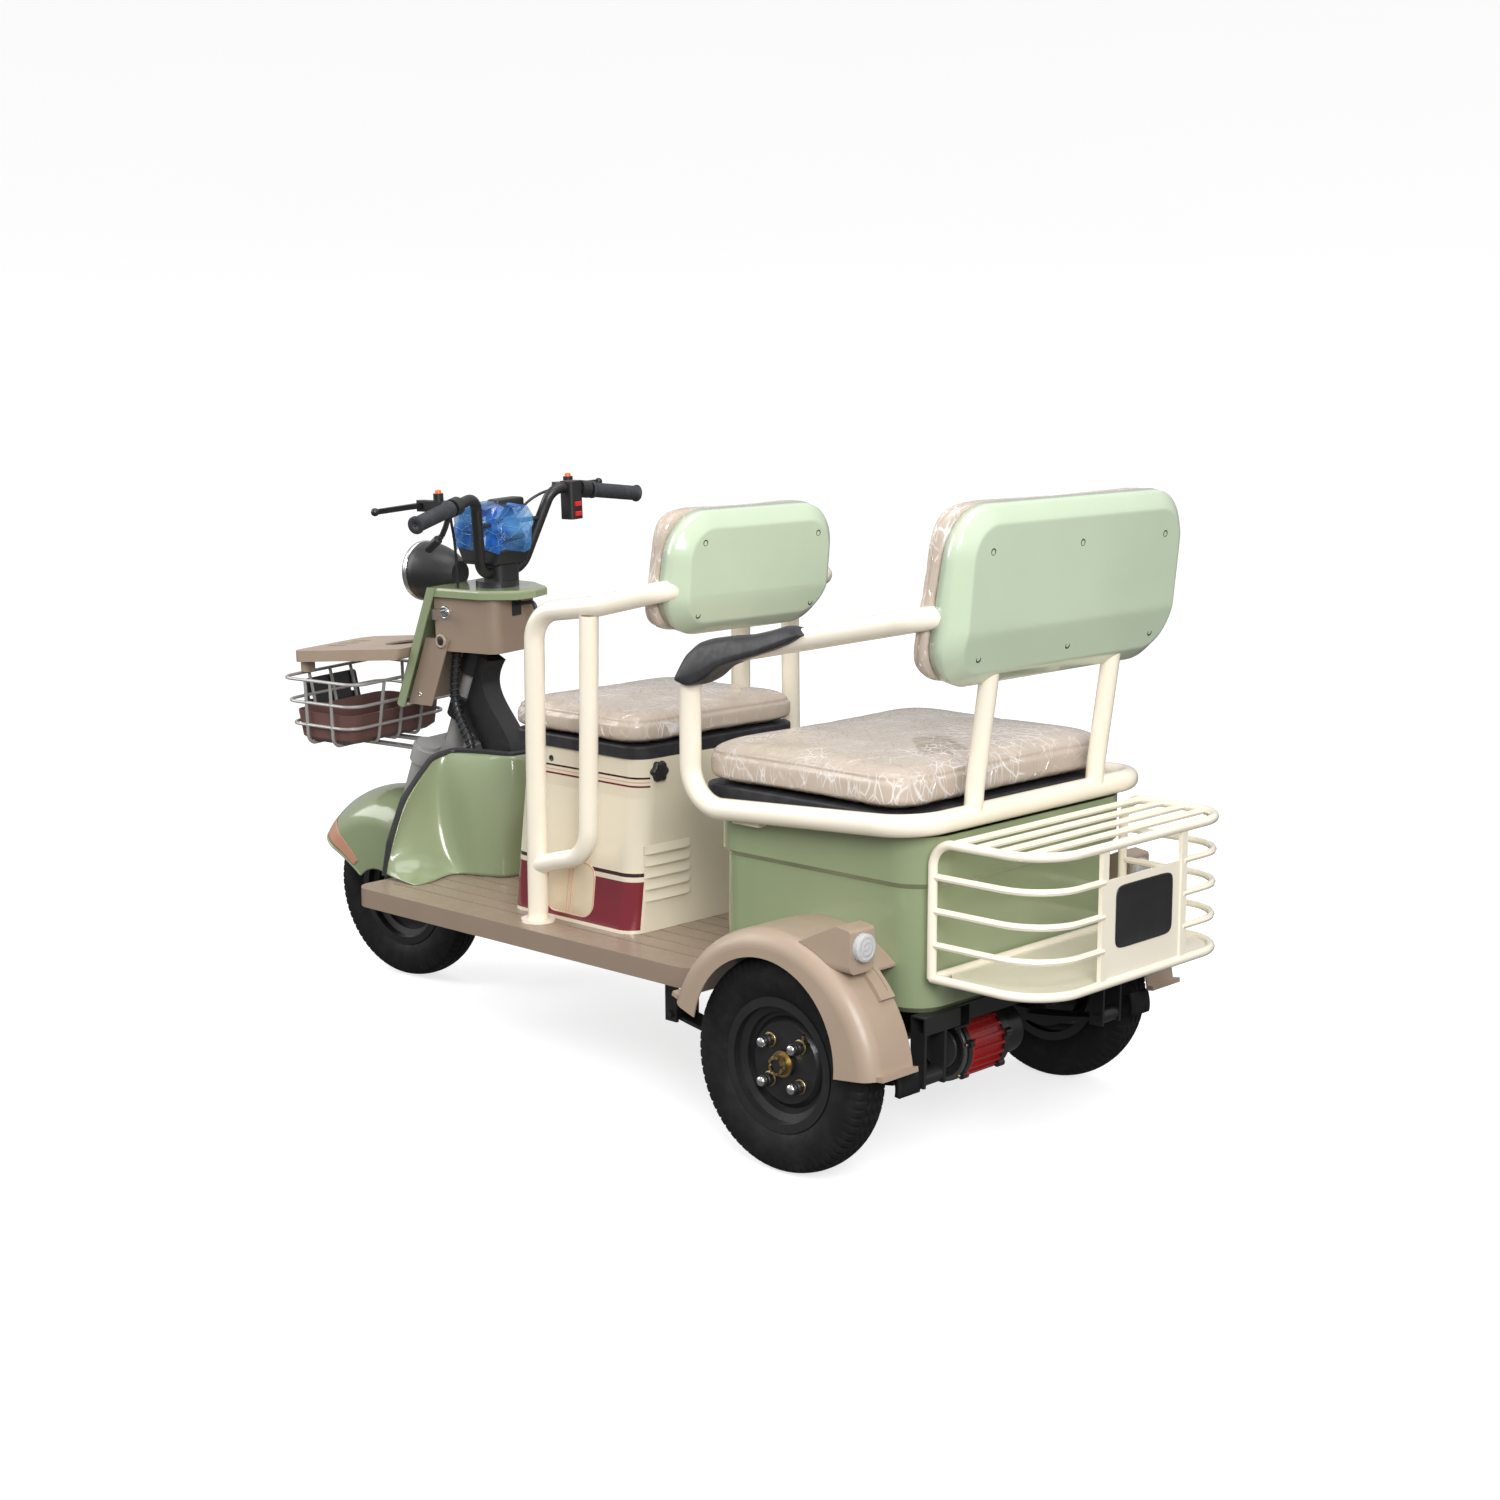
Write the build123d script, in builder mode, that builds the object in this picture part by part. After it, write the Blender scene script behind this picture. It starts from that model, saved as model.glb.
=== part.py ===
from build123d import *
import os
from math import asin, cos, degrees, radians, sin, tan

# Electric three-wheeled runabout with a driver's seat, a rear bench and two baskets.
# Millimetres. Forward is -Y, the rider's left is +X, the ground is Z = 0.

# Layout
WHEELBASE = 1444.0
TRACK = 737.0
FRONT_REACH = 228.2  # front axle to the foremost wire, as parked
REAR_REACH = 446.0  # rear axle to the back of the goods basket
REAR_AXLE_Y = (WHEELBASE + FRONT_REACH - REAR_REACH) / 2
FRONT_AXLE_Y = REAR_AXLE_Y - WHEELBASE

# Fits
RUNNING_FIT = 0.05  # radial clearance of a shaft that turns or slides
SEAT_GAP = 0.3  # between pieces that rest on each other
PLAY = 0.6  # between pieces that pass each other

# Wheels and tyres
TYRE_RADIUS = 186.2
TYRE_WIDTH = 80.0
TYRE_WALL = 7.0
TREAD_THICKNESS = 10.0
SHOULDER_DROP = 11.0
GROOVE_DEPTH = 4.0
GROOVE_WIDTH = 5.0
BEAD_RADIUS = 102.0
FLANGE_RADIUS = 114.5
FLANGE_THICKNESS = 4.0
RIM_WIDTH = 64.0
RIM_STEEL = 3.0
RIM_WELL_DEPTH = 13.0
DISC_BACK = 9.0  # outboard of the wheel centre
DISC_STEEL = 4.0
DISH_RADIUS = 67.0
STUD_CIRCLE = 95.0
STUD_RADIUS = 6.0
STUD_LENGTH = 24.0
NUT_RADIUS = 11.5
NUT_HEIGHT = 11.0
AXLE_Z = TYRE_RADIUS

# Rear axle
SHAFT_RADIUS = 14.0
AXLE_TUBE_RADIUS = 26.0
DRUM_RADIUS = 66.0
DRUM_DEPTH = 50.0
DRUM_WALL = 6.0
BACKING_THICKNESS = 5.0
BACKING_RADIUS = 84.0
DIFFERENTIAL_RADIUS = 64.0
DIFFERENTIAL_WIDTH = 62.0
DIFFERENTIAL_X = -50.0
MOTOR_RADIUS = 60.0
MOTOR_LENGTH = 84.0
MOTOR_COVER = 15.0
MOTOR_BEHIND_AXLE = 100.0
MOTOR_BELOW_AXLE = 14.0
MOTOR_FINS = 22
FIN_DEPTH = 6.0
ARM_PIVOT_BEHIND = 46.0
ARM_PIVOT_ABOVE = 40.0
ARM_LENGTH = 62.0
ARM_THICKNESS = 6.0
ARM_PIN_RADIUS = 6.0

# Leaf springs
SPRING_X = 249.0
LEAF_WIDTH = 44.0
LEAF_THICKNESS = 7.0
SPRING_FRONT = 372.0  # eye ahead of the rear axle
SPRING_REAR = 196.0
SPRING_EYE_Z = 176.0
EYE_RADIUS = 14.0
EYE_BORE = 7.0

# Main frame
RAIL_X = 165.0
RAIL_SIZE = 40.0
RAIL_WALL = 3.0
CROSS_SIZE = 30.0
CROSS_COUNT = 6
RAIL_FRONT = 1160.0  # ahead of the rear axle
RAIL_REAR = 200.0
FLOOR_TOP = 286.0
FLOOR_PLATE = 5.0
FRAME_TOP = FLOOR_TOP - FLOOR_PLATE

# Footboard
FLOOR_HALF_WIDTH = 335.0
FLOOR_DEPTH = 37.0
FLOOR_SKIRT = 5.0
FLOOR_FRONT = 1212.0
FLOOR_SPLIT = 700.0
FLOOR_REAR = 262.0
FLOOR_CORNER = 42.0
PLANK_GROOVE = 4.0
PLANK_DEPTH = 2.0
PLANK_PITCH = 48.0
PLANK_COUNT = 12

# Steering
RAKE = 23.0
AXIS_SETBACK = 9.1  # steering axis behind the front axle, at axle height
STEER_PARKED = 6.0  # turned left as it stands
STEERER_RADIUS = 20.0
STEERER_TOP = 748.0  # along the axis from the axle
COLLAR_RADIUS = 31.0
COLLAR_LOW = 438.0
COLLAR_HIGH = 545.0
COLLAR_HEIGHT = 50.0
NECK_HALF_WIDTH = 24.0

# Fork
LEG_X = 69.0
LEG_RADIUS = 25.0
LEG_BOTTOM = 122.0
LEG_TOP = 372.0
SLIDER_RADIUS = 18.0
SLIDER_TOP = 300.0
CROWN_LOW = 338.0
CROWN_HEIGHT = 34.0
CROWN_RIM = 6.0
CAP_HEIGHT = 9.0
FRONT_SHAFT_RADIUS = 8.0
HUB_RADIUS = 30.0
HUB_HALF = 40.0

# Front mudguard
FRONT_GUARD_RADIUS = 232.0
FRONT_GUARD_HALF = 84.0
FRONT_GUARD_SKIRT = 62.0
GUARD_STEEL = 3.0
FRONT_GUARD_NOSE = 14.0  # degrees above level
FRONT_GUARD_TAIL = 103.0

# Rear mudguards
GUARD_RADIUS = 232.0
GUARD_OUTER = 432.0
GUARD_EDGE = 30.0
GUARD_FRONT = 19.0  # degrees above level, ahead of the wheel
GUARD_BACK = 6.0  # degrees above level, behind the wheel
ARCH_RADIUS = 158.0
ARCH_AHEAD = 8.0
ARCH_ABOVE = 28.0
LAMP_X = 385.0
LAMP_BEHIND = 168.0
LAMP_Z = 413.0
LAMP_RADIUS = 24.0
POD_RADIUS = 30.0
POD_LENGTH = 118.0
LENS_DEPTH = 12.0
TAIL_INNER = 330.0  # the guard narrows behind the tub
TAIL_BEHIND = 150.0
GUARD_LIP = 11.0
LIP_SWEEP = 2.0
BOSS_HALF = 17.0
BOSS_HEIGHT = 8.0
BOSS_LOW = 36.0  # degrees above level
BOSS_SWEEP = 17.0

# Head unit: dash, lid, fairing, headlight
DASH_HALF_FRONT = 80.0
DASH_HALF_REAR = 64.0
DASH_FRONT = 196.0  # behind the front axle
DASH_REAR = 348.0
DASH_LOW = 736.0
DASH_HIGH = 848.0
DASH_WALL = 3.0
LID_THICKNESS = 18.0
LID_HALF = 90.0
LID_FRONT = 196.0
LID_REAR = 404.0
PANEL_HALF = 92.0
PANEL_AHEAD = 118.0  # of the steering axis, measured level
PANEL_DEPTH = 32.0
PANEL_LOW = 612.0
LAMP_AXIS_Z = 885.0
LAMP_FRONT = 98.0  # lens rim behind the front axle
HEADLAMP_RADIUS = 60.0
HEADLAMP_DEPTH = 98.0
LOCK_RADIUS = 9.0
LOCK_Y = 224.0
LOCK_Z = 816.0
HOOK_RADIUS = 4.0

# Handlebar and controls
BAR_RADIUS = 11.0
BAR_WALL = 2.0
BAR_BEND = 38.0
GRIP_END = (324.0, 404.0, 1027.0)  # half width, behind the front axle, height
BAR_SHOULDER = (112.0, 358.7, 1059.2)
BAR_BASE = (60.0, 312.0, 896.0)
GRIP_LENGTH = 122.0
GRIP_RADIUS = 16.0
STEM_RING_RADIUS = 44.0
PERCH_FROM_END = 140.0
PERCH_WIDTH = 22.0
PERCH_RADIUS = 18.0
LEVER_AHEAD = 84.0  # pivot ahead of the bar
LEVER_LENGTH = 128.0
LEVER_THICKNESS = 10.0
LEVER_PIN = 4.0
ROCKER = (18.0, 8.0, 11.0)

# Front basket
BASKET_HALF = 142.0
BASKET_FRONT = 216.0  # ahead of the front axle at the top ring
BASKET_REAR = 16.0  # behind the front axle at the top ring
BASKET_TOP = 655.0
BASKET_LOW = 518.0
BASKET_LEAN = 12.0
BASKET_CORNER = 34.0
WIRE_RADIUS = 3.6
RING_COUNT = 3
RING_PITCH = 48.0
LINER_WALL = 3.0
LINER_HEIGHT = 64.0
SHELF_HALF = 116.0
SHELF_FRONT = 214.0
SHELF_FRONT_Z = 707.0
SHELF_REAR_Z = 738.0
SHELF_PLATE = 4.0
SHELF_SKIRT = 24.0
CUP_RADIUS = 42.0
PLATE_HALF = 76.0
PLATE_TALL = 84.0
PLATE_THICK = 3.0

# Leg shield
SHIELD_STEEL = 4.0
DOME_HALF = 97.0
DOME_FRONT = 1196.0  # ahead of the rear axle
DOME_REAR = 1036.0
DOME_TOP = 528.0
DOME_CORNER = 58.0
TRIM_RADIUS = 7.0
LOOM_RADIUS = 9.0

# Driver's seat
BOX_HALF_LOW = 241.0
BOX_HALF_HIGH = 212.0
BOX_FRONT = 848.0  # ahead of the rear axle
BOX_REAR = 512.0
BOX_WAIST = 535.0
BOX_TOP = 608.0
BOX_WALL = 3.5
BOX_CORNER = 36.0
LOUVRES = 5
BATTERY = (300.0, 170.0, 190.0)
CONTROLLER = (180.0, 90.0, 62.0)
SEAT_BASE_HEIGHT = 24.0
CUSHION_HEIGHT = 66.0
SEAT_HALF = 216.0
SEAT_DEPTH = 350.0
HINGE_PIN = 4.0
HINGE_KNUCKLE = 8.0

# Driver's frames and backrest
TUBE_RADIUS = 19.0
TUBE_WALL = 2.5
FRAME_X = 276.0
POST_FRONT = 725.0  # ahead of the rear axle
POST_REAR = 585.0
ARM_Z = 868.0
FRAME_BEND = 62.0
FOOT_RADIUS = 32.0
FOOT_THICKNESS = 6.0
DRIVER_BACK_Y = -442.0  # behind the rear axle, at the tube height
DRIVER_BACK_Z = 925.0
DRIVER_BACK_HALF = 210.0
DRIVER_BACK_TALL = 228.0
DRIVER_BACK_LIFT = 24.0
BACK_TILT = 10.0
BACK_CORNER = 84.0
SHELL_DEPTH = 46.0
SHELL_WALL = 3.0
PAD_THICKNESS = 54.0

# Rear bench
TUB_HALF = 280.0
TUB_FRONT = 260.0  # ahead of the rear axle
TUB_REAR = 205.0
TUB_TOP = 577.0
TUB_SHOULDER = 490.0
TUB_BAND = 10.0
TUB_WALL = 3.0
TUB_CORNER = 60.0
RAIL_TUBE_X = 318.0
RAIL_FRONT_Y = -280.0
RAIL_REAR_Y = 216.0
RAIL_LOW_Z = 588.0
REAR_BACK_Y = 266.0
REAR_BACK_Z = 943.0
REAR_BACK_HALF = 308.0
REAR_BACK_TALL = 296.0
REAR_BACK_LIFT = 24.0
ARMREST_FRONT_Z = 828.0
POST_X = 168.0
BENCH_HALF = 290.0
BENCH_DEPTH = 456.0
BENCH_BASE_HEIGHT = 34.0
BENCH_CUSHION = 82.0
ARM_PIN_Y = 168.0
ARM_PIN = 6.0
TONGUE = 15.0
EAR = 6.0
PAD_LENGTH = 280.0
ARM_PAD_HEIGHT = 26.0
ARM_PAD_HALF = 26.0

# Goods basket
GOODS_HALF = 265.0
GOODS_LOW = 347.0
GOODS_HIGH = 572.0
GOODS_BARS = 3
GOODS_RADIUS = 8.0
GOODS_BEND = 88.0
RACK_BARS = 4
PLATE_FRAME_HALF = 112.0
PLATE_SLOT_SPACING = 120.0
PLATE_SLOT_RADIUS = 3.5
PLATE_SLOT_LENGTH = 22.0
PLATE_SHEET = 3.0

R = REAR_AXLE_Y
F = FRONT_AXLE_Y
RAKE_UP = (0, sin(radians(RAKE)), cos(radians(RAKE)))
FORK = Plane((0, F, AXLE_Z), x_dir=(1, 0, 0), z_dir=RAKE_UP)
STEER_OFFSET = AXIS_SETBACK * cos(radians(RAKE))  # steering axis in the fork plane
STEERED = []
PIECES = {}


def axis_y(height):
    """Y of the steering axis at a height."""
    return F + AXIS_SETBACK + (height - AXLE_Z) * tan(radians(RAKE))


STEER_AXIS = Axis((0, axis_y(AXLE_Z), AXLE_Z), RAKE_UP)


def keep(name, part, steered=False):
    """Keep a finished piece, and note whether it turns with the handlebar."""
    PIECES[name] = part
    if steered:
        STEERED.append(name)


def tube(points, bend, radius, wall=0.0, sides=0):
    """Bar or tube through the points, each corner bent to one radius."""
    with BuildPart() as bar:
        with BuildLine() as route:
            FilletPolyline(*points, radius=bend)
        with BuildSketch(Plane(route.line @ 0, z_dir=route.line % 0)):
            if sides:
                RegularPolygon(radius, sides)
            else:
                Circle(radius)
            if wall:
                Circle(radius - wall, mode=Mode.SUBTRACT)
        sweep(path=route.line)
    return bar.part


def rod(start, end, radius, wall=0.0, sides=0):
    """Straight bar or tube between two points."""
    run = Vector(*end) - Vector(*start)
    with BuildPart() as bar:
        with BuildSketch(Plane(start, z_dir=run)):
            if sides:
                RegularPolygon(radius, sides)
            else:
                Circle(radius)
            if wall:
                Circle(radius - wall, mode=Mode.SUBTRACT)
        extrude(amount=run.length)
    return bar.part


def box_tube(low, high, wall, along):
    """Square tube between two corners, open at the ends along one axis."""
    size = [b - a for a, b in zip(low, high)]
    middle = tuple((a + b) / 2 for a, b in zip(low, high))
    bore = [s if i == along else s - 2 * wall for i, s in enumerate(size)]
    with BuildPart() as bar:
        with Locations(middle):
            Box(*size)
            Box(*bore, mode=Mode.SUBTRACT)
    return bar.part


def weld(*parts):
    """Fuse pieces that are welded or moulded together."""
    with BuildPart() as whole:
        for part in parts:
            add(part)
    return whole.part


def tube_frame(runs):
    """Bent tubes welded into one frame, open inside where they meet."""
    outers = [tube(points, bend, radius) for points, bend, radius in runs]
    bores = [tube(points, bend, radius - TUBE_WALL) for points, bend, radius in runs]
    with BuildPart() as whole:
        for outer in outers:
            add(outer)
        for bore in bores:
            add(bore, mode=Mode.SUBTRACT)
    return whole.part


def across(points):
    """The same points on the other side, in reverse order."""
    return [(-x, y, z) for x, y, z in reversed(points)]


def flipped(part):
    """The same piece on the other side of the centre plane."""
    return part.mirror(Plane.YZ)


def make_tyre(centre):
    """Hollow grooved tyre about an X axis."""
    half = TYRE_WIDTH / 2
    bead = RIM_WIDTH / 2 - FLANGE_THICKNESS - SEAT_GAP
    seat = BEAD_RADIUS + SEAT_GAP
    lip = FLANGE_RADIUS + SEAT_GAP
    middle = (lip + TYRE_RADIUS) / 2
    shoulder = TYRE_RADIUS - SHOULDER_DROP
    edge = half - SHOULDER_DROP / 2
    inner_edge = edge - TYRE_WALL
    inner_shoulder = shoulder - TREAD_THICKNESS / 2
    with BuildPart() as casing:
        with BuildSketch(Plane(centre, x_dir=(1, 0, 0), z_dir=(0, -1, 0))):
            with BuildLine():
                Line((bead, seat), (bead, lip))
                ThreePointArc((bead, lip), (half, middle), (edge, shoulder))
                ThreePointArc((edge, shoulder), (0, TYRE_RADIUS), (-edge, shoulder))
                ThreePointArc((-edge, shoulder), (-half, middle), (-bead, lip))
                Line((-bead, lip), (-bead, seat))
                Line((-bead, seat), (TYRE_WALL - bead, seat))
                Line((TYRE_WALL - bead, seat), (TYRE_WALL - bead, lip))
                ThreePointArc(
                    (TYRE_WALL - bead, lip),
                    (TYRE_WALL - half, middle),
                    (-inner_edge, inner_shoulder),
                )
                ThreePointArc(
                    (-inner_edge, inner_shoulder),
                    (0, TYRE_RADIUS - TREAD_THICKNESS),
                    (inner_edge, inner_shoulder),
                )
                ThreePointArc(
                    (inner_edge, inner_shoulder),
                    (half - TYRE_WALL, middle),
                    (bead - TYRE_WALL, lip),
                )
                Line((bead - TYRE_WALL, lip), (bead - TYRE_WALL, seat))
                Line((bead - TYRE_WALL, seat), (bead, seat))
            make_face()
            with Locations((half / 3, TYRE_RADIUS), (-half / 3, TYRE_RADIUS)):
                Rectangle(GROOVE_WIDTH, 2 * GROOVE_DEPTH, mode=Mode.SUBTRACT)
        revolve(axis=Axis(centre, (1, 0, 0)))
    return casing.part


def rim_outline():
    """Section of the pressed rim: half width against radius."""
    half = RIM_WIDTH / 2
    inside = half - FLANGE_THICKNESS
    well = BEAD_RADIUS - RIM_WELL_DEPTH
    return [
        (half, FLANGE_RADIUS),
        (inside, FLANGE_RADIUS),
        (inside, BEAD_RADIUS),
        (inside / 2, BEAD_RADIUS),
        (inside / 3, well),
        (-inside / 3, well),
        (-inside / 2, BEAD_RADIUS),
        (-inside, BEAD_RADIUS),
        (-inside, FLANGE_RADIUS),
        (-half, FLANGE_RADIUS),
        (-half, BEAD_RADIUS - RIM_STEEL),
        (-inside / 2 - RIM_STEEL, BEAD_RADIUS - RIM_STEEL),
        (-inside / 3 - RIM_STEEL, well - RIM_STEEL),
        (inside / 3 + RIM_STEEL, well - RIM_STEEL),
        (inside / 2 + RIM_STEEL, BEAD_RADIUS - RIM_STEEL),
        (half, BEAD_RADIUS - RIM_STEEL),
    ]


# Rear wheel: pressed rim and dished disc on a brake drum with its half shaft
REAR_LEFT = (TRACK / 2, R, AXLE_Z)
WHEEL_SECTION = Plane(REAR_LEFT, x_dir=(1, 0, 0), z_dir=(0, -1, 0))
WHEEL_AXIS = Axis(REAR_LEFT, (1, 0, 0))
DISC_FRONT = DISC_BACK + DISC_STEEL
WELL_INSIDE = BEAD_RADIUS - RIM_WELL_DEPTH - RIM_STEEL
HUB_HOLE = SHAFT_RADIUS + 8.0
with BuildPart() as rear_wheel:
    with BuildSketch(WHEEL_SECTION):
        with BuildLine():
            Polyline(*rim_outline(), close=True)
        make_face()
        with BuildLine():
            Polyline(
                (0, WELL_INSIDE + RIM_STEEL / 2),
                (0, DISH_RADIUS + DISC_BACK),
                (DISC_BACK, DISH_RADIUS),
                (DISC_BACK, HUB_HOLE),
                (DISC_FRONT, HUB_HOLE),
                (DISC_FRONT, DISH_RADIUS + 2),
                (DISC_STEEL, DISH_RADIUS + DISC_BACK + 2),
                (DISC_STEEL, WELL_INSIDE + RIM_STEEL / 2),
                close=True,
            )
        make_face()
    revolve(axis=WHEEL_AXIS)
    with BuildSketch(Plane.YZ.offset(TRACK / 2 + DISC_FRONT)):
        with Locations((R, AXLE_Z)):
            with PolarLocations(STUD_CIRCLE / 2, 4, start_angle=45):
                RegularPolygon(NUT_RADIUS, 6)
    extrude(amount=NUT_HEIGHT)
    with BuildSketch(Plane.YZ.offset(TRACK / 2 + DISC_FRONT)):
        with Locations((R, AXLE_Z)):
            with PolarLocations(STUD_CIRCLE / 2, 4, start_angle=45):
                Circle(STUD_RADIUS)
    extrude(amount=STUD_LENGTH)

DRUM_INNER_X = TRACK / 2 + DISC_BACK - DRUM_DEPTH
SHAFT_INNER = 6.0
with BuildPart() as drum:
    with BuildSketch(WHEEL_SECTION):
        with BuildLine():
            Polyline(
                (DISC_BACK - DRUM_DEPTH, DRUM_RADIUS),
                (-4, DRUM_RADIUS),
                (DISC_BACK, DRUM_RADIUS - 6),
                (DISC_BACK, HUB_HOLE - PLAY),
                (DISC_FRONT + 6, HUB_HOLE - PLAY),
                (DISC_FRONT + 6, SHAFT_RADIUS),
                (DISC_FRONT + 22, SHAFT_RADIUS - 3),
                (DISC_FRONT + 22, 0),
                (SHAFT_INNER - TRACK / 2, 0),
                (SHAFT_INNER - TRACK / 2, SHAFT_RADIUS),
                (DISC_BACK - DRUM_WALL - 2, SHAFT_RADIUS),
                (DISC_BACK - DRUM_WALL - 2, DRUM_RADIUS - DRUM_WALL),
                (DISC_BACK - DRUM_DEPTH, DRUM_RADIUS - DRUM_WALL),
                close=True,
            )
        make_face()
    revolve(axis=WHEEL_AXIS)
    with BuildSketch(Plane.YZ.offset(TRACK / 2 + DISC_FRONT + 6)):
        with Locations((R, AXLE_Z)):
            RegularPolygon(SHAFT_RADIUS + 3, 6)
    extrude(amount=8)

rear_tyre_left = make_tyre(REAR_LEFT)
keep("rear_wheel_left", Compound([rear_wheel.part.solid(), drum.part.solid()]))
keep("rear_tyre_left", rear_tyre_left)
keep("rear_wheel_right", flipped(PIECES["rear_wheel_left"]))
keep("rear_tyre_right", flipped(rear_tyre_left))

# Rear axle: housing with final drive, backing plates and spring pads
BACKING_X = DRUM_INNER_X - PLAY - BACKING_THICKNESS
ARM_PIVOT = (R + ARM_PIVOT_BEHIND, AXLE_Z + ARM_PIVOT_ABOVE)
MOTOR_AXIS = (R + MOTOR_BEHIND_AXLE, AXLE_Z - MOTOR_BELOW_AXLE)
GEAR_FACE = DIFFERENTIAL_X + DIFFERENTIAL_WIDTH / 2
BOSS_LENGTH = 16.0
PAD_LENGTH_Y = 90.0
PAD_TOP = AXLE_Z - AXLE_TUBE_RADIUS + 4.0
LEAF_TOP = AXLE_Z - AXLE_TUBE_RADIUS - 10.0
LEAF_UNDER = LEAF_TOP - LEAF_THICKNESS
EYE_FRONT = (R - SPRING_FRONT, SPRING_EYE_Z)
EYE_REAR = (R + SPRING_REAR, SPRING_EYE_Z)
with BuildPart() as axle_housing:
    with BuildSketch(Plane.YZ):
        with Locations((R, AXLE_Z)):
            Circle(AXLE_TUBE_RADIUS)
    extrude(amount=BACKING_X, both=True)
    for side in (1, -1):
        with BuildSketch(Plane.YZ.offset(side * BACKING_X)):
            with Locations((R, AXLE_Z)):
                Circle(BACKING_RADIUS)
        extrude(amount=side * BACKING_THICKNESS)
        with BuildSketch(Plane.YZ.offset(side * BACKING_X)):
            with Locations(ARM_PIVOT):
                Circle(ARM_PIN_RADIUS + 6)
        extrude(amount=-side * BOSS_LENGTH)
        with Locations((side * SPRING_X, R, (LEAF_TOP + PAD_TOP) / 2)):
            Box(LEAF_WIDTH + 12, PAD_LENGTH_Y, PAD_TOP - LEAF_TOP)
    with BuildSketch(Plane.YZ):
        with BuildLine():
            Polyline(EYE_REAR, (EYE_REAR[0], 0), (EYE_FRONT[0], 0), EYE_FRONT)
            ThreePointArc(EYE_FRONT, (R, LEAF_TOP), EYE_REAR)
        make_face()
    extrude(amount=BACKING_X - 2 * BACKING_THICKNESS, both=True, mode=Mode.SUBTRACT)
    with BuildSketch(Plane.YZ.offset(DIFFERENTIAL_X)):
        with BuildLine():
            CenterArc((R, AXLE_Z), DIFFERENTIAL_RADIUS, 0, 360)
        with BuildLine():
            CenterArc(MOTOR_AXIS, MOTOR_RADIUS - FIN_DEPTH - 8, 0, 360)
        make_hull()
    extrude(amount=DIFFERENTIAL_WIDTH / 2, both=True)
    case_edges = axle_housing.edges().filter_by(GeomType.CIRCLE)
    fillet(
        case_edges.filter_by(lambda e: abs(e.radius - DIFFERENTIAL_RADIUS) < 0.1)
        .filter_by(lambda e: e.center().X < DIFFERENTIAL_X),
        8,
    )
    with BuildSketch(Plane.YZ):
        with Locations((R, AXLE_Z)):
            Circle(SHAFT_RADIUS + RUNNING_FIT)
    extrude(amount=BACKING_X + 2 * BACKING_THICKNESS, both=True, mode=Mode.SUBTRACT)
    with BuildSketch(Plane.YZ):
        with Locations(ARM_PIVOT):
            Circle(ARM_PIN_RADIUS + RUNNING_FIT)
    extrude(amount=BACKING_X + 2 * BACKING_THICKNESS, both=True, mode=Mode.SUBTRACT)
keep("axle_housing", axle_housing.part)

# Motor: finned body between two lugged covers
with BuildPart() as drive_motor:
    with BuildSketch(Plane.YZ.offset(GEAR_FACE + MOTOR_COVER)):
        with Locations(MOTOR_AXIS):
            Circle(MOTOR_RADIUS - FIN_DEPTH)
            with PolarLocations(MOTOR_RADIUS - FIN_DEPTH / 2 - 1, MOTOR_FINS):
                Rectangle(FIN_DEPTH + 2, 5.5)
    extrude(amount=MOTOR_LENGTH)
    for face in (GEAR_FACE, GEAR_FACE + MOTOR_COVER + MOTOR_LENGTH):
        with BuildSketch(Plane.YZ.offset(face)):
            with Locations(MOTOR_AXIS):
                Circle(MOTOR_RADIUS)
                with PolarLocations(MOTOR_RADIUS, 6, start_angle=15):
                    Circle(7)
        extrude(amount=MOTOR_COVER)
    with BuildSketch(Plane.YZ.offset(GEAR_FACE + 2 * MOTOR_COVER + MOTOR_LENGTH)):
        with Locations(MOTOR_AXIS):
            Circle(MOTOR_RADIUS - 8)
            Circle(MOTOR_RADIUS - 14, mode=Mode.SUBTRACT)
    extrude(amount=5)
keep("drive_motor", drive_motor.part)

# Brake arms: one on each backing plate
with BuildPart() as brake_arm:
    with BuildSketch(Plane.YZ.offset(BACKING_X - BOSS_LENGTH - PLAY)):
        with Locations(ARM_PIVOT):
            SlotCenterPoint((0, -ARM_LENGTH / 2), (0, 0), 20, rotation=0)
    extrude(amount=-ARM_THICKNESS)
    with BuildSketch(Plane.YZ.offset(BACKING_X - BOSS_LENGTH - PLAY)):
        with Locations((ARM_PIVOT[0], ARM_PIVOT[1] - ARM_LENGTH)):
            Circle(4)
    extrude(amount=-ARM_THICKNESS, mode=Mode.SUBTRACT)
    with BuildSketch(Plane.YZ.offset(BACKING_X - BOSS_LENGTH - PLAY - ARM_THICKNESS)):
        with Locations(ARM_PIVOT):
            Circle(ARM_PIN_RADIUS)
    extrude(amount=BOSS_LENGTH + PLAY + ARM_THICKNESS + BACKING_THICKNESS)
keep("rear_brake_arms", Compound([brake_arm.part.solid(), flipped(brake_arm.part).solid()]))

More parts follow.
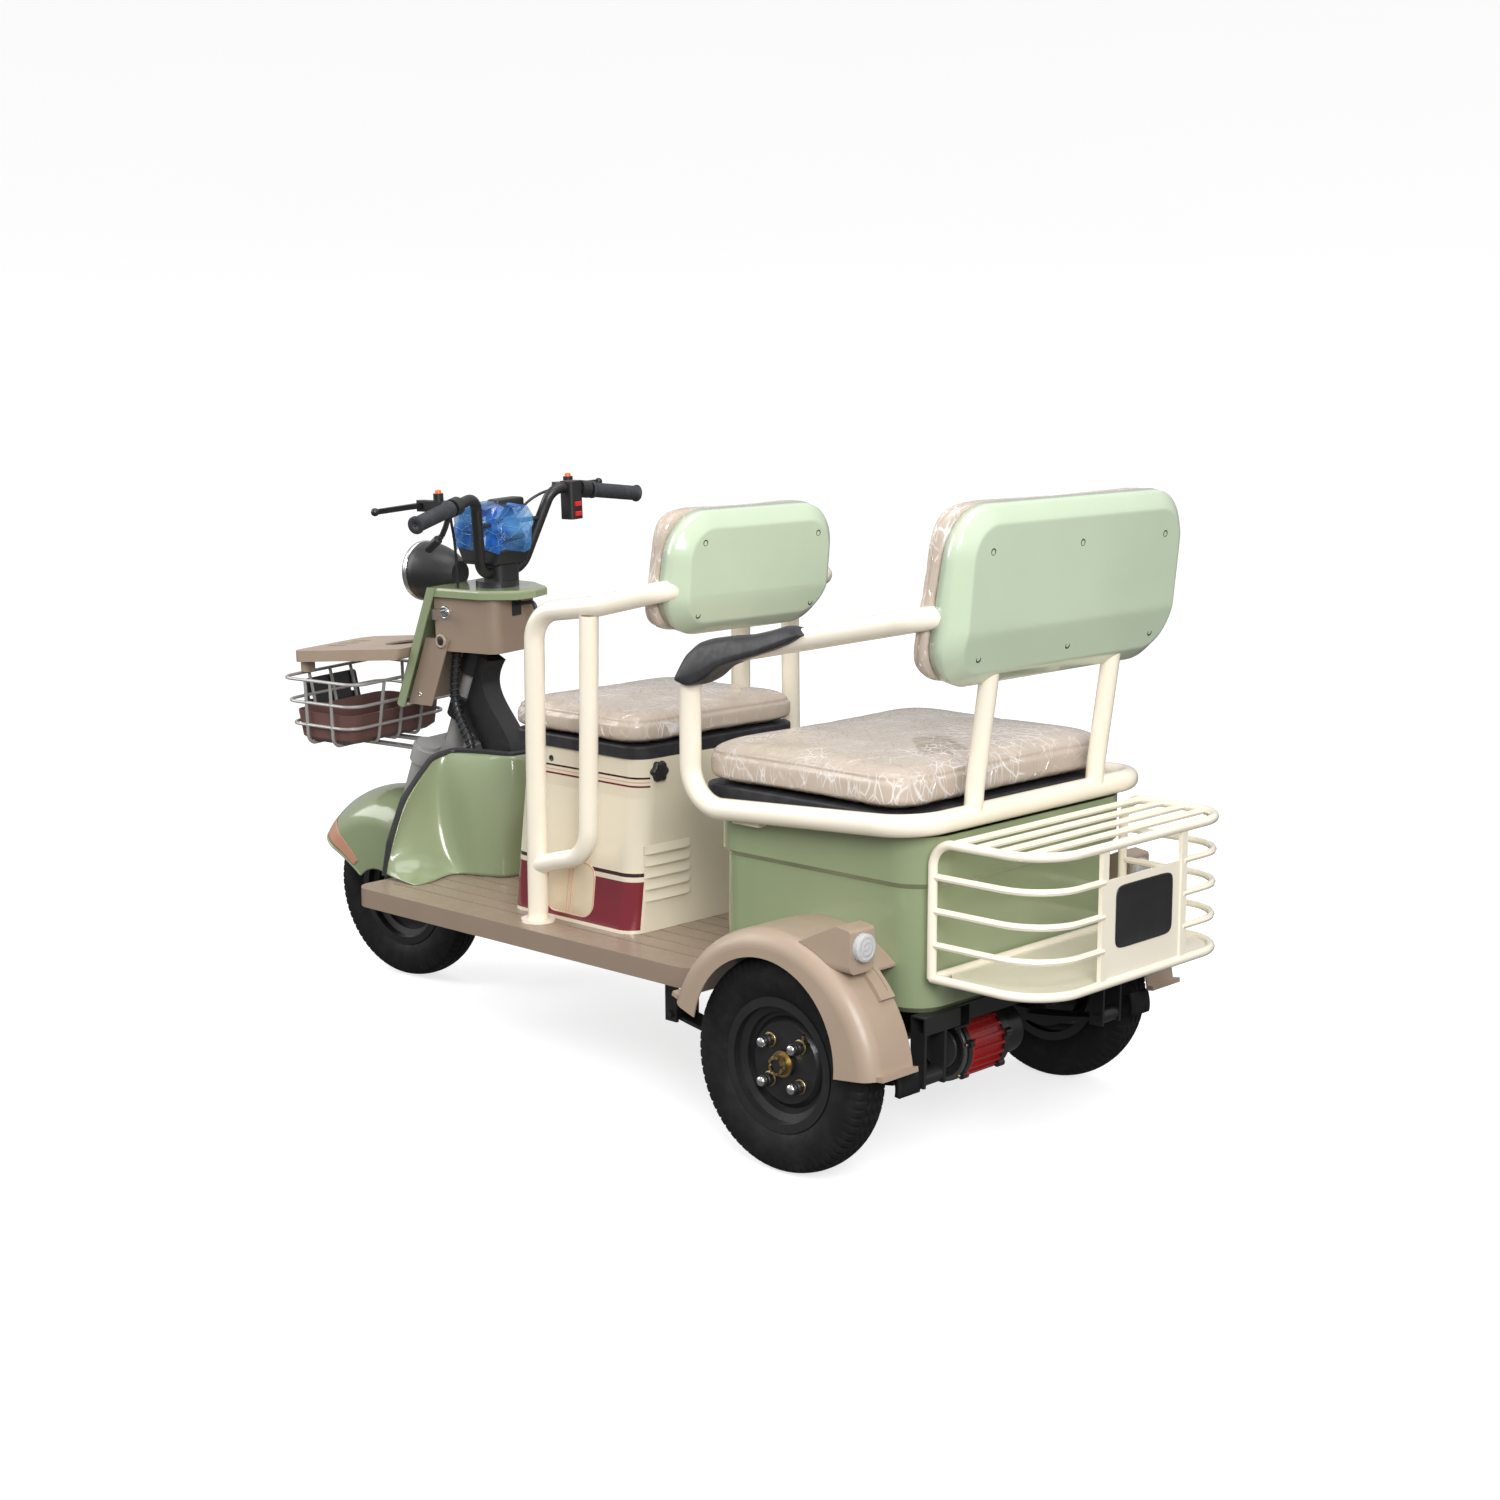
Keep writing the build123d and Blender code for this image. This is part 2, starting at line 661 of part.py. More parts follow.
# Leaf springs: main leaf with rolled eyes, and a helper leaf, under the axle pads
with BuildPart() as leaf_spring:
    with BuildSketch(Plane.YZ.offset(SPRING_X)):
        with BuildLine():
            top = ThreePointArc(EYE_FRONT, (R, LEAF_TOP - SEAT_GAP), EYE_REAR)
            low = ThreePointArc(
                (EYE_FRONT[0], EYE_FRONT[1] - LEAF_THICKNESS),
                (R, LEAF_UNDER - SEAT_GAP),
                (EYE_REAR[0], EYE_REAR[1] - LEAF_THICKNESS),
            )
            Line(top @ 0, low @ 0)
            Line(top @ 1, low @ 1)
        make_face()
        with BuildLine():
            helper = ThreePointArc(low @ 0.3, low @ 0.6, low @ 0.9)
            Line(low @ 0.9, low @ 0.9 - Vector(0, LEAF_THICKNESS))
            ThreePointArc(
                low @ 0.9 - Vector(0, LEAF_THICKNESS),
                low @ 0.6 - Vector(0, LEAF_THICKNESS),
                low @ 0.3 - Vector(0, LEAF_THICKNESS),
            )
            Line(low @ 0.3 - Vector(0, LEAF_THICKNESS), low @ 0.3)
        make_face()
        with Locations(EYE_FRONT, EYE_REAR):
            Circle(EYE_RADIUS)
        with Locations(EYE_FRONT, EYE_REAR):
            Circle(EYE_BORE, mode=Mode.SUBTRACT)
    extrude(amount=LEAF_WIDTH / 2, both=True)
keep("rear_springs", Compound([leaf_spring.part.solid(), flipped(leaf_spring.part).solid()]))

# Main frame: two box rails, cross tubes, outriggers and spring hangers
RAIL_Y0 = R - RAIL_FRONT
RAIL_Y1 = R + RAIL_REAR
RAIL_LOW = FRAME_TOP - RAIL_SIZE
CROSS_STEP = (RAIL_Y1 - RAIL_Y0 - CROSS_SIZE) / (CROSS_COUNT - 1)
HANGER_PLATE = 6.0
HANGER_HALF = LEAF_WIDTH / 2 + PLAY
OUTRIGGER_END = FLOOR_HALF_WIDTH - 2 * FLOOR_SKIRT
HANGER_END = SPRING_X + HANGER_HALF + HANGER_PLATE


def outrigger(side, middle, end):
    """Square tube from a rail out to one side."""
    reach = sorted((side * (RAIL_X + RAIL_SIZE / 2), side * end))
    return box_tube(
        (reach[0], middle - CROSS_SIZE / 2, FRAME_TOP - CROSS_SIZE),
        (reach[1], middle + CROSS_SIZE / 2, FRAME_TOP),
        RAIL_WALL,
        0,
    )


frame_tubes = []
for side in (1, -1):
    frame_tubes.append(
        box_tube(
            (side * RAIL_X - RAIL_SIZE / 2, RAIL_Y0, RAIL_LOW),
            (side * RAIL_X + RAIL_SIZE / 2, RAIL_Y1, FRAME_TOP),
            RAIL_WALL,
            1,
        )
    )
    for ahead in (POST_FRONT, POST_REAR):
        frame_tubes.append(outrigger(side, R - ahead, OUTRIGGER_END))
    for eye in (EYE_FRONT, EYE_REAR):
        frame_tubes.append(outrigger(side, eye[0], HANGER_END))
for index in range(CROSS_COUNT):
    front = RAIL_Y0 + index * CROSS_STEP
    frame_tubes.append(
        box_tube(
            (RAIL_SIZE / 2 - RAIL_X, front, FRAME_TOP - CROSS_SIZE),
            (RAIL_X - RAIL_SIZE / 2, front + CROSS_SIZE, FRAME_TOP),
            RAIL_WALL,
            0,
        )
    )
with BuildPart() as main_frame:
    for bar in frame_tubes:
        add(bar)
    for side in (1, -1):
        for eye in (EYE_FRONT, EYE_REAR):
            for plate in (-1, 1):
                middle = side * SPRING_X + plate * (HANGER_HALF + HANGER_PLATE / 2)
                with BuildSketch(Plane.YZ.offset(middle)):
                    with BuildLine():
                        Polyline(
                            (eye[0] - CROSS_SIZE / 2, FRAME_TOP - CROSS_SIZE),
                            (eye[0] + CROSS_SIZE / 2, FRAME_TOP - CROSS_SIZE),
                            (eye[0] + EYE_RADIUS, eye[1] - EYE_RADIUS),
                            (eye[0] - EYE_RADIUS, eye[1] - EYE_RADIUS),
                            close=True,
                        )
                    make_face()
                extrude(amount=HANGER_PLATE / 2, both=True)
            with BuildSketch(Plane.YZ.offset(side * SPRING_X)):
                with Locations(eye):
                    Circle(EYE_BORE - RUNNING_FIT)
            extrude(amount=HANGER_HALF + HANGER_PLATE + 6, both=True)
keep("main_frame", main_frame.part)


def footboard(front, back, corner):
    """Ribbed moulded floor: a plate with a skirt, open below."""
    length = back - front
    with BuildPart() as board:
        with BuildSketch(Plane.XY.offset(FLOOR_TOP - FLOOR_DEPTH)):
            with Locations((0, (front + back) / 2)):
                Rectangle(2 * FLOOR_HALF_WIDTH, length)
        extrude(amount=FLOOR_DEPTH)
        fillet(board.edges().filter_by(Axis.Z).group_by(Axis.Y)[0 if corner < 0 else -1], FLOOR_CORNER)
        with BuildSketch(Plane.XY.offset(FLOOR_TOP - FLOOR_DEPTH)):
            with Locations((0, (front + back) / 2 - corner * FLOOR_CORNER)):
                RectangleRounded(
                    2 * (FLOOR_HALF_WIDTH - FLOOR_SKIRT),
                    length + 2 * FLOOR_CORNER - 2 * FLOOR_SKIRT,
                    FLOOR_CORNER - FLOOR_SKIRT,
                )
            if corner > 0:
                with Locations((0, back)):
                    Rectangle(2 * (RAIL_X + RAIL_SIZE), 2 * FLOOR_CORNER)
        extrude(amount=FLOOR_DEPTH - FLOOR_PLATE, mode=Mode.SUBTRACT)
        with BuildSketch(Plane.XY.offset(FLOOR_TOP)):
            with Locations((0, (front + back) / 2)):
                with GridLocations(PLANK_PITCH, 0, PLANK_COUNT, 1):
                    Rectangle(PLANK_GROOVE, length - 2 * FLOOR_CORNER)
        extrude(amount=-PLANK_DEPTH, mode=Mode.SUBTRACT)
    return board.part


FLOOR_Y0 = R - FLOOR_FRONT
FLOOR_MID = R - FLOOR_SPLIT
FLOOR_Y1 = R - FLOOR_REAR
keep("footboard_front", footboard(FLOOR_Y0, FLOOR_MID - SEAT_GAP / 2, -1))
keep("footboard_rear", footboard(FLOOR_MID + SEAT_GAP / 2, FLOOR_Y1, 1))

# Steering neck: a swept web from the floor to two bearing collars
WEB_AHEAD = COLLAR_RADIUS - 4.0


def axis_point(along, behind=0.0):
    """Side-view point beside the steering axis: along it from the axle, and behind it."""
    height = AXLE_Z + along * cos(radians(RAKE)) - behind * sin(radians(RAKE))
    depth = F + AXIS_SETBACK + along * sin(radians(RAKE)) + behind * cos(radians(RAKE))
    return (depth, height)


NECK_TOP = COLLAR_HIGH + COLLAR_HEIGHT
NECK_FOOT = DOME_REAR + 28.0
NECK_STEEL = 4.0
with BuildPart() as steering_neck:
    with BuildSketch(Plane.YZ):
        with BuildLine():
            head = Line(axis_point(COLLAR_LOW, WEB_AHEAD), axis_point(NECK_TOP, WEB_AHEAD))
            Line(head @ 1, axis_point(NECK_TOP, WEB_AHEAD + 30))
            Spline(
                axis_point(NECK_TOP, WEB_AHEAD + 30),
                axis_point(COLLAR_HIGH, WEB_AHEAD + 30),
                (R - DOME_REAR - 62, DOME_TOP + 36),
                (R - NECK_FOOT, (FLOOR_TOP + DOME_TOP) / 2),
                (R - NECK_FOOT, FLOOR_TOP),
            )
            Line((R - NECK_FOOT, FLOOR_TOP), (R - NECK_FOOT - 84, FLOOR_TOP))
            Line((R - NECK_FOOT - 84, FLOOR_TOP), (R - NECK_FOOT - 84, DOME_TOP - 60))
            Line((R - NECK_FOOT - 84, DOME_TOP - 60), (R - DOME_REAR - 142, DOME_TOP + 12))
            Line((R - DOME_REAR - 142, DOME_TOP + 12), head @ 0)
        make_face()
    extrude(amount=NECK_HALF_WIDTH, both=True)
    with BuildSketch(Plane.YZ):
        with Locations((R - NECK_FOOT - 42, (FLOOR_TOP + DOME_TOP - 50) / 2)):
            Rectangle(84 - 4 * NECK_STEEL, DOME_TOP - 50 - FLOOR_TOP)
    extrude(amount=NECK_HALF_WIDTH - NECK_STEEL, both=True, mode=Mode.SUBTRACT)
    for start in (COLLAR_LOW, COLLAR_HIGH):
        with BuildSketch(FORK.offset(start)):
            with Locations((0, STEER_OFFSET)):
                Circle(COLLAR_RADIUS)
        extrude(amount=COLLAR_HEIGHT)
    with BuildSketch(FORK.offset(COLLAR_LOW - COLLAR_HEIGHT)):
        with Locations((0, STEER_OFFSET)):
            Circle(STEERER_RADIUS + RUNNING_FIT)
    extrude(amount=NECK_TOP - COLLAR_LOW + 2 * COLLAR_HEIGHT, mode=Mode.SUBTRACT)
keep("steering_neck", steering_neck.part)

# Leg shield: a domed tunnel round the neck with two swept wings
SHIELD_EDGE = R - DOME_FRONT
WING = [
    (DOME_HALF - 10, (0.0, DOME_TOP - 6), 34.0),
    (140.0, (-4.0, DOME_TOP - 18), 50.0),
    (200.0, (-10.0, DOME_TOP - 88), 76.0),
    (238.0, (-10.0, FLOOR_TOP + 66), 90.0),
    (252.0, (-10.0, FLOOR_TOP + 10), 96.0),
]


def wing_section(x, top, foot):
    """Thin slanted section of a wing: upper edge, and foot behind the shield's edge."""
    a = Vector(SHIELD_EDGE + top[0], top[1])
    b = Vector(SHIELD_EDGE + foot, FLOOR_TOP + SEAT_GAP)
    run = (b - a).normalized()
    side = Vector(-run.Y, run.X) * SHIELD_STEEL
    if side.Y < 0:
        side = side * -1
    with BuildSketch(Plane.YZ.offset(x)) as section:
        with BuildLine():
            Polyline(a, b, b + side, a + side, close=True)
        make_face()
    return section.sketch.face()


wing_faces = [wing_section(*row) for row in WING]
with BuildPart() as wing:
    loft(wing_faces, ruled=True)



def dome(inset):
    """Tunnel over the neck, drawn in by a wall; the hollow runs out at the front and below."""
    front = SHIELD_EDGE - 2 * inset
    back = R - DOME_REAR - inset
    low = FLOOR_TOP + SEAT_GAP - 2 * inset
    with BuildPart() as body:
        with BuildSketch(Plane.XY.offset(low)):
            with Locations((0, (front + back) / 2)):
                Rectangle(2 * (DOME_HALF - inset), back - front)
        extrude(amount=DOME_TOP - inset - low)
        fillet(body.edges().filter_by(Axis.Z).group_by(Axis.Y)[-1], DOME_CORNER - inset)
        fillet(body.faces().sort_by(Axis.Z)[-1].edges().sort_by(Axis.Y)[1:], DOME_CORNER - 10 - inset)
    return body.part


# Black bead along the shield's upper edge and round the neck
TRIM_Y = SHIELD_EDGE - TRIM_RADIUS - SEAT_GAP
TRIM_Z = DOME_TOP + 3.0
NOTCH_BACK = SHIELD_EDGE + 131.0
trim_side = [
    (252.0, TRIM_Y - 10, FLOOR_TOP + TRIM_RADIUS + SEAT_GAP),
    (238.0, TRIM_Y - 10, FLOOR_TOP + 74),
    (200.0, TRIM_Y - 10, DOME_TOP - 84),
    (128.0, TRIM_Y - 2, DOME_TOP - 6),
    (86.0, SHIELD_EDGE + 6, TRIM_Z),
    (58.0, SHIELD_EDGE + 58, TRIM_Z),
    (NECK_HALF_WIDTH + TRIM_RADIUS + 10, NOTCH_BACK, TRIM_Z),
]
trim_route = trim_side + [(-x, y, z) for x, y, z in reversed(trim_side)]
TRIM_BENDS = [34.0, 40.0, 44.0, 20.0, 30.0, 16.0]
TRIM_BENDS = TRIM_BENDS + TRIM_BENDS[::-1]
keep("leg_shield_trim", tube(trim_route, TRIM_BENDS, TRIM_RADIUS, sides=8))

dome_outer = dome(0.0)
dome_inner = dome(SHIELD_STEEL)
trim_room = tube(trim_route, TRIM_BENDS, TRIM_RADIUS + SEAT_GAP)
with BuildPart() as leg_shield:
    add(dome_outer)
    add(dome_inner, mode=Mode.SUBTRACT)
    add(wing.part)
    add(flipped(wing.part))
    with BuildSketch(Plane.XY.offset(DOME_TOP - DOME_CORNER)):
        with BuildLine():
            Polyline(
                *[(x, y) for x, y, z in trim_side[4:]],
                *[(-x, y) for x, y, z in reversed(trim_side[4:])],
                (-trim_side[4][0], SHIELD_EDGE - 60),
                (trim_side[4][0], SHIELD_EDGE - 60),
                close=True,
            )
        make_face()
    extrude(amount=2 * DOME_CORNER, mode=Mode.SUBTRACT)
    add(trim_room, mode=Mode.SUBTRACT)
keep("leg_shield", leg_shield.part)

# Wiring loom from the floor under the shield up into the dash
LOOM_X = COLLAR_RADIUS + LOOM_RADIUS + 2.0
loom_route = [
    (LOOM_X, SHIELD_EDGE + 28, FLOOR_TOP + SEAT_GAP),
    (LOOM_X, SHIELD_EDGE + 28, DOME_TOP - 8),
    (LOOM_X, axis_y(598) + 30, 598),
    (LOOM_X, axis_y(650) - 2, 650),
    (LOOM_X, axis_y(DASH_LOW) - 22, DASH_LOW + 10),
]
keep("wiring_loom", tube(loom_route, 48.0, LOOM_RADIUS))

# Seat box: a waisted moulding with louvres at the back, open above and below
BOX_Y0 = R - BOX_FRONT
BOX_Y1 = R - BOX_REAR
BOX_MID = (BOX_Y0 + BOX_Y1) / 2
BOX_LENGTH = BOX_Y1 - BOX_Y0


def box_section(height, half, inset):
    """Rounded plan of the seat box at a height."""
    with BuildSketch(Plane.XY.offset(height)) as section:
        with Locations((0, BOX_MID)):
            RectangleRounded(2 * (half - inset), BOX_LENGTH - 2 * inset, BOX_CORNER - inset)
    return section.sketch.face()


def box_body(inset):
    """Waisted body of the seat box, drawn in by a wall."""
    levels = [
        (FLOOR_TOP + SEAT_GAP, BOX_HALF_LOW),
        (BOX_WAIST, BOX_HALF_HIGH),
        (BOX_TOP, BOX_HALF_HIGH),
    ]
    return [box_section(height, half, inset) for height, half in levels]


outer_sections = box_body(0.0)
inner_sections = box_body(BOX_WALL)
LOUVRE_X = 144.0
LOUVRE_Z = 396.0
LOUVRE_PITCH = 22.0
LOUVRE_WIDTH = 112.0
PIN_Y = BOX_Y0 - HINGE_KNUCKLE - PLAY
PIN_Z = BOX_TOP - HINGE_KNUCKLE
LUG_X = 110.0
LUG_WIDTH = 16.0
with BuildPart() as seat_box:
    loft(outer_sections, ruled=True)
    loft(inner_sections, ruled=True, mode=Mode.SUBTRACT)
    with BuildSketch(Plane.XZ.offset(-BOX_Y1)):
        with Locations((LOUVRE_X, LOUVRE_Z)):
            with GridLocations(0, LOUVRE_PITCH, 1, LOUVRES):
                SlotOverall(LOUVRE_WIDTH, 9)
    extrude(amount=2 * BOX_WALL, mode=Mode.SUBTRACT, both=True)
    with BuildSketch(Plane.YZ):
        with BuildLine():
            Polyline(
                (BOX_Y0 + BOX_WALL, BOX_TOP),
                (PIN_Y, BOX_TOP),
                (PIN_Y - HINGE_KNUCKLE, PIN_Z),
                (PIN_Y, PIN_Z - HINGE_KNUCKLE),
                (BOX_Y0 + BOX_WALL, PIN_Z - 3 * HINGE_KNUCKLE),
                close=True,
            )
        make_face()
    extrude(amount=LUG_X + LUG_WIDTH, both=True)
    with BuildSketch(Plane.YZ):
        with Locations(((PIN_Y + BOX_Y0) / 2 - HINGE_KNUCKLE, PIN_Z - HINGE_KNUCKLE)):
            Rectangle(BOX_Y0 - PIN_Y + 2 * HINGE_KNUCKLE, 6 * HINGE_KNUCKLE)
    extrude(amount=LUG_X, both=True, mode=Mode.SUBTRACT)
    with BuildSketch(Plane.YZ):
        with Locations((PIN_Y, PIN_Z)):
            Circle(HINGE_PIN)
    extrude(amount=LUG_X + LUG_WIDTH / 2, both=True)
keep("seat_box", seat_box.part)

# Battery pack and motor controller under the seat
with BuildPart() as battery_pack:
    with Locations((0, BOX_MID - 50, FLOOR_TOP + BATTERY[2] / 2)):
        Box(*BATTERY)
    fillet(battery_pack.edges().filter_by(Axis.Z), 8)
    with Locations((-90, BOX_MID - 50, FLOOR_TOP + BATTERY[2]), (90, BOX_MID - 50, FLOOR_TOP + BATTERY[2])):
        Cylinder(9, 12, align=(Align.CENTER, Align.CENTER, Align.MIN))
keep("battery_pack", battery_pack.part)

with BuildPart() as motor_controller:
    with Locations((-60, BOX_MID + 98, FLOOR_TOP)):
        Box(*CONTROLLER, align=(Align.CENTER, Align.CENTER, Align.MIN))
    with Locations((-60, BOX_MID + 98, FLOOR_TOP + CONTROLLER[2])):
        with GridLocations(0, 15, 1, 6):
            Box(CONTROLLER[0], 4, 10, align=(Align.CENTER, Align.CENTER, Align.MIN))
keep("motor_controller", motor_controller.part)

# Seat pan, hinged at its front edge
SEAT_LOW = BOX_TOP + SEAT_GAP
SEAT_TOP = SEAT_LOW + SEAT_BASE_HEIGHT
SEAT_Y0 = PIN_Y - HINGE_KNUCKLE
SEAT_MID = SEAT_Y0 + SEAT_DEPTH / 2
with BuildPart() as driver_seat_base:
    with BuildSketch(Plane.XY.offset(SEAT_LOW)):
        with Locations((0, SEAT_MID)):
            RectangleRounded(2 * SEAT_HALF, SEAT_DEPTH, BOX_CORNER)
    extrude(amount=SEAT_BASE_HEIGHT)
    fillet(driver_seat_base.faces().sort_by(Axis.Z)[-1].edges(), 5)
    with BuildSketch(Plane.YZ):
        with Locations((PIN_Y, PIN_Z)):
            Circle(HINGE_KNUCKLE - PLAY)
        with Locations((PIN_Y, (PIN_Z + SEAT_LOW) / 2 + 2)):
            Rectangle(HINGE_KNUCKLE, SEAT_LOW - PIN_Z + 4)
    extrude(amount=LUG_X - PLAY, both=True)
    with BuildSketch(Plane.YZ):
        with Locations((PIN_Y, PIN_Z)):
            Circle(HINGE_PIN + RUNNING_FIT)
    extrude(amount=LUG_X, both=True, mode=Mode.SUBTRACT)
keep("driver_seat_base", driver_seat_base.part)


def cushion(half, length, height, crown):
    """Upholstered block: drawn-in sides, crowned top, rounded ends; base at z = 0."""
    rows = [
        (-0.50, 0.90, 0.58),
        (-0.46, 0.97, 0.86),
        (-0.30, 1.00, 1.00),
        (0.30, 1.00, 1.00),
        (0.46, 0.97, 0.86),
        (0.50, 0.90, 0.58),
    ]
    faces = []
    for share, spread, lift in rows:
        w = half * spread
        h = (height - crown) * lift
        c = crown * lift
        with BuildSketch(Plane.XZ.offset(-share * length)) as section:
            with BuildLine():
                Line((-0.95 * w, 0), (0.95 * w, 0))
                ThreePointArc((0.95 * w, 0), (w, 0.45 * h), (0.93 * w, 0.92 * h))
                ThreePointArc((0.93 * w, 0.92 * h), (0, h + c), (-0.93 * w, 0.92 * h))
                ThreePointArc((-0.93 * w, 0.92 * h), (-w, 0.45 * h), (-0.95 * w, 0))
            make_face()
        faces.append(section.sketch.face())
    with BuildPart() as block:
        loft(faces)
    return block.part


driver_cushion = cushion(SEAT_HALF + 5, SEAT_DEPTH, CUSHION_HEIGHT, 8.0)
keep(
    "driver_seat_cushion",
    driver_cushion.moved(Location((0, SEAT_MID, SEAT_TOP + SEAT_GAP))),
)

# Driver's side frames: armrest hoop with a second post, bent from one size of tube
ARM_BACK = (DRIVER_BACK_HALF + 8.0, R + DRIVER_BACK_Y - 2.0, DRIVER_BACK_Z - 2.0)
hoop_side = [
    (FRAME_X, R - POST_FRONT, FLOOR_TOP + SEAT_GAP),
    (FRAME_X, R - POST_FRONT, ARM_Z),
    (FRAME_X - 12, R - POST_REAR + 16, ARM_Z + 22),
    ARM_BACK,
]
post_route = [
    (FRAME_X - 8, R - POST_REAR, ARM_Z + 4),
    (FRAME_X, R - POST_REAR, 432.0),
    (FRAME_X, R - POST_FRONT + 6, 396.0),
]
POST_RADIUS = TUBE_RADIUS - 1.5
HOOP_BENDS = [FRAME_BEND, 60.0, 44.0]
HOOP_BENDS = HOOP_BENDS + HOOP_BENDS[::-1]
hoop_route = hoop_side + across(hoop_side)
hoop_frame = tube_frame(
    [
        (hoop_route, HOOP_BENDS, TUBE_RADIUS),
        (post_route, FRAME_BEND, POST_RADIUS),
        (across(post_route), FRAME_BEND, POST_RADIUS),
    ]
)
with BuildPart() as driver_frames:
    add(hoop_frame)
    for side in (1, -1):
        with BuildSketch(Plane.XY.offset(FLOOR_TOP + SEAT_GAP)):
            with Locations((side * FRAME_X, R - POST_FRONT)):
                Circle(FOOT_RADIUS)
                Circle(TUBE_RADIUS - 1, mode=Mode.SUBTRACT)
        extrude(amount=FOOT_THICKNESS)
keep("driver_frames", driver_frames.part)


def back_plane(y, z):
    """Plane of a backrest at its tube: x to the right, y up its slope, z to the rear."""
    return Plane(
        (0, y, z),
        x_dir=(-1, 0, 0),
        z_dir=(0, cos(radians(BACK_TILT)), -sin(radians(BACK_TILT))),
    )


def back_shell(plane, half, tall, lift, studs, tunnel):
    """Moulded tray behind a backrest pad, stepped low down, with screw dimples."""
    front = plane.offset(-SHELL_DEPTH / 2)
    with BuildPart() as shell:
        with BuildSketch(front):
            with Locations((0, lift)):
                RectangleRounded(2 * half, tall, BACK_CORNER)
        extrude(amount=SHELL_DEPTH)
        fillet(shell.faces().sort_by(Axis(front.origin, front.z_dir))[-1].edges(), SHELL_DEPTH / 2)
        offset(
            amount=-SHELL_WALL,
            openings=shell.faces().sort_by(Axis(front.origin, front.z_dir))[0],
        )
        with BuildSketch(plane.offset(SHELL_DEPTH / 2 - 1)):
            with Locations((0, lift)):
                with Locations(*studs):
                    Circle(5)
        extrude(amount=4, mode=Mode.SUBTRACT)
        add(tunnel, mode=Mode.SUBTRACT)
    return shell.part


def back_pad(plane, half, tall, lift, tunnel):
    """Upholstered pad on the front of a backrest shell, relieved round the tube."""
    block = cushion(half, tall, PAD_THICKNESS, 9.0)
    seat = plane.offset(-SHELL_DEPTH / 2 - SEAT_GAP)
    face = Plane(seat.origin + seat.y_dir * lift, x_dir=(1, 0, 0), z_dir=-seat.z_dir)
    with BuildPart() as pad:
        add(block.moved(face.location))
        add(tunnel, mode=Mode.SUBTRACT)
    return pad.part


DRIVER_BACK = back_plane(R + DRIVER_BACK_Y, DRIVER_BACK_Z)
driver_studs = [(x, y) for x in (-142, 0, 142) for y in (-70, 60)]
hoop_room = tube(hoop_route, HOOP_BENDS, TUBE_RADIUS + PLAY)
keep(
    "driver_backrest_shell",
    back_shell(
        DRIVER_BACK, DRIVER_BACK_HALF, DRIVER_BACK_TALL, DRIVER_BACK_LIFT, driver_studs, hoop_room
    ),
)
keep(
    "driver_backrest_cushion",
    back_pad(DRIVER_BACK, DRIVER_BACK_HALF, DRIVER_BACK_TALL, DRIVER_BACK_LIFT, hoop_room),
)

# Storage tub under the bench: a deep moulding with a proud upper band
TUB_Y0 = R - TUB_FRONT
TUB_Y1 = R + TUB_REAR


def tub_section(height, grow):
    """Plan of the tub at a height, grown or drawn in all round."""
    with BuildSketch(Plane.XY.offset(height)) as section:
        with Locations((0, (TUB_Y0 + TUB_Y1) / 2)):
            RectangleRounded(2 * (TUB_HALF + grow), TUB_Y1 - TUB_Y0 + 2 * grow, TUB_CORNER + grow)
    return section.sketch.face()


TUB_FLOOR = FRAME_TOP + TUB_WALL
tub_outer = [
    tub_section(FRAME_TOP, -TUB_BAND),
    tub_section(FRAME_TOP + TUB_BAND, 0.0),
    tub_section(TUB_SHOULDER, 0.0),
    tub_section(TUB_SHOULDER + TUB_BAND, TUB_BAND),
    tub_section(TUB_TOP, TUB_BAND),
]
tub_inner = [
    tub_section(TUB_FLOOR, -TUB_BAND - TUB_WALL),
    tub_section(FRAME_TOP + TUB_BAND, -TUB_WALL),
    tub_section(TUB_SHOULDER, -TUB_WALL),
    tub_section(TUB_SHOULDER + TUB_BAND, TUB_BAND - TUB_WALL),
    tub_section(TUB_TOP, TUB_BAND - TUB_WALL),
]
BENCH_PIN_Y = TUB_Y0 - TUB_BAND - HINGE_KNUCKLE - PLAY
BENCH_PIN_Z = TUB_TOP - HINGE_KNUCKLE
with BuildPart() as rear_tub:
    loft(tub_outer, ruled=True)
    loft(tub_inner, ruled=True, mode=Mode.SUBTRACT)
    for side in (1, -1):
        with BuildSketch(Plane.YZ.offset(side * LUG_X)):
            with BuildLine():
                Polyline(
                    (TUB_Y0 - TUB_BAND + TUB_WALL, TUB_TOP),
                    (BENCH_PIN_Y, TUB_TOP),
                    (BENCH_PIN_Y - HINGE_KNUCKLE, BENCH_PIN_Z),
                    (BENCH_PIN_Y, BENCH_PIN_Z - HINGE_KNUCKLE),
                    (TUB_Y0 - TUB_BAND + TUB_WALL, BENCH_PIN_Z - 3 * HINGE_KNUCKLE),
                    close=True,
                )
            make_face()
        extrude(amount=side * LUG_WIDTH)
    with BuildSketch(Plane.YZ):
        with Locations((BENCH_PIN_Y, BENCH_PIN_Z)):
            Circle(HINGE_PIN)
    extrude(amount=LUG_X + LUG_WIDTH / 2, both=True)
keep("rear_tub", rear_tub.part)

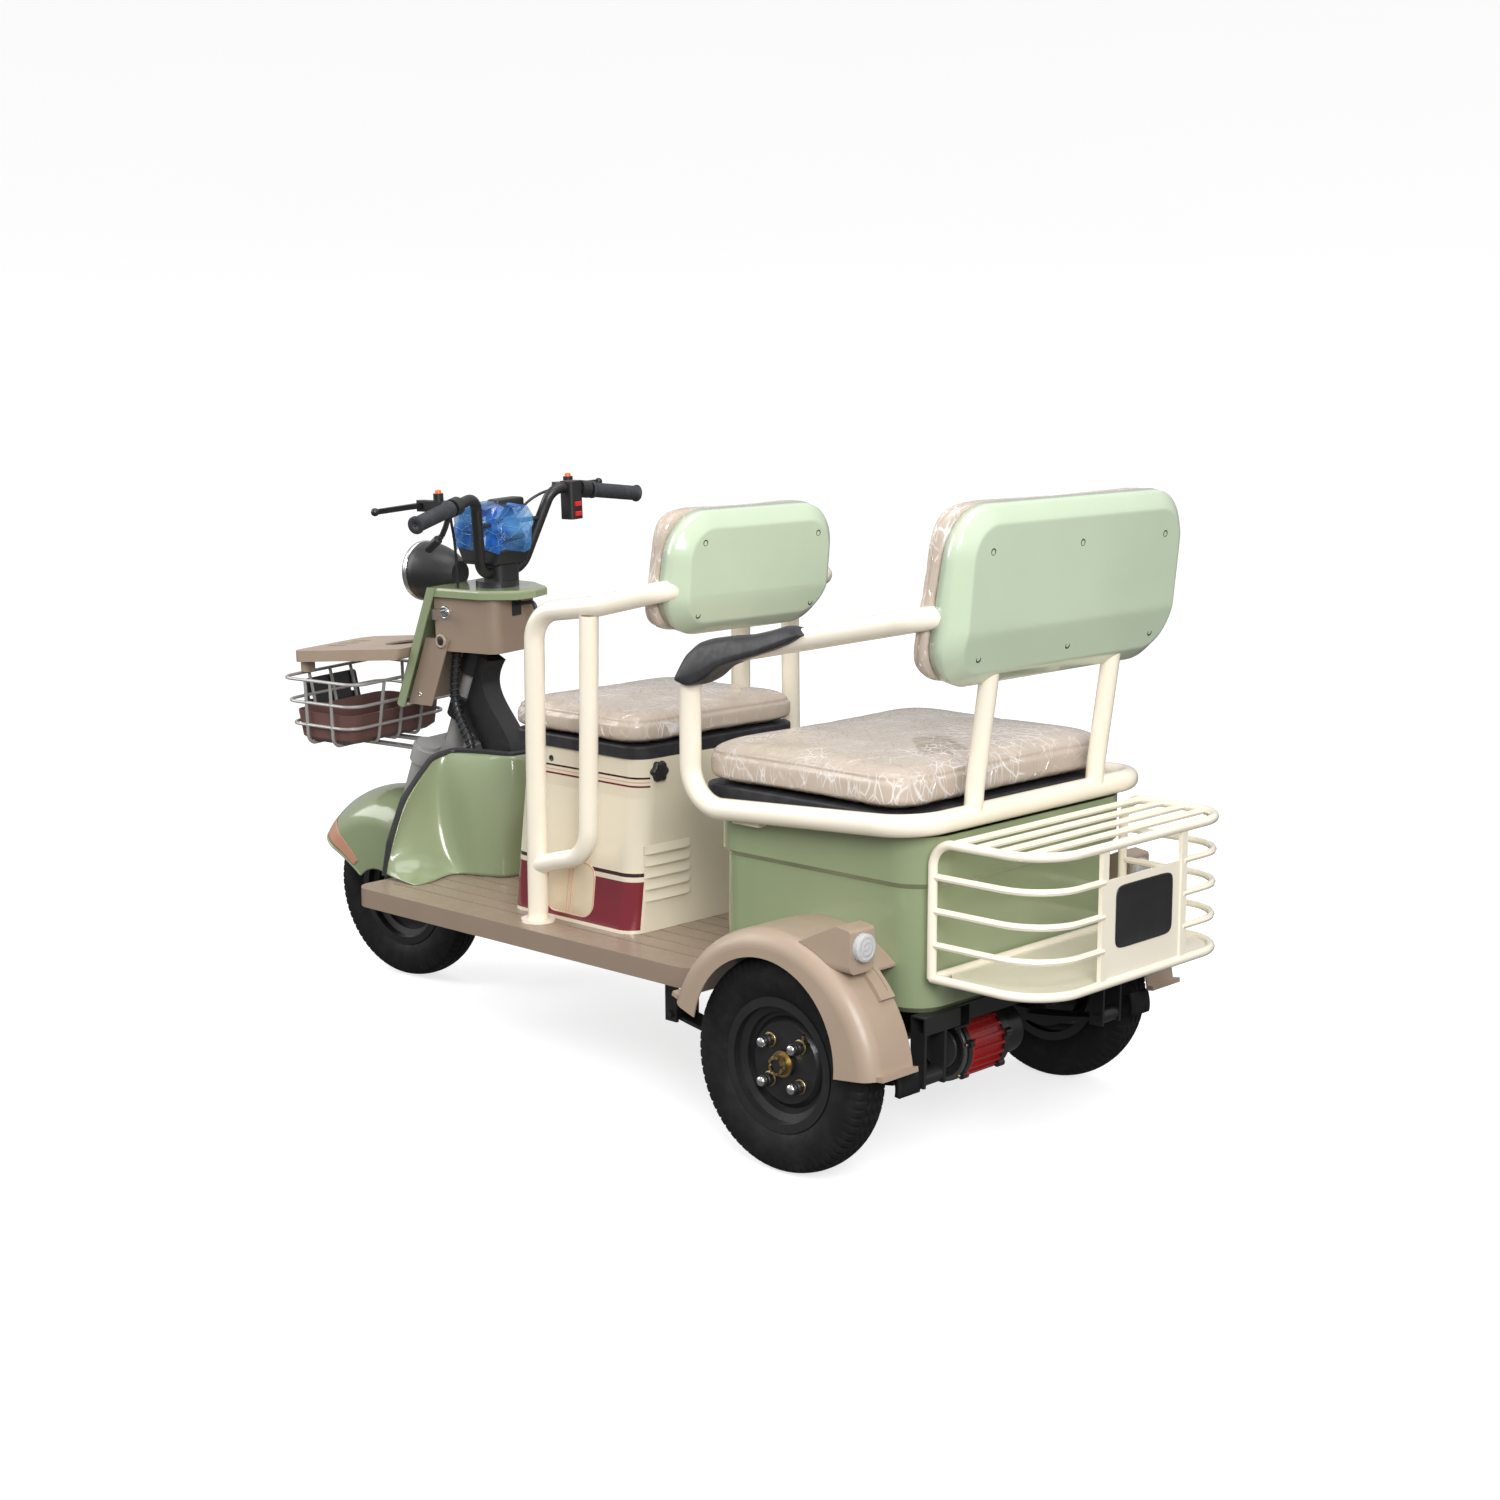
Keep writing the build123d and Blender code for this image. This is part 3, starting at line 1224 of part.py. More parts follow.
# Bench pan, hinged at the front edge of the tub
BENCH_LOW = TUB_TOP + SEAT_GAP
BENCH_Y0 = BENCH_PIN_Y - HINGE_KNUCKLE
BENCH_MID = BENCH_Y0 + BENCH_DEPTH / 2
BENCH_TOP = BENCH_LOW + BENCH_BASE_HEIGHT
with BuildPart() as rear_seat_base:
    with BuildSketch(Plane.XY.offset(BENCH_LOW)):
        with Locations((0, BENCH_MID)):
            RectangleRounded(2 * BENCH_HALF, BENCH_DEPTH, BOX_CORNER)
    extrude(amount=BENCH_BASE_HEIGHT)
    fillet(rear_seat_base.faces().sort_by(Axis.Z)[-1].edges(), 5)
    with BuildSketch(Plane.YZ):
        with Locations((BENCH_PIN_Y, BENCH_PIN_Z)):
            Circle(HINGE_KNUCKLE - PLAY)
        with Locations((BENCH_PIN_Y, (BENCH_PIN_Z + BENCH_LOW) / 2 + 2)):
            Rectangle(HINGE_KNUCKLE, BENCH_LOW - BENCH_PIN_Z + 4)
    extrude(amount=LUG_X - PLAY, both=True)
    with BuildSketch(Plane.YZ):
        with Locations((BENCH_PIN_Y, BENCH_PIN_Z)):
            Circle(HINGE_PIN + RUNNING_FIT)
    extrude(amount=LUG_X, both=True, mode=Mode.SUBTRACT)
keep("rear_seat_base", rear_seat_base.part)
bench_cushion = cushion(BENCH_HALF, BENCH_DEPTH, BENCH_CUSHION, 9.0)
keep("rear_seat_cushion", bench_cushion.moved(Location((0, BENCH_MID, BENCH_TOP + SEAT_GAP))))

# Bench rail: one bent tube with the left armrest, the rear loop and the backrest posts
REAR_BACK = back_plane(R + REAR_BACK_Y, REAR_BACK_Z)
RAIL_BEND = 70.0
RAIL_STEP = 6.0
ARM_SLOPE = (REAR_BACK_Z - ARMREST_FRONT_Z) / (REAR_BACK_Y - RAIL_STEP - RAIL_FRONT_Y)
RIGHT_END = R + RAIL_FRONT_Y + 60
ARM_PIN_Z = REAR_BACK_Z - ARM_SLOPE * (REAR_BACK_Y - RAIL_STEP - ARM_PIN_Y)
RAIL_BACK = R + REAR_BACK_Y - RAIL_STEP
rail_route = [
    (-RAIL_TUBE_X, R + ARM_PIN_Y + 34, ARM_PIN_Z + 34 * ARM_SLOPE),
    (-RAIL_TUBE_X, RAIL_BACK, REAR_BACK_Z),
    (RAIL_TUBE_X, RAIL_BACK, REAR_BACK_Z),
    (RAIL_TUBE_X, R + RAIL_FRONT_Y, ARMREST_FRONT_Z),
    (RAIL_TUBE_X, R + RAIL_FRONT_Y, RAIL_LOW_Z - 16),
    (RAIL_TUBE_X, R + RAIL_REAR_Y, RAIL_LOW_Z + 14),
    (-RAIL_TUBE_X, R + RAIL_REAR_Y, RAIL_LOW_Z + 14),
    (-RAIL_TUBE_X, RIGHT_END, RAIL_LOW_Z - 8),
]
RAIL_BENDS = [40.0] + 5 * [RAIL_BEND]
BRACKET = (60.0, 30.0)
BRACKET_INNER = TUB_HALF + TUB_BAND + SEAT_GAP
BRACKET_WIDTH = RAIL_TUBE_X - BRACKET_INNER - TUBE_RADIUS / 2
post_rail = [
    (POST_X, R + RAIL_REAR_Y, RAIL_LOW_Z + 14),
    (POST_X, R + RAIL_REAR_Y + 4, RAIL_LOW_Z + 60),
    (POST_X, RAIL_BACK - 8, REAR_BACK_Z - 60),
    (POST_X, RAIL_BACK, REAR_BACK_Z),
]
EAR_INNER = TONGUE / 2 + PLAY
rail_frame = tube_frame(
    [
        (rail_route, RAIL_BENDS, TUBE_RADIUS),
        (post_rail, 60.0, TUBE_RADIUS - 3),
        (across(post_rail), 60.0, TUBE_RADIUS - 3),
    ]
)
with BuildPart() as rear_rail:
    add(rail_frame)
    for side in (1, -1):
        with Locations((side * (BRACKET_INNER + BRACKET_WIDTH / 2), RIGHT_END + 60, RAIL_LOW_Z - 20)):
            Box(BRACKET_WIDTH, BRACKET[0], BRACKET[1])
    for side in (1, -1):
        with BuildSketch(Plane.YZ.offset(-RAIL_TUBE_X + side * EAR_INNER)):
            with BuildLine():
                Polyline(
                    (R + ARM_PIN_Y + 48, ARM_PIN_Z + 48 * ARM_SLOPE - 14),
                    (R + ARM_PIN_Y + 48, ARM_PIN_Z + 48 * ARM_SLOPE + 14),
                    (R + ARM_PIN_Y - 12, ARM_PIN_Z + 13),
                    (R + ARM_PIN_Y - 12, ARM_PIN_Z - 13),
                    close=True,
                )
            make_face()
        extrude(amount=side * EAR)
    with BuildSketch(Plane.YZ.offset(-RAIL_TUBE_X)):
        with Locations((R + ARM_PIN_Y, ARM_PIN_Z)):
            Circle(ARM_PIN)
    extrude(amount=EAR_INNER + EAR + 3, both=True)
keep("rear_rail", rear_rail.part)

# Right armrest: lifts about a pin through the two ears
ARM_FRONT = (-RAIL_TUBE_X, R + RAIL_FRONT_Y + 10, ARMREST_FRONT_Z + 10 * ARM_SLOPE)
ARM_ROOT = (-RAIL_TUBE_X, R + ARM_PIN_Y - 40, ARM_PIN_Z - 40 * ARM_SLOPE)
arm_tube = rod(ARM_ROOT, ARM_FRONT, TUBE_RADIUS, TUBE_WALL)
ARM_PLUG = (-RAIL_TUBE_X, ARM_ROOT[1] - 24, ARM_ROOT[2] - 24 * ARM_SLOPE)
arm_plug = rod(ARM_ROOT, ARM_PLUG, TUBE_RADIUS - TUBE_WALL / 2)
with BuildPart() as armrest_right:
    add(arm_tube)
    add(arm_plug)
    with BuildSketch(Plane.YZ.offset(-RAIL_TUBE_X)):
        with BuildLine():
            Polyline(
                (R + ARM_PIN_Y - 44, ARM_PIN_Z - 44 * ARM_SLOPE - 13),
                (R + ARM_PIN_Y - 44, ARM_PIN_Z - 44 * ARM_SLOPE + 13),
                (R + ARM_PIN_Y, ARM_PIN_Z + 12),
                (R + ARM_PIN_Y, ARM_PIN_Z - 12),
                close=True,
            )
        make_face()
        with Locations((R + ARM_PIN_Y, ARM_PIN_Z)):
            Circle(12)
        with Locations((R + ARM_PIN_Y, ARM_PIN_Z)):
            Circle(ARM_PIN + RUNNING_FIT, mode=Mode.SUBTRACT)
    extrude(amount=TONGUE / 2, both=True)
keep("armrest_right", armrest_right.part)

# Armrest pads: crowned blocks saddled on the tubes
ARM_ANGLE = Vector(0, 1, ARM_SLOPE).get_angle(Vector(0, 1, 0))
PAD_SADDLE = TUBE_RADIUS + SEAT_GAP
pad_block = cushion(ARM_PAD_HALF, PAD_LENGTH, ARM_PAD_HEIGHT + TUBE_RADIUS, 6.0)
with BuildPart() as arm_pad:
    add(pad_block)
    with BuildSketch(Plane.XZ):
        Circle(PAD_SADDLE)
    extrude(amount=PAD_LENGTH, both=True, mode=Mode.SUBTRACT)
PAD_Y = R + RAIL_FRONT_Y + PAD_LENGTH / 2 + 14
PAD_Z = ARMREST_FRONT_Z + ARM_SLOPE * (PAD_LENGTH / 2 + 14)
keep("armrest_pad_left", arm_pad.part.moved(Location((RAIL_TUBE_X, PAD_Y, PAD_Z), (ARM_ANGLE, 0, 0))))
keep("armrest_pad_right", arm_pad.part.moved(Location((-RAIL_TUBE_X, PAD_Y, PAD_Z), (ARM_ANGLE, 0, 0))))

# Bench backrest on the cross tube and the two posts
rear_studs = [(x, y) for x in (-243, 0, 243) for y in (-86, 82)]
rail_room = tube(rail_route, RAIL_BENDS, TUBE_RADIUS + PLAY)
post_room = tube(post_rail, 60.0, TUBE_RADIUS - 3 + PLAY)
rear_tunnel = weld(rail_room, post_room, flipped(post_room))
keep(
    "rear_backrest_shell",
    back_shell(REAR_BACK, REAR_BACK_HALF, REAR_BACK_TALL, REAR_BACK_LIFT, rear_studs, rear_tunnel),
)
rear_pad = back_pad(REAR_BACK, REAR_BACK_HALF, REAR_BACK_TALL, REAR_BACK_LIFT, rear_tunnel)
keep("rear_backrest_cushion", rear_pad)

# Rear mudguards: a flanged arch over each wheel with a lamp pod
GUARD_INNER = TUB_HALF + SEAT_GAP
GUARD_SKIRT = ARCH_RADIUS - ARCH_ABOVE
GUARD_SWEEP = 180.0 - GUARD_FRONT - GUARD_BACK
GUARD_AXIS = Axis((0, R, AXLE_Z), (1, 0, 0))


def radial_plane(y, angle, forward):
    """Plane through a wheel's X axis: x across, y outward at an angle above level."""
    way = -1 if forward else 1
    out = (0, way * cos(radians(angle)), sin(radians(angle)))
    return Plane((0, y, AXLE_Z), x_dir=(1, 0, 0), z_dir=(0, -out[2], out[1]))


BEND_IN = GUARD_EDGE - GUARD_STEEL
with BuildPart() as rear_guard:
    with BuildSketch(radial_plane(R, GUARD_BACK, False)):
        with BuildLine():
            Line((GUARD_INNER, GUARD_RADIUS), (GUARD_OUTER - GUARD_EDGE, GUARD_RADIUS))
            RadiusArc(
                (GUARD_OUTER - GUARD_EDGE, GUARD_RADIUS), (GUARD_OUTER, GUARD_RADIUS - GUARD_EDGE), GUARD_EDGE
            )
            Line((GUARD_OUTER, GUARD_RADIUS - GUARD_EDGE), (GUARD_OUTER, GUARD_SKIRT))
            Line((GUARD_OUTER, GUARD_SKIRT), (GUARD_OUTER - GUARD_STEEL, GUARD_SKIRT))
            Line(
                (GUARD_OUTER - GUARD_STEEL, GUARD_SKIRT),
                (GUARD_OUTER - GUARD_STEEL, GUARD_RADIUS - GUARD_EDGE),
            )
            RadiusArc(
                (GUARD_OUTER - GUARD_STEEL, GUARD_RADIUS - GUARD_EDGE),
                (GUARD_OUTER - GUARD_EDGE, GUARD_RADIUS - GUARD_STEEL),
                -BEND_IN,
            )
            Line(
                (GUARD_OUTER - GUARD_EDGE, GUARD_RADIUS - GUARD_STEEL),
                (GUARD_INNER, GUARD_RADIUS - GUARD_STEEL),
            )
            Line((GUARD_INNER, GUARD_RADIUS - GUARD_STEEL), (GUARD_INNER, GUARD_RADIUS))
        make_face()
    revolve(axis=GUARD_AXIS, revolution_arc=GUARD_SWEEP)
    with BuildSketch(Plane.YZ.offset(GUARD_OUTER - GUARD_EDGE)):
        with Locations((R - ARCH_AHEAD, AXLE_Z + ARCH_ABOVE)):
            Circle(ARCH_RADIUS)
    extrude(amount=2 * GUARD_EDGE, mode=Mode.SUBTRACT)

BOSS_X = TAIL_INNER + BOSS_HALF + GUARD_STEEL


def guard_band(x0, x1, low, high, angle, sweep, forward=False):
    """Block that follows the guard's curve, between two radii, from an angle above level."""
    with BuildPart() as band:
        with BuildSketch(radial_plane(R, angle, forward)):
            with Locations(((x0 + x1) / 2, (low + high) / 2)):
                Rectangle(x1 - x0, high - low)
        revolve(axis=GUARD_AXIS, revolution_arc=-sweep if forward else sweep)
    return band.part


LIP_TOP = GUARD_RADIUS + GUARD_LIP
LIP_OUT = GUARD_OUTER - GUARD_EDGE / 2
rear_lip = guard_band(TAIL_INNER, LIP_OUT, GUARD_RADIUS - GUARD_STEEL, LIP_TOP, GUARD_BACK, LIP_SWEEP)
front_lip = guard_band(
    LAMP_X - POD_RADIUS, LIP_OUT, GUARD_RADIUS - GUARD_STEEL, LIP_TOP, GUARD_FRONT, LIP_SWEEP, True
)
boss = guard_band(
    BOSS_X - BOSS_HALF,
    BOSS_X + BOSS_HALF,
    GUARD_RADIUS - GUARD_STEEL / 2,
    GUARD_RADIUS + BOSS_HEIGHT,
    BOSS_LOW,
    BOSS_SWEEP,
)
boss_slot = guard_band(
    BOSS_X - BOSS_HALF / 2,
    BOSS_X + BOSS_HALF / 2,
    GUARD_RADIUS + BOSS_HEIGHT - 2,
    GUARD_RADIUS + 2 * BOSS_HEIGHT,
    BOSS_LOW + 3,
    BOSS_SWEEP - 6,
)
with BuildPart() as lamp_pod:
    with BuildSketch(Plane.YZ.offset(LAMP_X)):
        with BuildLine():
            Polyline(
                (R + LAMP_BEHIND, LAMP_Z + POD_RADIUS),
                (R + LAMP_BEHIND, LAMP_Z - POD_RADIUS - 12),
                (R + LAMP_BEHIND - POD_LENGTH, LAMP_Z - POD_RADIUS - 12),
                (R + LAMP_BEHIND - POD_LENGTH, LAMP_Z - 8),
                (R + LAMP_BEHIND - 30, LAMP_Z + POD_RADIUS + 4),
                close=True,
            )
        make_face()
    extrude(amount=POD_RADIUS, both=True)
    fillet(lamp_pod.edges().filter_by(Axis.Y).group_by(Axis.Z)[-1], 14)
    fillet(lamp_pod.faces().sort_by(Axis.Y)[-1].edges().group_by(Axis.Z)[-1], 6)
    with BuildSketch(Plane.YZ.offset(GUARD_INNER)):
        with Locations((R, AXLE_Z)):
            Circle(GUARD_RADIUS - GUARD_STEEL / 2)
    extrude(amount=GUARD_OUTER - GUARD_INNER, mode=Mode.SUBTRACT)
with BuildPart() as guard_body:
    add(rear_guard.part)
    with BuildSketch(Plane.XY):
        with Locations(((GUARD_INNER + TAIL_INNER) / 2 - GUARD_STEEL, R + TAIL_BEHIND + GUARD_RADIUS / 2)):
            Rectangle(TAIL_INNER - GUARD_INNER + 2 * GUARD_STEEL, GUARD_RADIUS)
    extrude(amount=AXLE_Z + GUARD_RADIUS, mode=Mode.SUBTRACT)
    add(rear_lip)
    add(front_lip)
    add(boss)
    add(boss_slot, mode=Mode.SUBTRACT)
guard_left = weld(guard_body.part, lamp_pod.part)
keep("rear_fenders", Compound([guard_left.solid(), flipped(guard_left).solid()]))

with BuildPart() as tail_lamp:
    with BuildSketch(Plane.XZ.offset(-R - LAMP_BEHIND - LENS_DEPTH)):
        with Locations((LAMP_X, LAMP_Z)):
            Circle(LAMP_RADIUS)
    extrude(amount=LENS_DEPTH)
    fillet(tail_lamp.faces().sort_by(Axis.Y)[-1].edges(), LENS_DEPTH / 2)
keep("tail_lamp_lenses", Compound([tail_lamp.part.solid(), flipped(tail_lamp.part).solid()]))

# Goods basket: bent bars round a sheet floor, with a rack above and a number-plate panel
GOODS_Y0 = R + TUB_REAR + GOODS_RADIUS + SEAT_GAP
GOODS_Y1 = R + REAR_REACH - GOODS_RADIUS
GOODS_STEP = (GOODS_HIGH - GOODS_LOW) / (GOODS_BARS + 1)


def goods_loop(height):
    """Corner points of a bar round the basket at a height."""
    return [
        (GOODS_HALF, GOODS_Y0, height),
        (GOODS_HALF, GOODS_Y1, height),
        (-GOODS_HALF, GOODS_Y1, height),
        (-GOODS_HALF, GOODS_Y0, height),
    ]


frame_route = [
    (GOODS_HALF, GOODS_Y0, GOODS_LOW),
    *goods_loop(GOODS_HIGH),
    (-GOODS_HALF, GOODS_Y0, GOODS_LOW),
]
goods_bars = [
    tube(frame_route, [40.0, GOODS_BEND, GOODS_BEND, 40.0], GOODS_RADIUS),
    tube(goods_loop(GOODS_LOW), GOODS_BEND, GOODS_RADIUS),
    rod((-GOODS_HALF, GOODS_Y0, GOODS_LOW), (GOODS_HALF, GOODS_Y0, GOODS_LOW), GOODS_RADIUS),
]
for index in range(GOODS_BARS):
    level = GOODS_LOW + (index + 1) * GOODS_STEP
    corner = goods_loop(level)
    route = [corner[0], corner[1], (PLATE_FRAME_HALF, GOODS_Y1, level)]
    bar = tube(route, GOODS_BEND, GOODS_RADIUS - 2, sides=8)
    goods_bars.append(bar)
    goods_bars.append(flipped(bar))
RACK_STEP = (GOODS_Y1 - GOODS_Y0) / (RACK_BARS + 1)
for index in range(RACK_BARS):
    place = GOODS_Y0 + (index + 0.8) * RACK_STEP
    goods_bars.append(
        rod((-GOODS_HALF, place, GOODS_HIGH), (GOODS_HALF, place, GOODS_HIGH), GOODS_RADIUS - 2, sides=8)
    )
PANEL_TALL = 170.0
SLOT_Z = GOODS_LOW + PANEL_TALL - 18.0
with BuildPart() as rear_basket:
    for bar in goods_bars:
        add(bar)
    with BuildSketch(Plane.XY.offset(GOODS_LOW - PLATE_SHEET / 2)):
        with Locations((0, (GOODS_Y0 + GOODS_Y1) / 2)):
            RectangleRounded(2 * GOODS_HALF, GOODS_Y1 - GOODS_Y0, GOODS_BEND - GOODS_RADIUS)
    extrude(amount=PLATE_SHEET)
    for side in (1, -1):
        with Locations((side * PLATE_FRAME_HALF, GOODS_Y1, (GOODS_LOW + GOODS_HIGH) / 2)):
            Box(2 * GOODS_RADIUS, GOODS_RADIUS, GOODS_HIGH - GOODS_LOW)
    with BuildSketch(Plane.XZ.offset(-GOODS_Y1)):
        with Locations((0, GOODS_LOW + PANEL_TALL / 2)):
            Rectangle(2 * PLATE_FRAME_HALF, PANEL_TALL)
        with Locations((-PLATE_SLOT_SPACING / 2, SLOT_Z), (PLATE_SLOT_SPACING / 2, SLOT_Z)):
            SlotOverall(PLATE_SLOT_LENGTH, 2 * PLATE_SLOT_RADIUS, mode=Mode.SUBTRACT)
        with Locations((0, SLOT_Z - 4)):
            SlotOverall(34, 18, mode=Mode.SUBTRACT)
    extrude(amount=PLATE_SHEET / 2, both=True)
keep("rear_basket", rear_basket.part)

# Fork: crown, steerer and upper tubes


def crown_block(grow):
    """Forged crown that joins the steerer and the two legs, grown all round."""
    with BuildPart() as block:
        with BuildSketch(FORK.offset(CROWN_LOW - grow)):
            for place in ((LEG_X, 0), (-LEG_X, 0), (0, STEER_OFFSET)):
                with BuildLine():
                    CenterArc(place, LEG_RADIUS + CROWN_RIM + grow, 0, 360)
            make_hull()
        extrude(amount=CROWN_HEIGHT + 2 * grow)
    return block.part


crown = crown_block(0.0)
with BuildPart() as front_fork:
    add(crown)
    with BuildSketch(FORK.offset(LEG_BOTTOM)):
        with Locations((LEG_X, 0), (-LEG_X, 0)):
            Circle(LEG_RADIUS)
    extrude(amount=LEG_TOP + CAP_HEIGHT - LEG_BOTTOM)
    with BuildSketch(FORK.offset(LEG_BOTTOM)):
        with Locations((LEG_X, 0), (-LEG_X, 0)):
            Circle(SLIDER_RADIUS + RUNNING_FIT)
    extrude(amount=LEG_TOP - LEG_BOTTOM, mode=Mode.SUBTRACT)
    with BuildSketch(FORK.offset(CROWN_LOW + CROWN_HEIGHT / 2)):
        with Locations((0, STEER_OFFSET)):
            Circle(STEERER_RADIUS)
    extrude(amount=STEERER_TOP - CROWN_LOW - CROWN_HEIGHT / 2)
keep("front_fork", front_fork.part, True)

# Sliders with their axle clamps and the front axle
CLAMP = (30.0, 38.0, 46.0)
FRONT_CENTRE = (0, F, AXLE_Z)
AXLE_HALF = LEG_X + CLAMP[0] / 2 + 9.0
with BuildPart() as fork_sliders:
    with BuildSketch(FORK):
        with Locations((LEG_X, 0), (-LEG_X, 0)):
            Circle(SLIDER_RADIUS)
    extrude(amount=SLIDER_TOP)
    with BuildSketch(FORK.offset(-CLAMP[2] / 2)):
        with Locations((LEG_X, 0), (-LEG_X, 0)):
            RectangleRounded(CLAMP[0], CLAMP[1], 8)
    extrude(amount=CLAMP[2])
    with BuildSketch(Plane.YZ):
        with Locations((F, AXLE_Z)):
            Circle(FRONT_SHAFT_RADIUS)
    extrude(amount=AXLE_HALF, both=True)
    for side in (1, -1):
        with BuildSketch(Plane.YZ.offset(side * (LEG_X + CLAMP[0] / 2))):
            with Locations((F, AXLE_Z)):
                RegularPolygon(FRONT_SHAFT_RADIUS + 5, 6)
        extrude(amount=side * 7)
keep("fork_sliders", fork_sliders.part, True)

with BuildPart() as front_wheel:
    with BuildSketch(Plane(FRONT_CENTRE, x_dir=(1, 0, 0), z_dir=(0, -1, 0))):
        with BuildLine():
            Polyline(*rim_outline(), close=True)
        make_face()
        with Locations((0, (WELL_INSIDE + HUB_RADIUS) / 2)):
            Rectangle(DISC_STEEL, WELL_INSIDE - HUB_RADIUS + RIM_STEEL)
        with Locations((0, (HUB_RADIUS + FRONT_SHAFT_RADIUS + RUNNING_FIT) / 2)):
            Rectangle(2 * HUB_HALF, HUB_RADIUS - FRONT_SHAFT_RADIUS - RUNNING_FIT)
    revolve(axis=Axis(FRONT_CENTRE, (1, 0, 0)))
keep("front_wheel", front_wheel.part, True)
keep("front_tyre", make_tyre(FRONT_CENTRE), True)

# Front mudguard on the upper tubes
SHOULDER = 26.0
TAB_RADIUS = FRONT_GUARD_RADIUS - SHOULDER
TAB_INNER = TAB_RADIUS - 1.5 * GUARD_STEEL
TAB_SWEEP = 90.0 + RAKE - degrees(asin((LEG_RADIUS + SEAT_GAP) / TAB_INNER)) - FRONT_GUARD_TAIL
GUARD_FRONT_AXIS = Axis(FRONT_CENTRE, (-1, 0, 0))
edge_in = FRONT_GUARD_HALF - GUARD_STEEL
crown_out = FRONT_GUARD_RADIUS
shoulder_out = FRONT_GUARD_RADIUS - SHOULDER
skirt_end = FRONT_GUARD_RADIUS - FRONT_GUARD_SKIRT
with BuildPart() as front_fender:
    with BuildSketch(radial_plane(F, FRONT_GUARD_NOSE, True)):
        with BuildLine():
            ThreePointArc((-FRONT_GUARD_HALF, shoulder_out), (0, crown_out), (FRONT_GUARD_HALF, shoulder_out))
            Line((FRONT_GUARD_HALF, shoulder_out), (FRONT_GUARD_HALF, skirt_end))
            Line((FRONT_GUARD_HALF, skirt_end), (edge_in, skirt_end))
            Line((edge_in, skirt_end), (edge_in, shoulder_out - GUARD_STEEL))
            ThreePointArc(
                (edge_in, shoulder_out - GUARD_STEEL),
                (0, crown_out - GUARD_STEEL),
                (-edge_in, shoulder_out - GUARD_STEEL),
            )
            Line((-edge_in, shoulder_out - GUARD_STEEL), (-edge_in, skirt_end))
            Line((-edge_in, skirt_end), (-FRONT_GUARD_HALF, skirt_end))
            Line((-FRONT_GUARD_HALF, skirt_end), (-FRONT_GUARD_HALF, shoulder_out))
        make_face()
    revolve(axis=GUARD_FRONT_AXIS, revolution_arc=FRONT_GUARD_TAIL - FRONT_GUARD_NOSE)
    with BuildSketch(radial_plane(F, FRONT_GUARD_TAIL, True)):
        with Locations((LEG_X, TAB_RADIUS), (-LEG_X, TAB_RADIUS)):
            Rectangle(LEG_RADIUS, 3 * GUARD_STEEL)
    revolve(axis=GUARD_FRONT_AXIS, revolution_arc=TAB_SWEEP)
keep("front_fender", front_fender.part, True)

# Dash box: open below and in front, with an apron down both sides of the column
PANEL_BACK = PANEL_AHEAD - PANEL_DEPTH
APRON_DEPTH = 66.0
APRON_HALF = DASH_HALF_FRONT
APRON_TOP = DASH_LOW + 24.0


def column_band(low, high, ahead, depth, half):
    """Block parallel to the steering column, ahead of it, between two heights."""
    with BuildPart() as band:
        with BuildSketch(Plane.YZ):
            with BuildLine():
                Polyline(
                    (axis_y(low) - ahead, low),
                    (axis_y(high) - ahead, high),
                    (axis_y(high) - ahead + depth, high),
                    (axis_y(low) - ahead + depth, low),
                    close=True,
                )
            make_face()
        extrude(amount=half, both=True)
    return band.part


steerer_room = rod(
    (0, axis_y(PANEL_LOW), PANEL_LOW),
    (0, axis_y(LAMP_AXIS_Z + 40), LAMP_AXIS_Z + 40),
    STEERER_RADIUS + SEAT_GAP,
)
apron_outer = column_band(PANEL_LOW + 6, APRON_TOP, PANEL_BACK - SEAT_GAP, APRON_DEPTH, APRON_HALF)
apron_inner = column_band(
    PANEL_LOW,
    APRON_TOP + DASH_WALL,
    PANEL_BACK - SEAT_GAP - DASH_WALL,
    2 * APRON_DEPTH,
    APRON_HALF - DASH_WALL,
)
with BuildPart() as dash_shell:
    with BuildSketch(Plane.XY.offset(DASH_LOW)):
        with BuildLine():
            Polyline(
                (-DASH_HALF_FRONT, F + DASH_FRONT),
                (DASH_HALF_FRONT, F + DASH_FRONT),
                (DASH_HALF_REAR, F + DASH_REAR),
                (-DASH_HALF_REAR, F + DASH_REAR),
                close=True,
            )
        make_face()
    extrude(amount=DASH_HIGH - DASH_LOW)
    fillet(dash_shell.edges().filter_by(Axis.Z).group_by(Axis.Y)[-1], 24)
    offset(
        amount=-DASH_WALL,
        openings=[dash_shell.faces().sort_by(Axis.Z)[0], dash_shell.faces().sort_by(Axis.Y)[0]],
    )
DASH_TAPER = (DASH_HALF_FRONT - DASH_HALF_REAR) / (DASH_REAR - DASH_FRONT)
LOCK_FACE = DASH_HALF_FRONT - DASH_TAPER * (LOCK_Y - DASH_FRONT)
with BuildPart() as dash_box:
    add(apron_outer)
    add(apron_inner, mode=Mode.SUBTRACT)
    add(dash_shell.part)
    add(steerer_room, mode=Mode.SUBTRACT)
    with BuildSketch(Plane.YZ.offset(LOCK_FACE - 4 * DASH_WALL)):
        with Locations((F + LOCK_Y, LOCK_Z)):
            Circle(LOCK_RADIUS + RUNNING_FIT)
    extrude(amount=8 * DASH_WALL, mode=Mode.SUBTRACT)
keep("dash_box", dash_box.part, True)

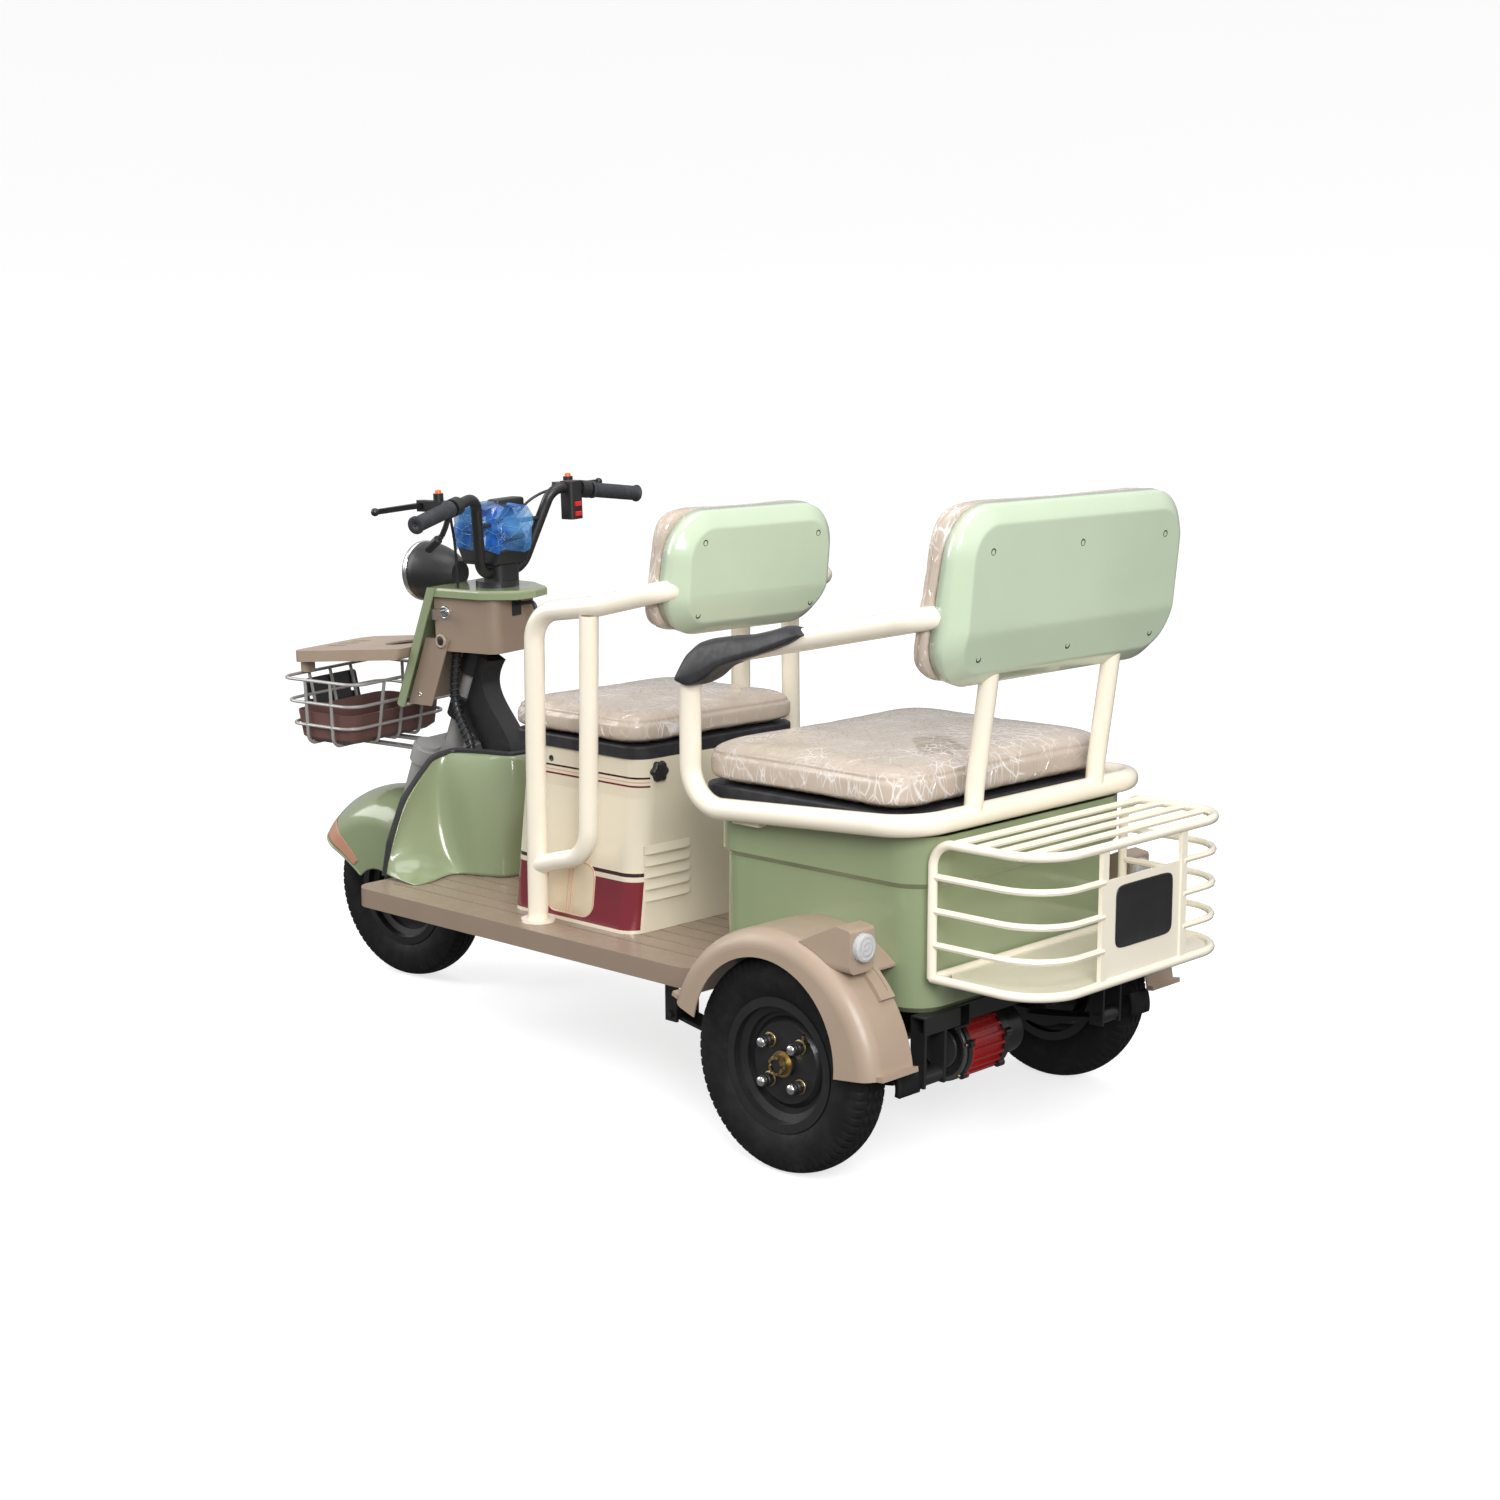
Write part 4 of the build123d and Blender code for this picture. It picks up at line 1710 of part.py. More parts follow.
with BuildPart() as ignition_key:
    with BuildSketch(Plane.YZ.offset(LOCK_FACE - 4 * DASH_WALL)):
        with Locations((F + LOCK_Y, LOCK_Z)):
            Circle(LOCK_RADIUS)
    extrude(amount=6 * DASH_WALL)
    with BuildSketch(Plane.YZ.offset(LOCK_FACE + 2 * DASH_WALL)):
        with Locations((F + LOCK_Y, LOCK_Z)):
            Rectangle(3, 10)
    extrude(amount=10)
    with BuildSketch(Plane.YZ.offset(LOCK_FACE + 2 * DASH_WALL + 10)):
        with Locations((F + LOCK_Y, LOCK_Z)):
            RectangleRounded(5, 22, 2)
    extrude(amount=20)
keep("ignition_key", ignition_key.part, True)

with BuildPart() as bag_hook:
    with Locations((0, F + DASH_REAR + SEAT_GAP + 1.5, LOCK_Z + 10)):
        Box(24, 3, 34)
hook_rod = tube(
    [
        (0, F + DASH_REAR + SEAT_GAP + 1.5, LOCK_Z + 16),
        (0, F + DASH_REAR + 52, LOCK_Z + 24),
        (0, F + DASH_REAR + 58, LOCK_Z - 22),
        (0, F + DASH_REAR + 34, LOCK_Z - 26),
    ],
    11.0,
    HOOK_RADIUS,
)
keep("bag_hook", weld(bag_hook.part, hook_rod), True)

# Headlight bowl and lens
LAMP_Y = F + LAMP_FRONT
LAMP_AXIS = Axis((0, LAMP_Y, LAMP_AXIS_Z), (0, 1, 0))
LAMP_SECTION = Plane((0, LAMP_Y, LAMP_AXIS_Z), x_dir=(0, 1, 0), z_dir=(1, 0, 0))


def lamp_bowl(grow, hollow):
    """Headlight bowl: its outside grown a little, and hollow or full."""
    r = HEADLAMP_RADIUS + grow
    d = HEADLAMP_DEPTH + grow
    with BuildPart() as bowl:
        with BuildSketch(LAMP_SECTION):
            with BuildLine():
                Line((0, 0), (0, r))
                Line((0, r), (14, r))
                ThreePointArc((14, r), (0.66 * d, 0.76 * r), (d, 0.42 * r))
                Line((d, 0.42 * r), (d, 0))
                Line((d, 0), (0, 0))
            make_face()
        revolve(axis=LAMP_AXIS)
        if hollow:
            with BuildSketch(LAMP_SECTION):
                with BuildLine():
                    Line((0, 0), (0, r - 3))
                    Line((0, r - 3), (14, r - 3))
                    ThreePointArc((14, r - 3), (0.66 * d - 3, 0.76 * r - 3), (d - 3, 0.42 * r - 3))
                    Line((d - 3, 0.42 * r - 3), (d - 3, 0))
                    Line((d - 3, 0), (0, 0))
                make_face()
            revolve(axis=LAMP_AXIS, mode=Mode.SUBTRACT)
    return bowl.part


keep("headlight_shell", lamp_bowl(0.0, True), True)
lamp_room = lamp_bowl(SEAT_GAP, False)
LENS_RADIUS = HEADLAMP_RADIUS - 3 - SEAT_GAP
LENS_BULGE = 12.0
dome_radius = (LENS_RADIUS**2 + LENS_BULGE**2) / (2 * LENS_BULGE)
dome_sag = dome_radius - (dome_radius**2 - LENS_RADIUS**2 / 4) ** 0.5
with BuildPart() as headlight_lens:
    with BuildSketch(LAMP_SECTION):
        with BuildLine():
            Line((6, 0), (6, LENS_RADIUS))
            Line((6, LENS_RADIUS), (-2, LENS_RADIUS))
            ThreePointArc(
                (-2, LENS_RADIUS), (-2 - LENS_BULGE + dome_sag, LENS_RADIUS / 2), (-2 - LENS_BULGE, 0)
            )
            Line((-2 - LENS_BULGE, 0), (6, 0))
        make_face()
    revolve(axis=LAMP_AXIS)
keep("headlight_lens", headlight_lens.part, True)

# Fairing: sloped front panel and the lid over the dash
LID_LOW = DASH_HIGH + SEAT_GAP
LID_TOP = LID_LOW + LID_THICKNESS
panel_outer = column_band(PANEL_LOW, LID_TOP, PANEL_AHEAD, PANEL_DEPTH, PANEL_HALF)
panel_inner = column_band(
    PANEL_LOW + DASH_WALL, LID_LOW, PANEL_AHEAD - DASH_WALL, PANEL_DEPTH + 20, PANEL_HALF - DASH_WALL
)
with BuildPart() as front_panel:
    add(panel_outer)
    fillet(front_panel.faces().sort_by(Axis((0, 0, 0), (0, -1, 0.42)))[-1].edges(), 16)
    add(panel_inner, mode=Mode.SUBTRACT)
with BuildPart() as lid:
    with BuildSketch(Plane.XY.offset(LID_LOW)):
        with BuildLine():
            Polyline(
                (-LID_HALF, F + LID_FRONT),
                (LID_HALF, F + LID_FRONT),
                (LID_HALF - 8, F + DASH_REAR - 20),
                (LID_HALF / 2, F + LID_REAR - 10),
                (0, F + LID_REAR),
                (-LID_HALF / 2, F + LID_REAR - 10),
                (8 - LID_HALF, F + DASH_REAR - 20),
                close=True,
            )
        make_face()
    extrude(amount=LID_THICKNESS)
    fillet(lid.edges().filter_by(Axis.Z).group_by(Axis.Y)[1], 20)
    fillet(lid.faces().sort_by(Axis.Z)[-1].edges().group_by(Axis.Y)[1:], 6)
with BuildPart() as front_fairing:
    add(front_panel.part)
    add(lid.part)
    add(steerer_room, mode=Mode.SUBTRACT)
    add(lamp_room, mode=Mode.SUBTRACT)
keep("front_fairing", front_fairing.part, True)

# Front basket: bent wires, carried on two bars from the fork crown
LEAN = tan(radians(BASKET_LEAN))


def basket_front(height):
    """Y of the leaning front face of the basket."""
    return F - BASKET_FRONT + (BASKET_TOP - height) * LEAN


def basket_back(height):
    """Y of the leaning rear face of the basket."""
    return F + BASKET_REAR - (BASKET_TOP - height) * LEAN


def wire_ring(height):
    """Closed rounded wire round the basket."""
    with BuildPart() as ring:
        with BuildLine() as route:
            FilletPolyline(
                (BASKET_HALF, basket_back(height), height),
                (BASKET_HALF, basket_front(height), height),
                (-BASKET_HALF, basket_front(height), height),
                (-BASKET_HALF, basket_back(height), height),
                radius=BASKET_CORNER,
                close=True,
            )
        with BuildSketch(Plane(route.line @ 0, z_dir=route.line % 0)):
            RegularPolygon(WIRE_RADIUS, 8)
        sweep(path=route.line)
    return ring.part


WIRE_BEND = 20.0
basket_wires = [wire_ring(BASKET_TOP - index * RING_PITCH) for index in range(RING_COUNT)]
for x in (-60.0, 0.0, 60.0):
    basket_wires.append(
        tube(
            [
                (x, basket_front(BASKET_TOP), BASKET_TOP),
                (x, basket_front(BASKET_LOW), BASKET_LOW),
                (x, basket_back(BASKET_LOW), BASKET_LOW),
                (x, basket_back(BASKET_TOP), BASKET_TOP),
            ],
            WIRE_BEND,
            WIRE_RADIUS,
            sides=8,
        )
    )
for share in (0.28, 0.72):
    y = basket_front(BASKET_LOW) + share * (basket_back(BASKET_LOW) - basket_front(BASKET_LOW))
    basket_wires.append(
        tube(
            [
                (BASKET_HALF, y, BASKET_TOP),
                (BASKET_HALF, y, BASKET_LOW),
                (-BASKET_HALF, y, BASKET_LOW),
                (-BASKET_HALF, y, BASKET_TOP),
            ],
            WIRE_BEND,
            WIRE_RADIUS,
            sides=8,
        )
    )
CARRIER = (18.0, 6.0)
carrier_low = BASKET_LOW - WIRE_RADIUS / 2 - CARRIER[1] / 2
carrier_back = axis_y(BASKET_LOW)
carrier_front = basket_front(BASKET_LOW) + WIRE_BEND
crown_room = crown_block(SEAT_GAP)
with BuildPart() as front_basket:
    for x in (-36.0, 36.0):
        with Locations((x, (carrier_back + carrier_front) / 2, carrier_low)):
            Box(CARRIER[0], carrier_back - carrier_front, CARRIER[1])
    add(crown_room, mode=Mode.SUBTRACT)
    with Locations((0, axis_y(BASKET_LOW) + LEG_RADIUS + 25, carrier_low)):
        Box(4 * LEG_X, 50 + 2 * LEG_RADIUS, 8 * CARRIER[1], mode=Mode.SUBTRACT)
    for bar in basket_wires:
        add(bar)
keep("front_basket", front_basket.part, True)

# Moulded liner tray in the basket
LINER_LOW = BASKET_LOW + WIRE_RADIUS + SEAT_GAP


def liner_section(height, inset, grow):
    """Rounded plan of the liner between the leaning faces."""
    front = basket_front(height) + WIRE_RADIUS + inset
    back = basket_back(height) - WIRE_RADIUS - inset
    half = BASKET_HALF - WIRE_RADIUS - inset
    with BuildSketch(Plane.XY.offset(height)) as section:
        with Locations((0, (front + back) / 2)):
            RectangleRounded(2 * (half - grow), back - front - 2 * grow, BASKET_CORNER - grow)
    return section.sketch.face()


LINER_INSET = 4.0
liner_outer = [
    liner_section(LINER_LOW, LINER_INSET + WIRE_BEND / 2, 0.0),
    liner_section(LINER_LOW + WIRE_BEND / 2, LINER_INSET, 0.0),
    liner_section(LINER_LOW + LINER_HEIGHT, LINER_INSET, 0.0),
]
liner_inner = [
    liner_section(LINER_LOW + LINER_WALL, LINER_INSET + WIRE_BEND / 2, LINER_WALL),
    liner_section(LINER_LOW + WIRE_BEND / 2, LINER_INSET, LINER_WALL),
    liner_section(LINER_LOW + LINER_HEIGHT, LINER_INSET, LINER_WALL),
]
with BuildPart() as basket_liner:
    loft(liner_outer, ruled=True)
    loft(liner_inner, ruled=True, mode=Mode.SUBTRACT)
keep("basket_liner", basket_liner.part, True)

# Shelf over the basket, from the fairing to the front ring
SHELF_Y0 = F - SHELF_FRONT
SHELF_Y1 = axis_y(SHELF_REAR_Z) - PANEL_AHEAD - SEAT_GAP
RING_TOP = BASKET_TOP + WIRE_RADIUS + SEAT_GAP


def tray(wall, low):
    """Shelf moulding drawn in by a wall, with its front corners rounded."""
    with BuildPart() as body:
        with BuildSketch(Plane.YZ):
            with BuildLine():
                Polyline(
                    (SHELF_Y0 + wall, SHELF_FRONT_Z - wall),
                    (SHELF_Y1 - wall, SHELF_REAR_Z - wall),
                    (SHELF_Y1 - wall - low * tan(radians(RAKE)), SHELF_REAR_Z - wall - low),
                    (SHELF_Y0 + wall, SHELF_FRONT_Z - wall - low),
                    close=True,
                )
            make_face()
        extrude(amount=SHELF_HALF - wall, both=True)
        fillet(body.edges().filter_by(Axis.Z).group_by(Axis.Y)[0], 38 - wall)
        fillet(body.faces().sort_by(Axis.Z)[-1].edges().sort_by(Axis.Y)[:-1], 7 - wall)
    return body.part


shelf_outer = tray(0.0, SHELF_SKIRT)
shelf_inner = tray(SHELF_PLATE, SHELF_SKIRT)
CUP_Y = F + 24.0
SLOT_Y = F - 150.0
with BuildPart() as basket_shelf:
    add(shelf_outer)
    add(shelf_inner, mode=Mode.SUBTRACT)
    with BuildSketch(Plane.XY.offset(BASKET_TOP)):
        with Locations((0, CUP_Y)):
            Circle(CUP_RADIUS)
        with Locations((0, SLOT_Y)):
            with GridLocations(34, 0, 3, 1):
                SlotOverall(58, 14, rotation=90)
    extrude(amount=2 * (SHELF_REAR_Z - BASKET_TOP), mode=Mode.SUBTRACT)
    for x in (-74.0, 74.0):
        with BuildSketch(Plane.XY.offset(RING_TOP)):
            with Locations((x, SHELF_Y0 + 12)):
                RectangleRounded(26, 24, 6)
        extrude(amount=SHELF_FRONT_Z - RING_TOP - SHELF_PLATE / 2)
keep("basket_shelf", basket_shelf.part, True)

# Black number-plate holder on the front wires
lean = radians(BASKET_LEAN)
PLATE_PLANE = Plane((0, F - BASKET_FRONT, BASKET_TOP), x_dir=(1, 0, 0), z_dir=(0, -cos(lean), -sin(lean)))
with BuildPart() as front_plate_holder:
    with BuildSketch(PLATE_PLANE.offset(WIRE_RADIUS + SEAT_GAP)):
        with Locations((0, -PLATE_TALL / 2 - 14)):
            RectangleRounded(2 * PLATE_HALF, PLATE_TALL, 8)
            with GridLocations(120, 0, 2, 1):
                SlotOverall(18, 7, mode=Mode.SUBTRACT)
    extrude(amount=PLATE_THICK)
keep("front_plate_holder", front_plate_holder.part, True)

# Handlebar with its stem and brace
left_end = Vector(GRIP_END[0], F + GRIP_END[1], GRIP_END[2])
left_shoulder = Vector(BAR_SHOULDER[0], F + BAR_SHOULDER[1], BAR_SHOULDER[2])
left_base = Vector(BAR_BASE[0], F + BAR_BASE[1], BAR_BASE[2])
inward = (left_shoulder - left_end).normalized()
END_CAP = 5.0
bar_start = left_end + inward * END_CAP


def other_side(point):
    """The mirrored point on the rider's right."""
    return Vector(-point.X, point.Y, point.Z)


bar_tube = tube(
    [
        bar_start, left_shoulder, left_base,
        other_side(left_base), other_side(left_shoulder), other_side(bar_start),
    ],
    BAR_BEND,
    BAR_RADIUS,
    BAR_WALL,
)
brace_point = left_base + (left_shoulder - left_base) * 0.62
brace_rod = rod(tuple(brace_point), tuple(other_side(brace_point)), 5.0, sides=8)
RING_LOW = LID_TOP + SEAT_GAP
RING_HIGH = RING_LOW + 12.0
STEM_TOP = left_base.Z + BAR_RADIUS + 5.0
with BuildPart() as handlebar:
    add(bar_tube)
    add(brace_rod)
    with BuildSketch(Plane.XY.offset(RING_LOW)):
        with Locations((0, axis_y(RING_LOW + 4))):
            Circle(STEM_RING_RADIUS)
    extrude(amount=RING_HIGH - RING_LOW)
    with BuildSketch(Plane.XY.offset(RING_LOW)):
        with Locations((0, left_base.Y)):
            RectangleRounded(64, 52, 14)
    extrude(amount=STEM_TOP - RING_LOW)
    with BuildSketch(FORK.offset(CROWN_LOW)):
        with Locations((0, STEER_OFFSET)):
            Circle(STEERER_RADIUS + SEAT_GAP)
    extrude(amount=STEERER_TOP + SEAT_GAP - CROWN_LOW, mode=Mode.SUBTRACT)
keep("handlebar", handlebar.part, True)

# Instrument pod on the stem
POD_LOW = STEM_TOP + SEAT_GAP
POD_HALF = 48.0
with BuildPart() as instrument_cluster:
    with BuildSketch(Plane.YZ):
        with BuildLine():
            Polyline(
                (left_base.Y - 62, POD_LOW),
                (left_base.Y + 30, POD_LOW),
                (left_base.Y + 44, POD_LOW + 30),
                (left_base.Y - 8, POD_LOW + 116),
                (left_base.Y - 64, POD_LOW + 118),
                (left_base.Y - 82, POD_LOW + 46),
                close=True,
            )
        make_face()
    extrude(amount=POD_HALF, both=True)
    fillet(instrument_cluster.edges().filter_by(Axis.X), 10)
    fillet(instrument_cluster.faces().sort_by(Axis.X)[-1].edges(), 8)
    fillet(instrument_cluster.faces().sort_by(Axis.X)[0].edges(), 8)
brace_room = rod(tuple(brace_point), tuple(other_side(brace_point)), 5.0 + SEAT_GAP)
with BuildPart() as pod_body:
    add(instrument_cluster.part)
    add(brace_room, mode=Mode.SUBTRACT)
keep("instrument_cluster", pod_body.part, True)

# Grips: the left one is fixed, the right one turns as the throttle


def grip(fit):
    """Rubber grip over the left bar end, closed outside and flanged inside."""
    mouth = left_end + inward * GRIP_LENGTH
    sleeve = rod(tuple(left_end), tuple(mouth), GRIP_RADIUS)
    flange = rod(tuple(mouth - inward * 5), tuple(mouth), GRIP_RADIUS + 4)
    bore = rod(tuple(bar_start - inward * fit), tuple(mouth + inward * 5), BAR_RADIUS + fit)
    with BuildPart() as body:
        add(sleeve)
        add(flange)
        add(bore, mode=Mode.SUBTRACT)
    return body.part


keep("grip_left", grip(SEAT_GAP), True)
keep("throttle_grip", flipped(grip(RUNNING_FIT)), True)

# Lever perches with forked ends, and the switch pod on the right
perch = left_end + inward * PERCH_FROM_END
LEVER_Z = perch.Z
pivot = Vector(perch.X + 8, perch.Y - LEVER_AHEAD, LEVER_Z)
FORK_CHEEK = 5.0
ARM_WIDTH = 22.0
ARM_TALL = LEVER_THICKNESS + 2 * PLAY + 2 * FORK_CHEEK
SLOT_BACK = 17.0
perch_ring = rod(
    tuple(perch - inward * PERCH_WIDTH / 2), tuple(perch + inward * PERCH_WIDTH / 2), PERCH_RADIUS
)
bar_room = tube([left_end, left_shoulder, left_base], BAR_BEND, BAR_RADIUS + SEAT_GAP)
with BuildPart() as lever_perch:
    add(perch_ring)
    with BuildSketch(Plane.XY.offset(LEVER_Z - ARM_TALL / 2)):
        with BuildLine():
            Polyline(
                (perch.X - ARM_WIDTH / 2, perch.Y),
                (perch.X + ARM_WIDTH / 2, perch.Y),
                (pivot.X + ARM_WIDTH / 2, pivot.Y),
                (pivot.X, pivot.Y - ARM_WIDTH / 2),
                (pivot.X - ARM_WIDTH / 2, pivot.Y),
                close=True,
            )
        make_face()
    extrude(amount=ARM_TALL)
    with Locations((pivot.X, pivot.Y - ARM_WIDTH / 2 + SLOT_BACK / 2, LEVER_Z)):
        Box(
            3 * ARM_WIDTH, ARM_WIDTH + SLOT_BACK, LEVER_THICKNESS + 2 * PLAY,
            mode=Mode.SUBTRACT,
        )
    with Locations((pivot.X, pivot.Y, LEVER_Z)):
        Cylinder(LEVER_PIN, ARM_TALL)
    with Locations((perch.X, perch.Y - LEVER_AHEAD / 2, LEVER_Z + ARM_TALL / 2)):
        Cylinder(10, 14, align=(Align.CENTER, Align.CENTER, Align.MIN))
    add(bar_room, mode=Mode.SUBTRACT)

POD_FROM_END = PERCH_FROM_END + PERCH_WIDTH / 2 + 21.0
pod_middle = other_side(left_end + inward * POD_FROM_END)
POD = (36.0, 34.0, 78.0)
POD_DROP = 24.0
rocker_rows = [pod_middle.Z - POD_DROP - 8, pod_middle.Z - POD_DROP - 28]
ROCKER_PIN = 1.6
ROCKER_Y = pod_middle.Y + POD[1] / 2 - ROCKER[1] / 4
right_bar_room = flipped(bar_room)
with BuildPart() as switch_pod:
    with Locations((pod_middle.X, pod_middle.Y, pod_middle.Z - POD_DROP)):
        Box(*POD)
    fillet(switch_pod.edges().filter_by(Axis.Z), 7)
    add(right_bar_room, mode=Mode.SUBTRACT)
    for row in rocker_rows:
        with Locations((pod_middle.X, ROCKER_Y, row)):
            Box(ROCKER[0] + 2 * PLAY, ROCKER[1] + 4 * PLAY, ROCKER[2] + 4 * PLAY, mode=Mode.SUBTRACT)
        with BuildSketch(Plane.YZ.offset(pod_middle.X)):
            with Locations((ROCKER_Y, row)):
                Circle(ROCKER_PIN + RUNNING_FIT)
        extrude(amount=ROCKER[0] / 2 + 3, both=True, mode=Mode.SUBTRACT)
keep(
    "control_clamps",
    Compound([lever_perch.part.solid(), flipped(lever_perch.part).solid(), switch_pod.part.solid()]),
    True,
)

for name, row in zip(("light_rocker", "reverse_rocker"), rocker_rows):
    with BuildPart() as rocker:
        with Locations((pod_middle.X, ROCKER_Y, row)):
            Box(*ROCKER)
        fillet(rocker.edges().filter_by(Axis.X), 2)
        with BuildSketch(Plane.YZ.offset(pod_middle.X)):
            with Locations((ROCKER_Y, row)):
                Circle(ROCKER_PIN)
        extrude(amount=ROCKER[0] / 2 + 2.5, both=True)
    keep(name, rocker.part, True)

# Brake levers: blade and ball end on a vertical pin
ball = Vector(pivot.X + LEVER_LENGTH, pivot.Y + 6, LEVER_Z)
with BuildPart() as brake_lever:
    with BuildSketch(Plane.XY.offset(LEVER_Z - LEVER_THICKNESS / 2)):
        with BuildLine():
            Polyline(
                (pivot.X, pivot.Y - 9),
                (pivot.X + 34, pivot.Y - 7),
                (ball.X, ball.Y - 4),
                (ball.X, ball.Y + 4),
                (pivot.X + 34, pivot.Y + 5),
                (pivot.X, pivot.Y + 9),
                close=True,
            )
        make_face()
        with Locations((pivot.X, pivot.Y)):
            Circle(9)
        with Locations((pivot.X, pivot.Y)):
            Circle(LEVER_PIN + RUNNING_FIT, mode=Mode.SUBTRACT)
    extrude(amount=LEVER_THICKNESS)
    with Locations(tuple(ball)):
        Sphere(8)
keep("brake_lever_left", brake_lever.part, True)
keep("brake_lever_right", flipped(brake_lever.part), True)

# Brake cables from the perches down to the lid
CABLE_RADIUS = 3.0
cable_start = Vector(perch.X - ARM_WIDTH / 2 + 4, perch.Y - LEVER_AHEAD * 0.72, LEVER_Z)
cable_route = [
    tuple(cable_start + Vector(-8.6, 0, 0)),
    tuple(cable_start + Vector(-48, -8, -2)),
    (perch.X - 92, left_base.Y - 40, LEVER_Z - 40),
    (LID_HALF - 16, left_base.Y - 52, LEVER_Z - 96),
    (LID_HALF - 20, left_base.Y - 56, LID_TOP + SEAT_GAP),
]
cable = tube(cable_route, 24.0, CABLE_RADIUS, sides=8)
keep("brake_cables", Compound([cable.solid(), flipped(cable).solid()]), True)

# Turn everything on the steering column to where it is parked, and write each piece
os.makedirs("parts", exist_ok=True)
for name, part in PIECES.items():
    if name in STEERED:
        part = part.rotate(STEER_AXIS, STEER_PARKED)
    part.label = name
    export_step(part, f"parts/{name}.step")
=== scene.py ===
"""Studio scene of an electric three-wheeled runabout: finishes, upholstery, tyres and small trim."""
import logging
import math
from dataclasses import dataclass
from enum import Enum
from typing import Optional, Sequence

import bmesh
import bpy
import numpy as np
from mathutils import Matrix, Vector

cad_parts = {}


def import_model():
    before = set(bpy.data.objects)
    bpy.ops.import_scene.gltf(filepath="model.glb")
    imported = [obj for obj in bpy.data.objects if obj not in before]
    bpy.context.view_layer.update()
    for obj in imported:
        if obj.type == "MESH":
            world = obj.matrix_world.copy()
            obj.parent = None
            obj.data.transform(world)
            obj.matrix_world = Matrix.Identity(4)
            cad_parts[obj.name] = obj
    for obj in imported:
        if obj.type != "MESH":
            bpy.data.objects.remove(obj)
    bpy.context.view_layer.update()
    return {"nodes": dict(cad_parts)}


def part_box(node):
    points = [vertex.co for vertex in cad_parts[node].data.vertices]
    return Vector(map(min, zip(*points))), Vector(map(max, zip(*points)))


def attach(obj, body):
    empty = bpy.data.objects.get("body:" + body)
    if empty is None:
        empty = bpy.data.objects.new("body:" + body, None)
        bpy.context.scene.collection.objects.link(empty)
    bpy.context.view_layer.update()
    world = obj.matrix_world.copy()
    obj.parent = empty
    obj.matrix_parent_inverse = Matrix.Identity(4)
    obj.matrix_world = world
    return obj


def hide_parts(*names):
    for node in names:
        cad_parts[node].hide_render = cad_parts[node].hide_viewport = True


LOG = logging.getLogger("runabout")
Colour = tuple[float, float, float]
Point = tuple[float, float, float]
Pairs = tuple[tuple[float, float], ...]
Piece = bpy.types.Object
Socket = bpy.types.NodeSocket
BACK_LEAN = math.radians(10.0)


@dataclass(frozen=True)
class Layout:
    """Driving places of the runabout in the part's frame, in metres; it faces -Y."""

    rear_axle: float = 0.6131
    front_axle: float = -0.8309
    axle_height: float = 0.1862
    half_track: float = 0.3685
    setback: float = 0.0091
    rake: float = math.radians(23.0)
    parked: float = math.radians(6.0)

    def steering_root(self) -> np.ndarray:
        """Point of the steering axis at axle height."""
        return np.array((0.0, self.front_axle + self.setback, self.axle_height))

    def steering_way(self) -> np.ndarray:
        """Direction of the steering axis, leaning back by the rake."""
        return np.array((0.0, math.sin(self.rake), math.cos(self.rake)))

    def turned(self, points: np.ndarray) -> np.ndarray:
        """Turn points with the parked front end.

        Each point is rotated about the steering axis: v cos a + (k x v) sin a + k (k . v)(1 - cos a).

        Args:
            points: places drawn with the front wheel straight ahead.

        Returns:
            The places with the front end parked.
        """
        way = self.steering_way()
        arm = np.asarray(points, dtype=float) - self.steering_root()
        along = (arm @ way)[..., None] * way
        swing = np.cross(np.broadcast_to(way, arm.shape), arm)
        cosine, sine = math.cos(self.parked), math.sin(self.parked)
        return arm * cosine + swing * sine + along * (1 - cosine) + self.steering_root()

    def turned_way(self, way: np.ndarray) -> np.ndarray:
        """A direction turned with the parked front end."""
        return self.turned(self.steering_root() + way) - self.steering_root()


PLAN = Layout()


@dataclass
class Patch:
    """A surface on a grid of two parameters, which may close on itself either way."""

    points: np.ndarray
    wrap_u: bool = False
    wrap_v: bool = False

    def faces(self, start: int) -> np.ndarray:
        """Quads of the grid.

        Args:
            start: index of the patch's first point in the mesh.

        Returns:
            An array of four indices a face.
        """
        rows, cols = self.points.shape[:2]
        index = np.arange(rows * cols).reshape(rows, cols) + start
        if self.wrap_u:
            index = np.vstack((index, index[:1]))
        if self.wrap_v:
            index = np.hstack((index, index[:, :1]))
        corners = (index[:-1, :-1], index[1:, :-1], index[1:, 1:], index[:-1, 1:])
        return np.stack(corners, axis=-1).reshape(-1, 4)


def unit(vector: Sequence[float]) -> np.ndarray:
    """The vector at length one."""
    array = np.asarray(vector, dtype=float)
    return array / np.linalg.norm(array)


def beside(way: np.ndarray) -> tuple[np.ndarray, np.ndarray]:
    """Two directions square to a direction and to each other.

    Args:
        way: the direction, at length one.

    Returns:
        Both directions.
    """
    helper = np.array((0.0, 0.0, 1.0)) if abs(way[2]) < 0.9 else np.array((0.0, 1.0, 0.0))
    first = unit(np.cross(helper, way))
    return first, np.cross(way, first)


def spokes(way: np.ndarray, angle: np.ndarray) -> np.ndarray:
    """Directions square to an axis at each angle: cos t * e1 + sin t * e2."""
    first, second = beside(way)
    return np.cos(angle)[..., None] * first + np.sin(angle)[..., None] * second


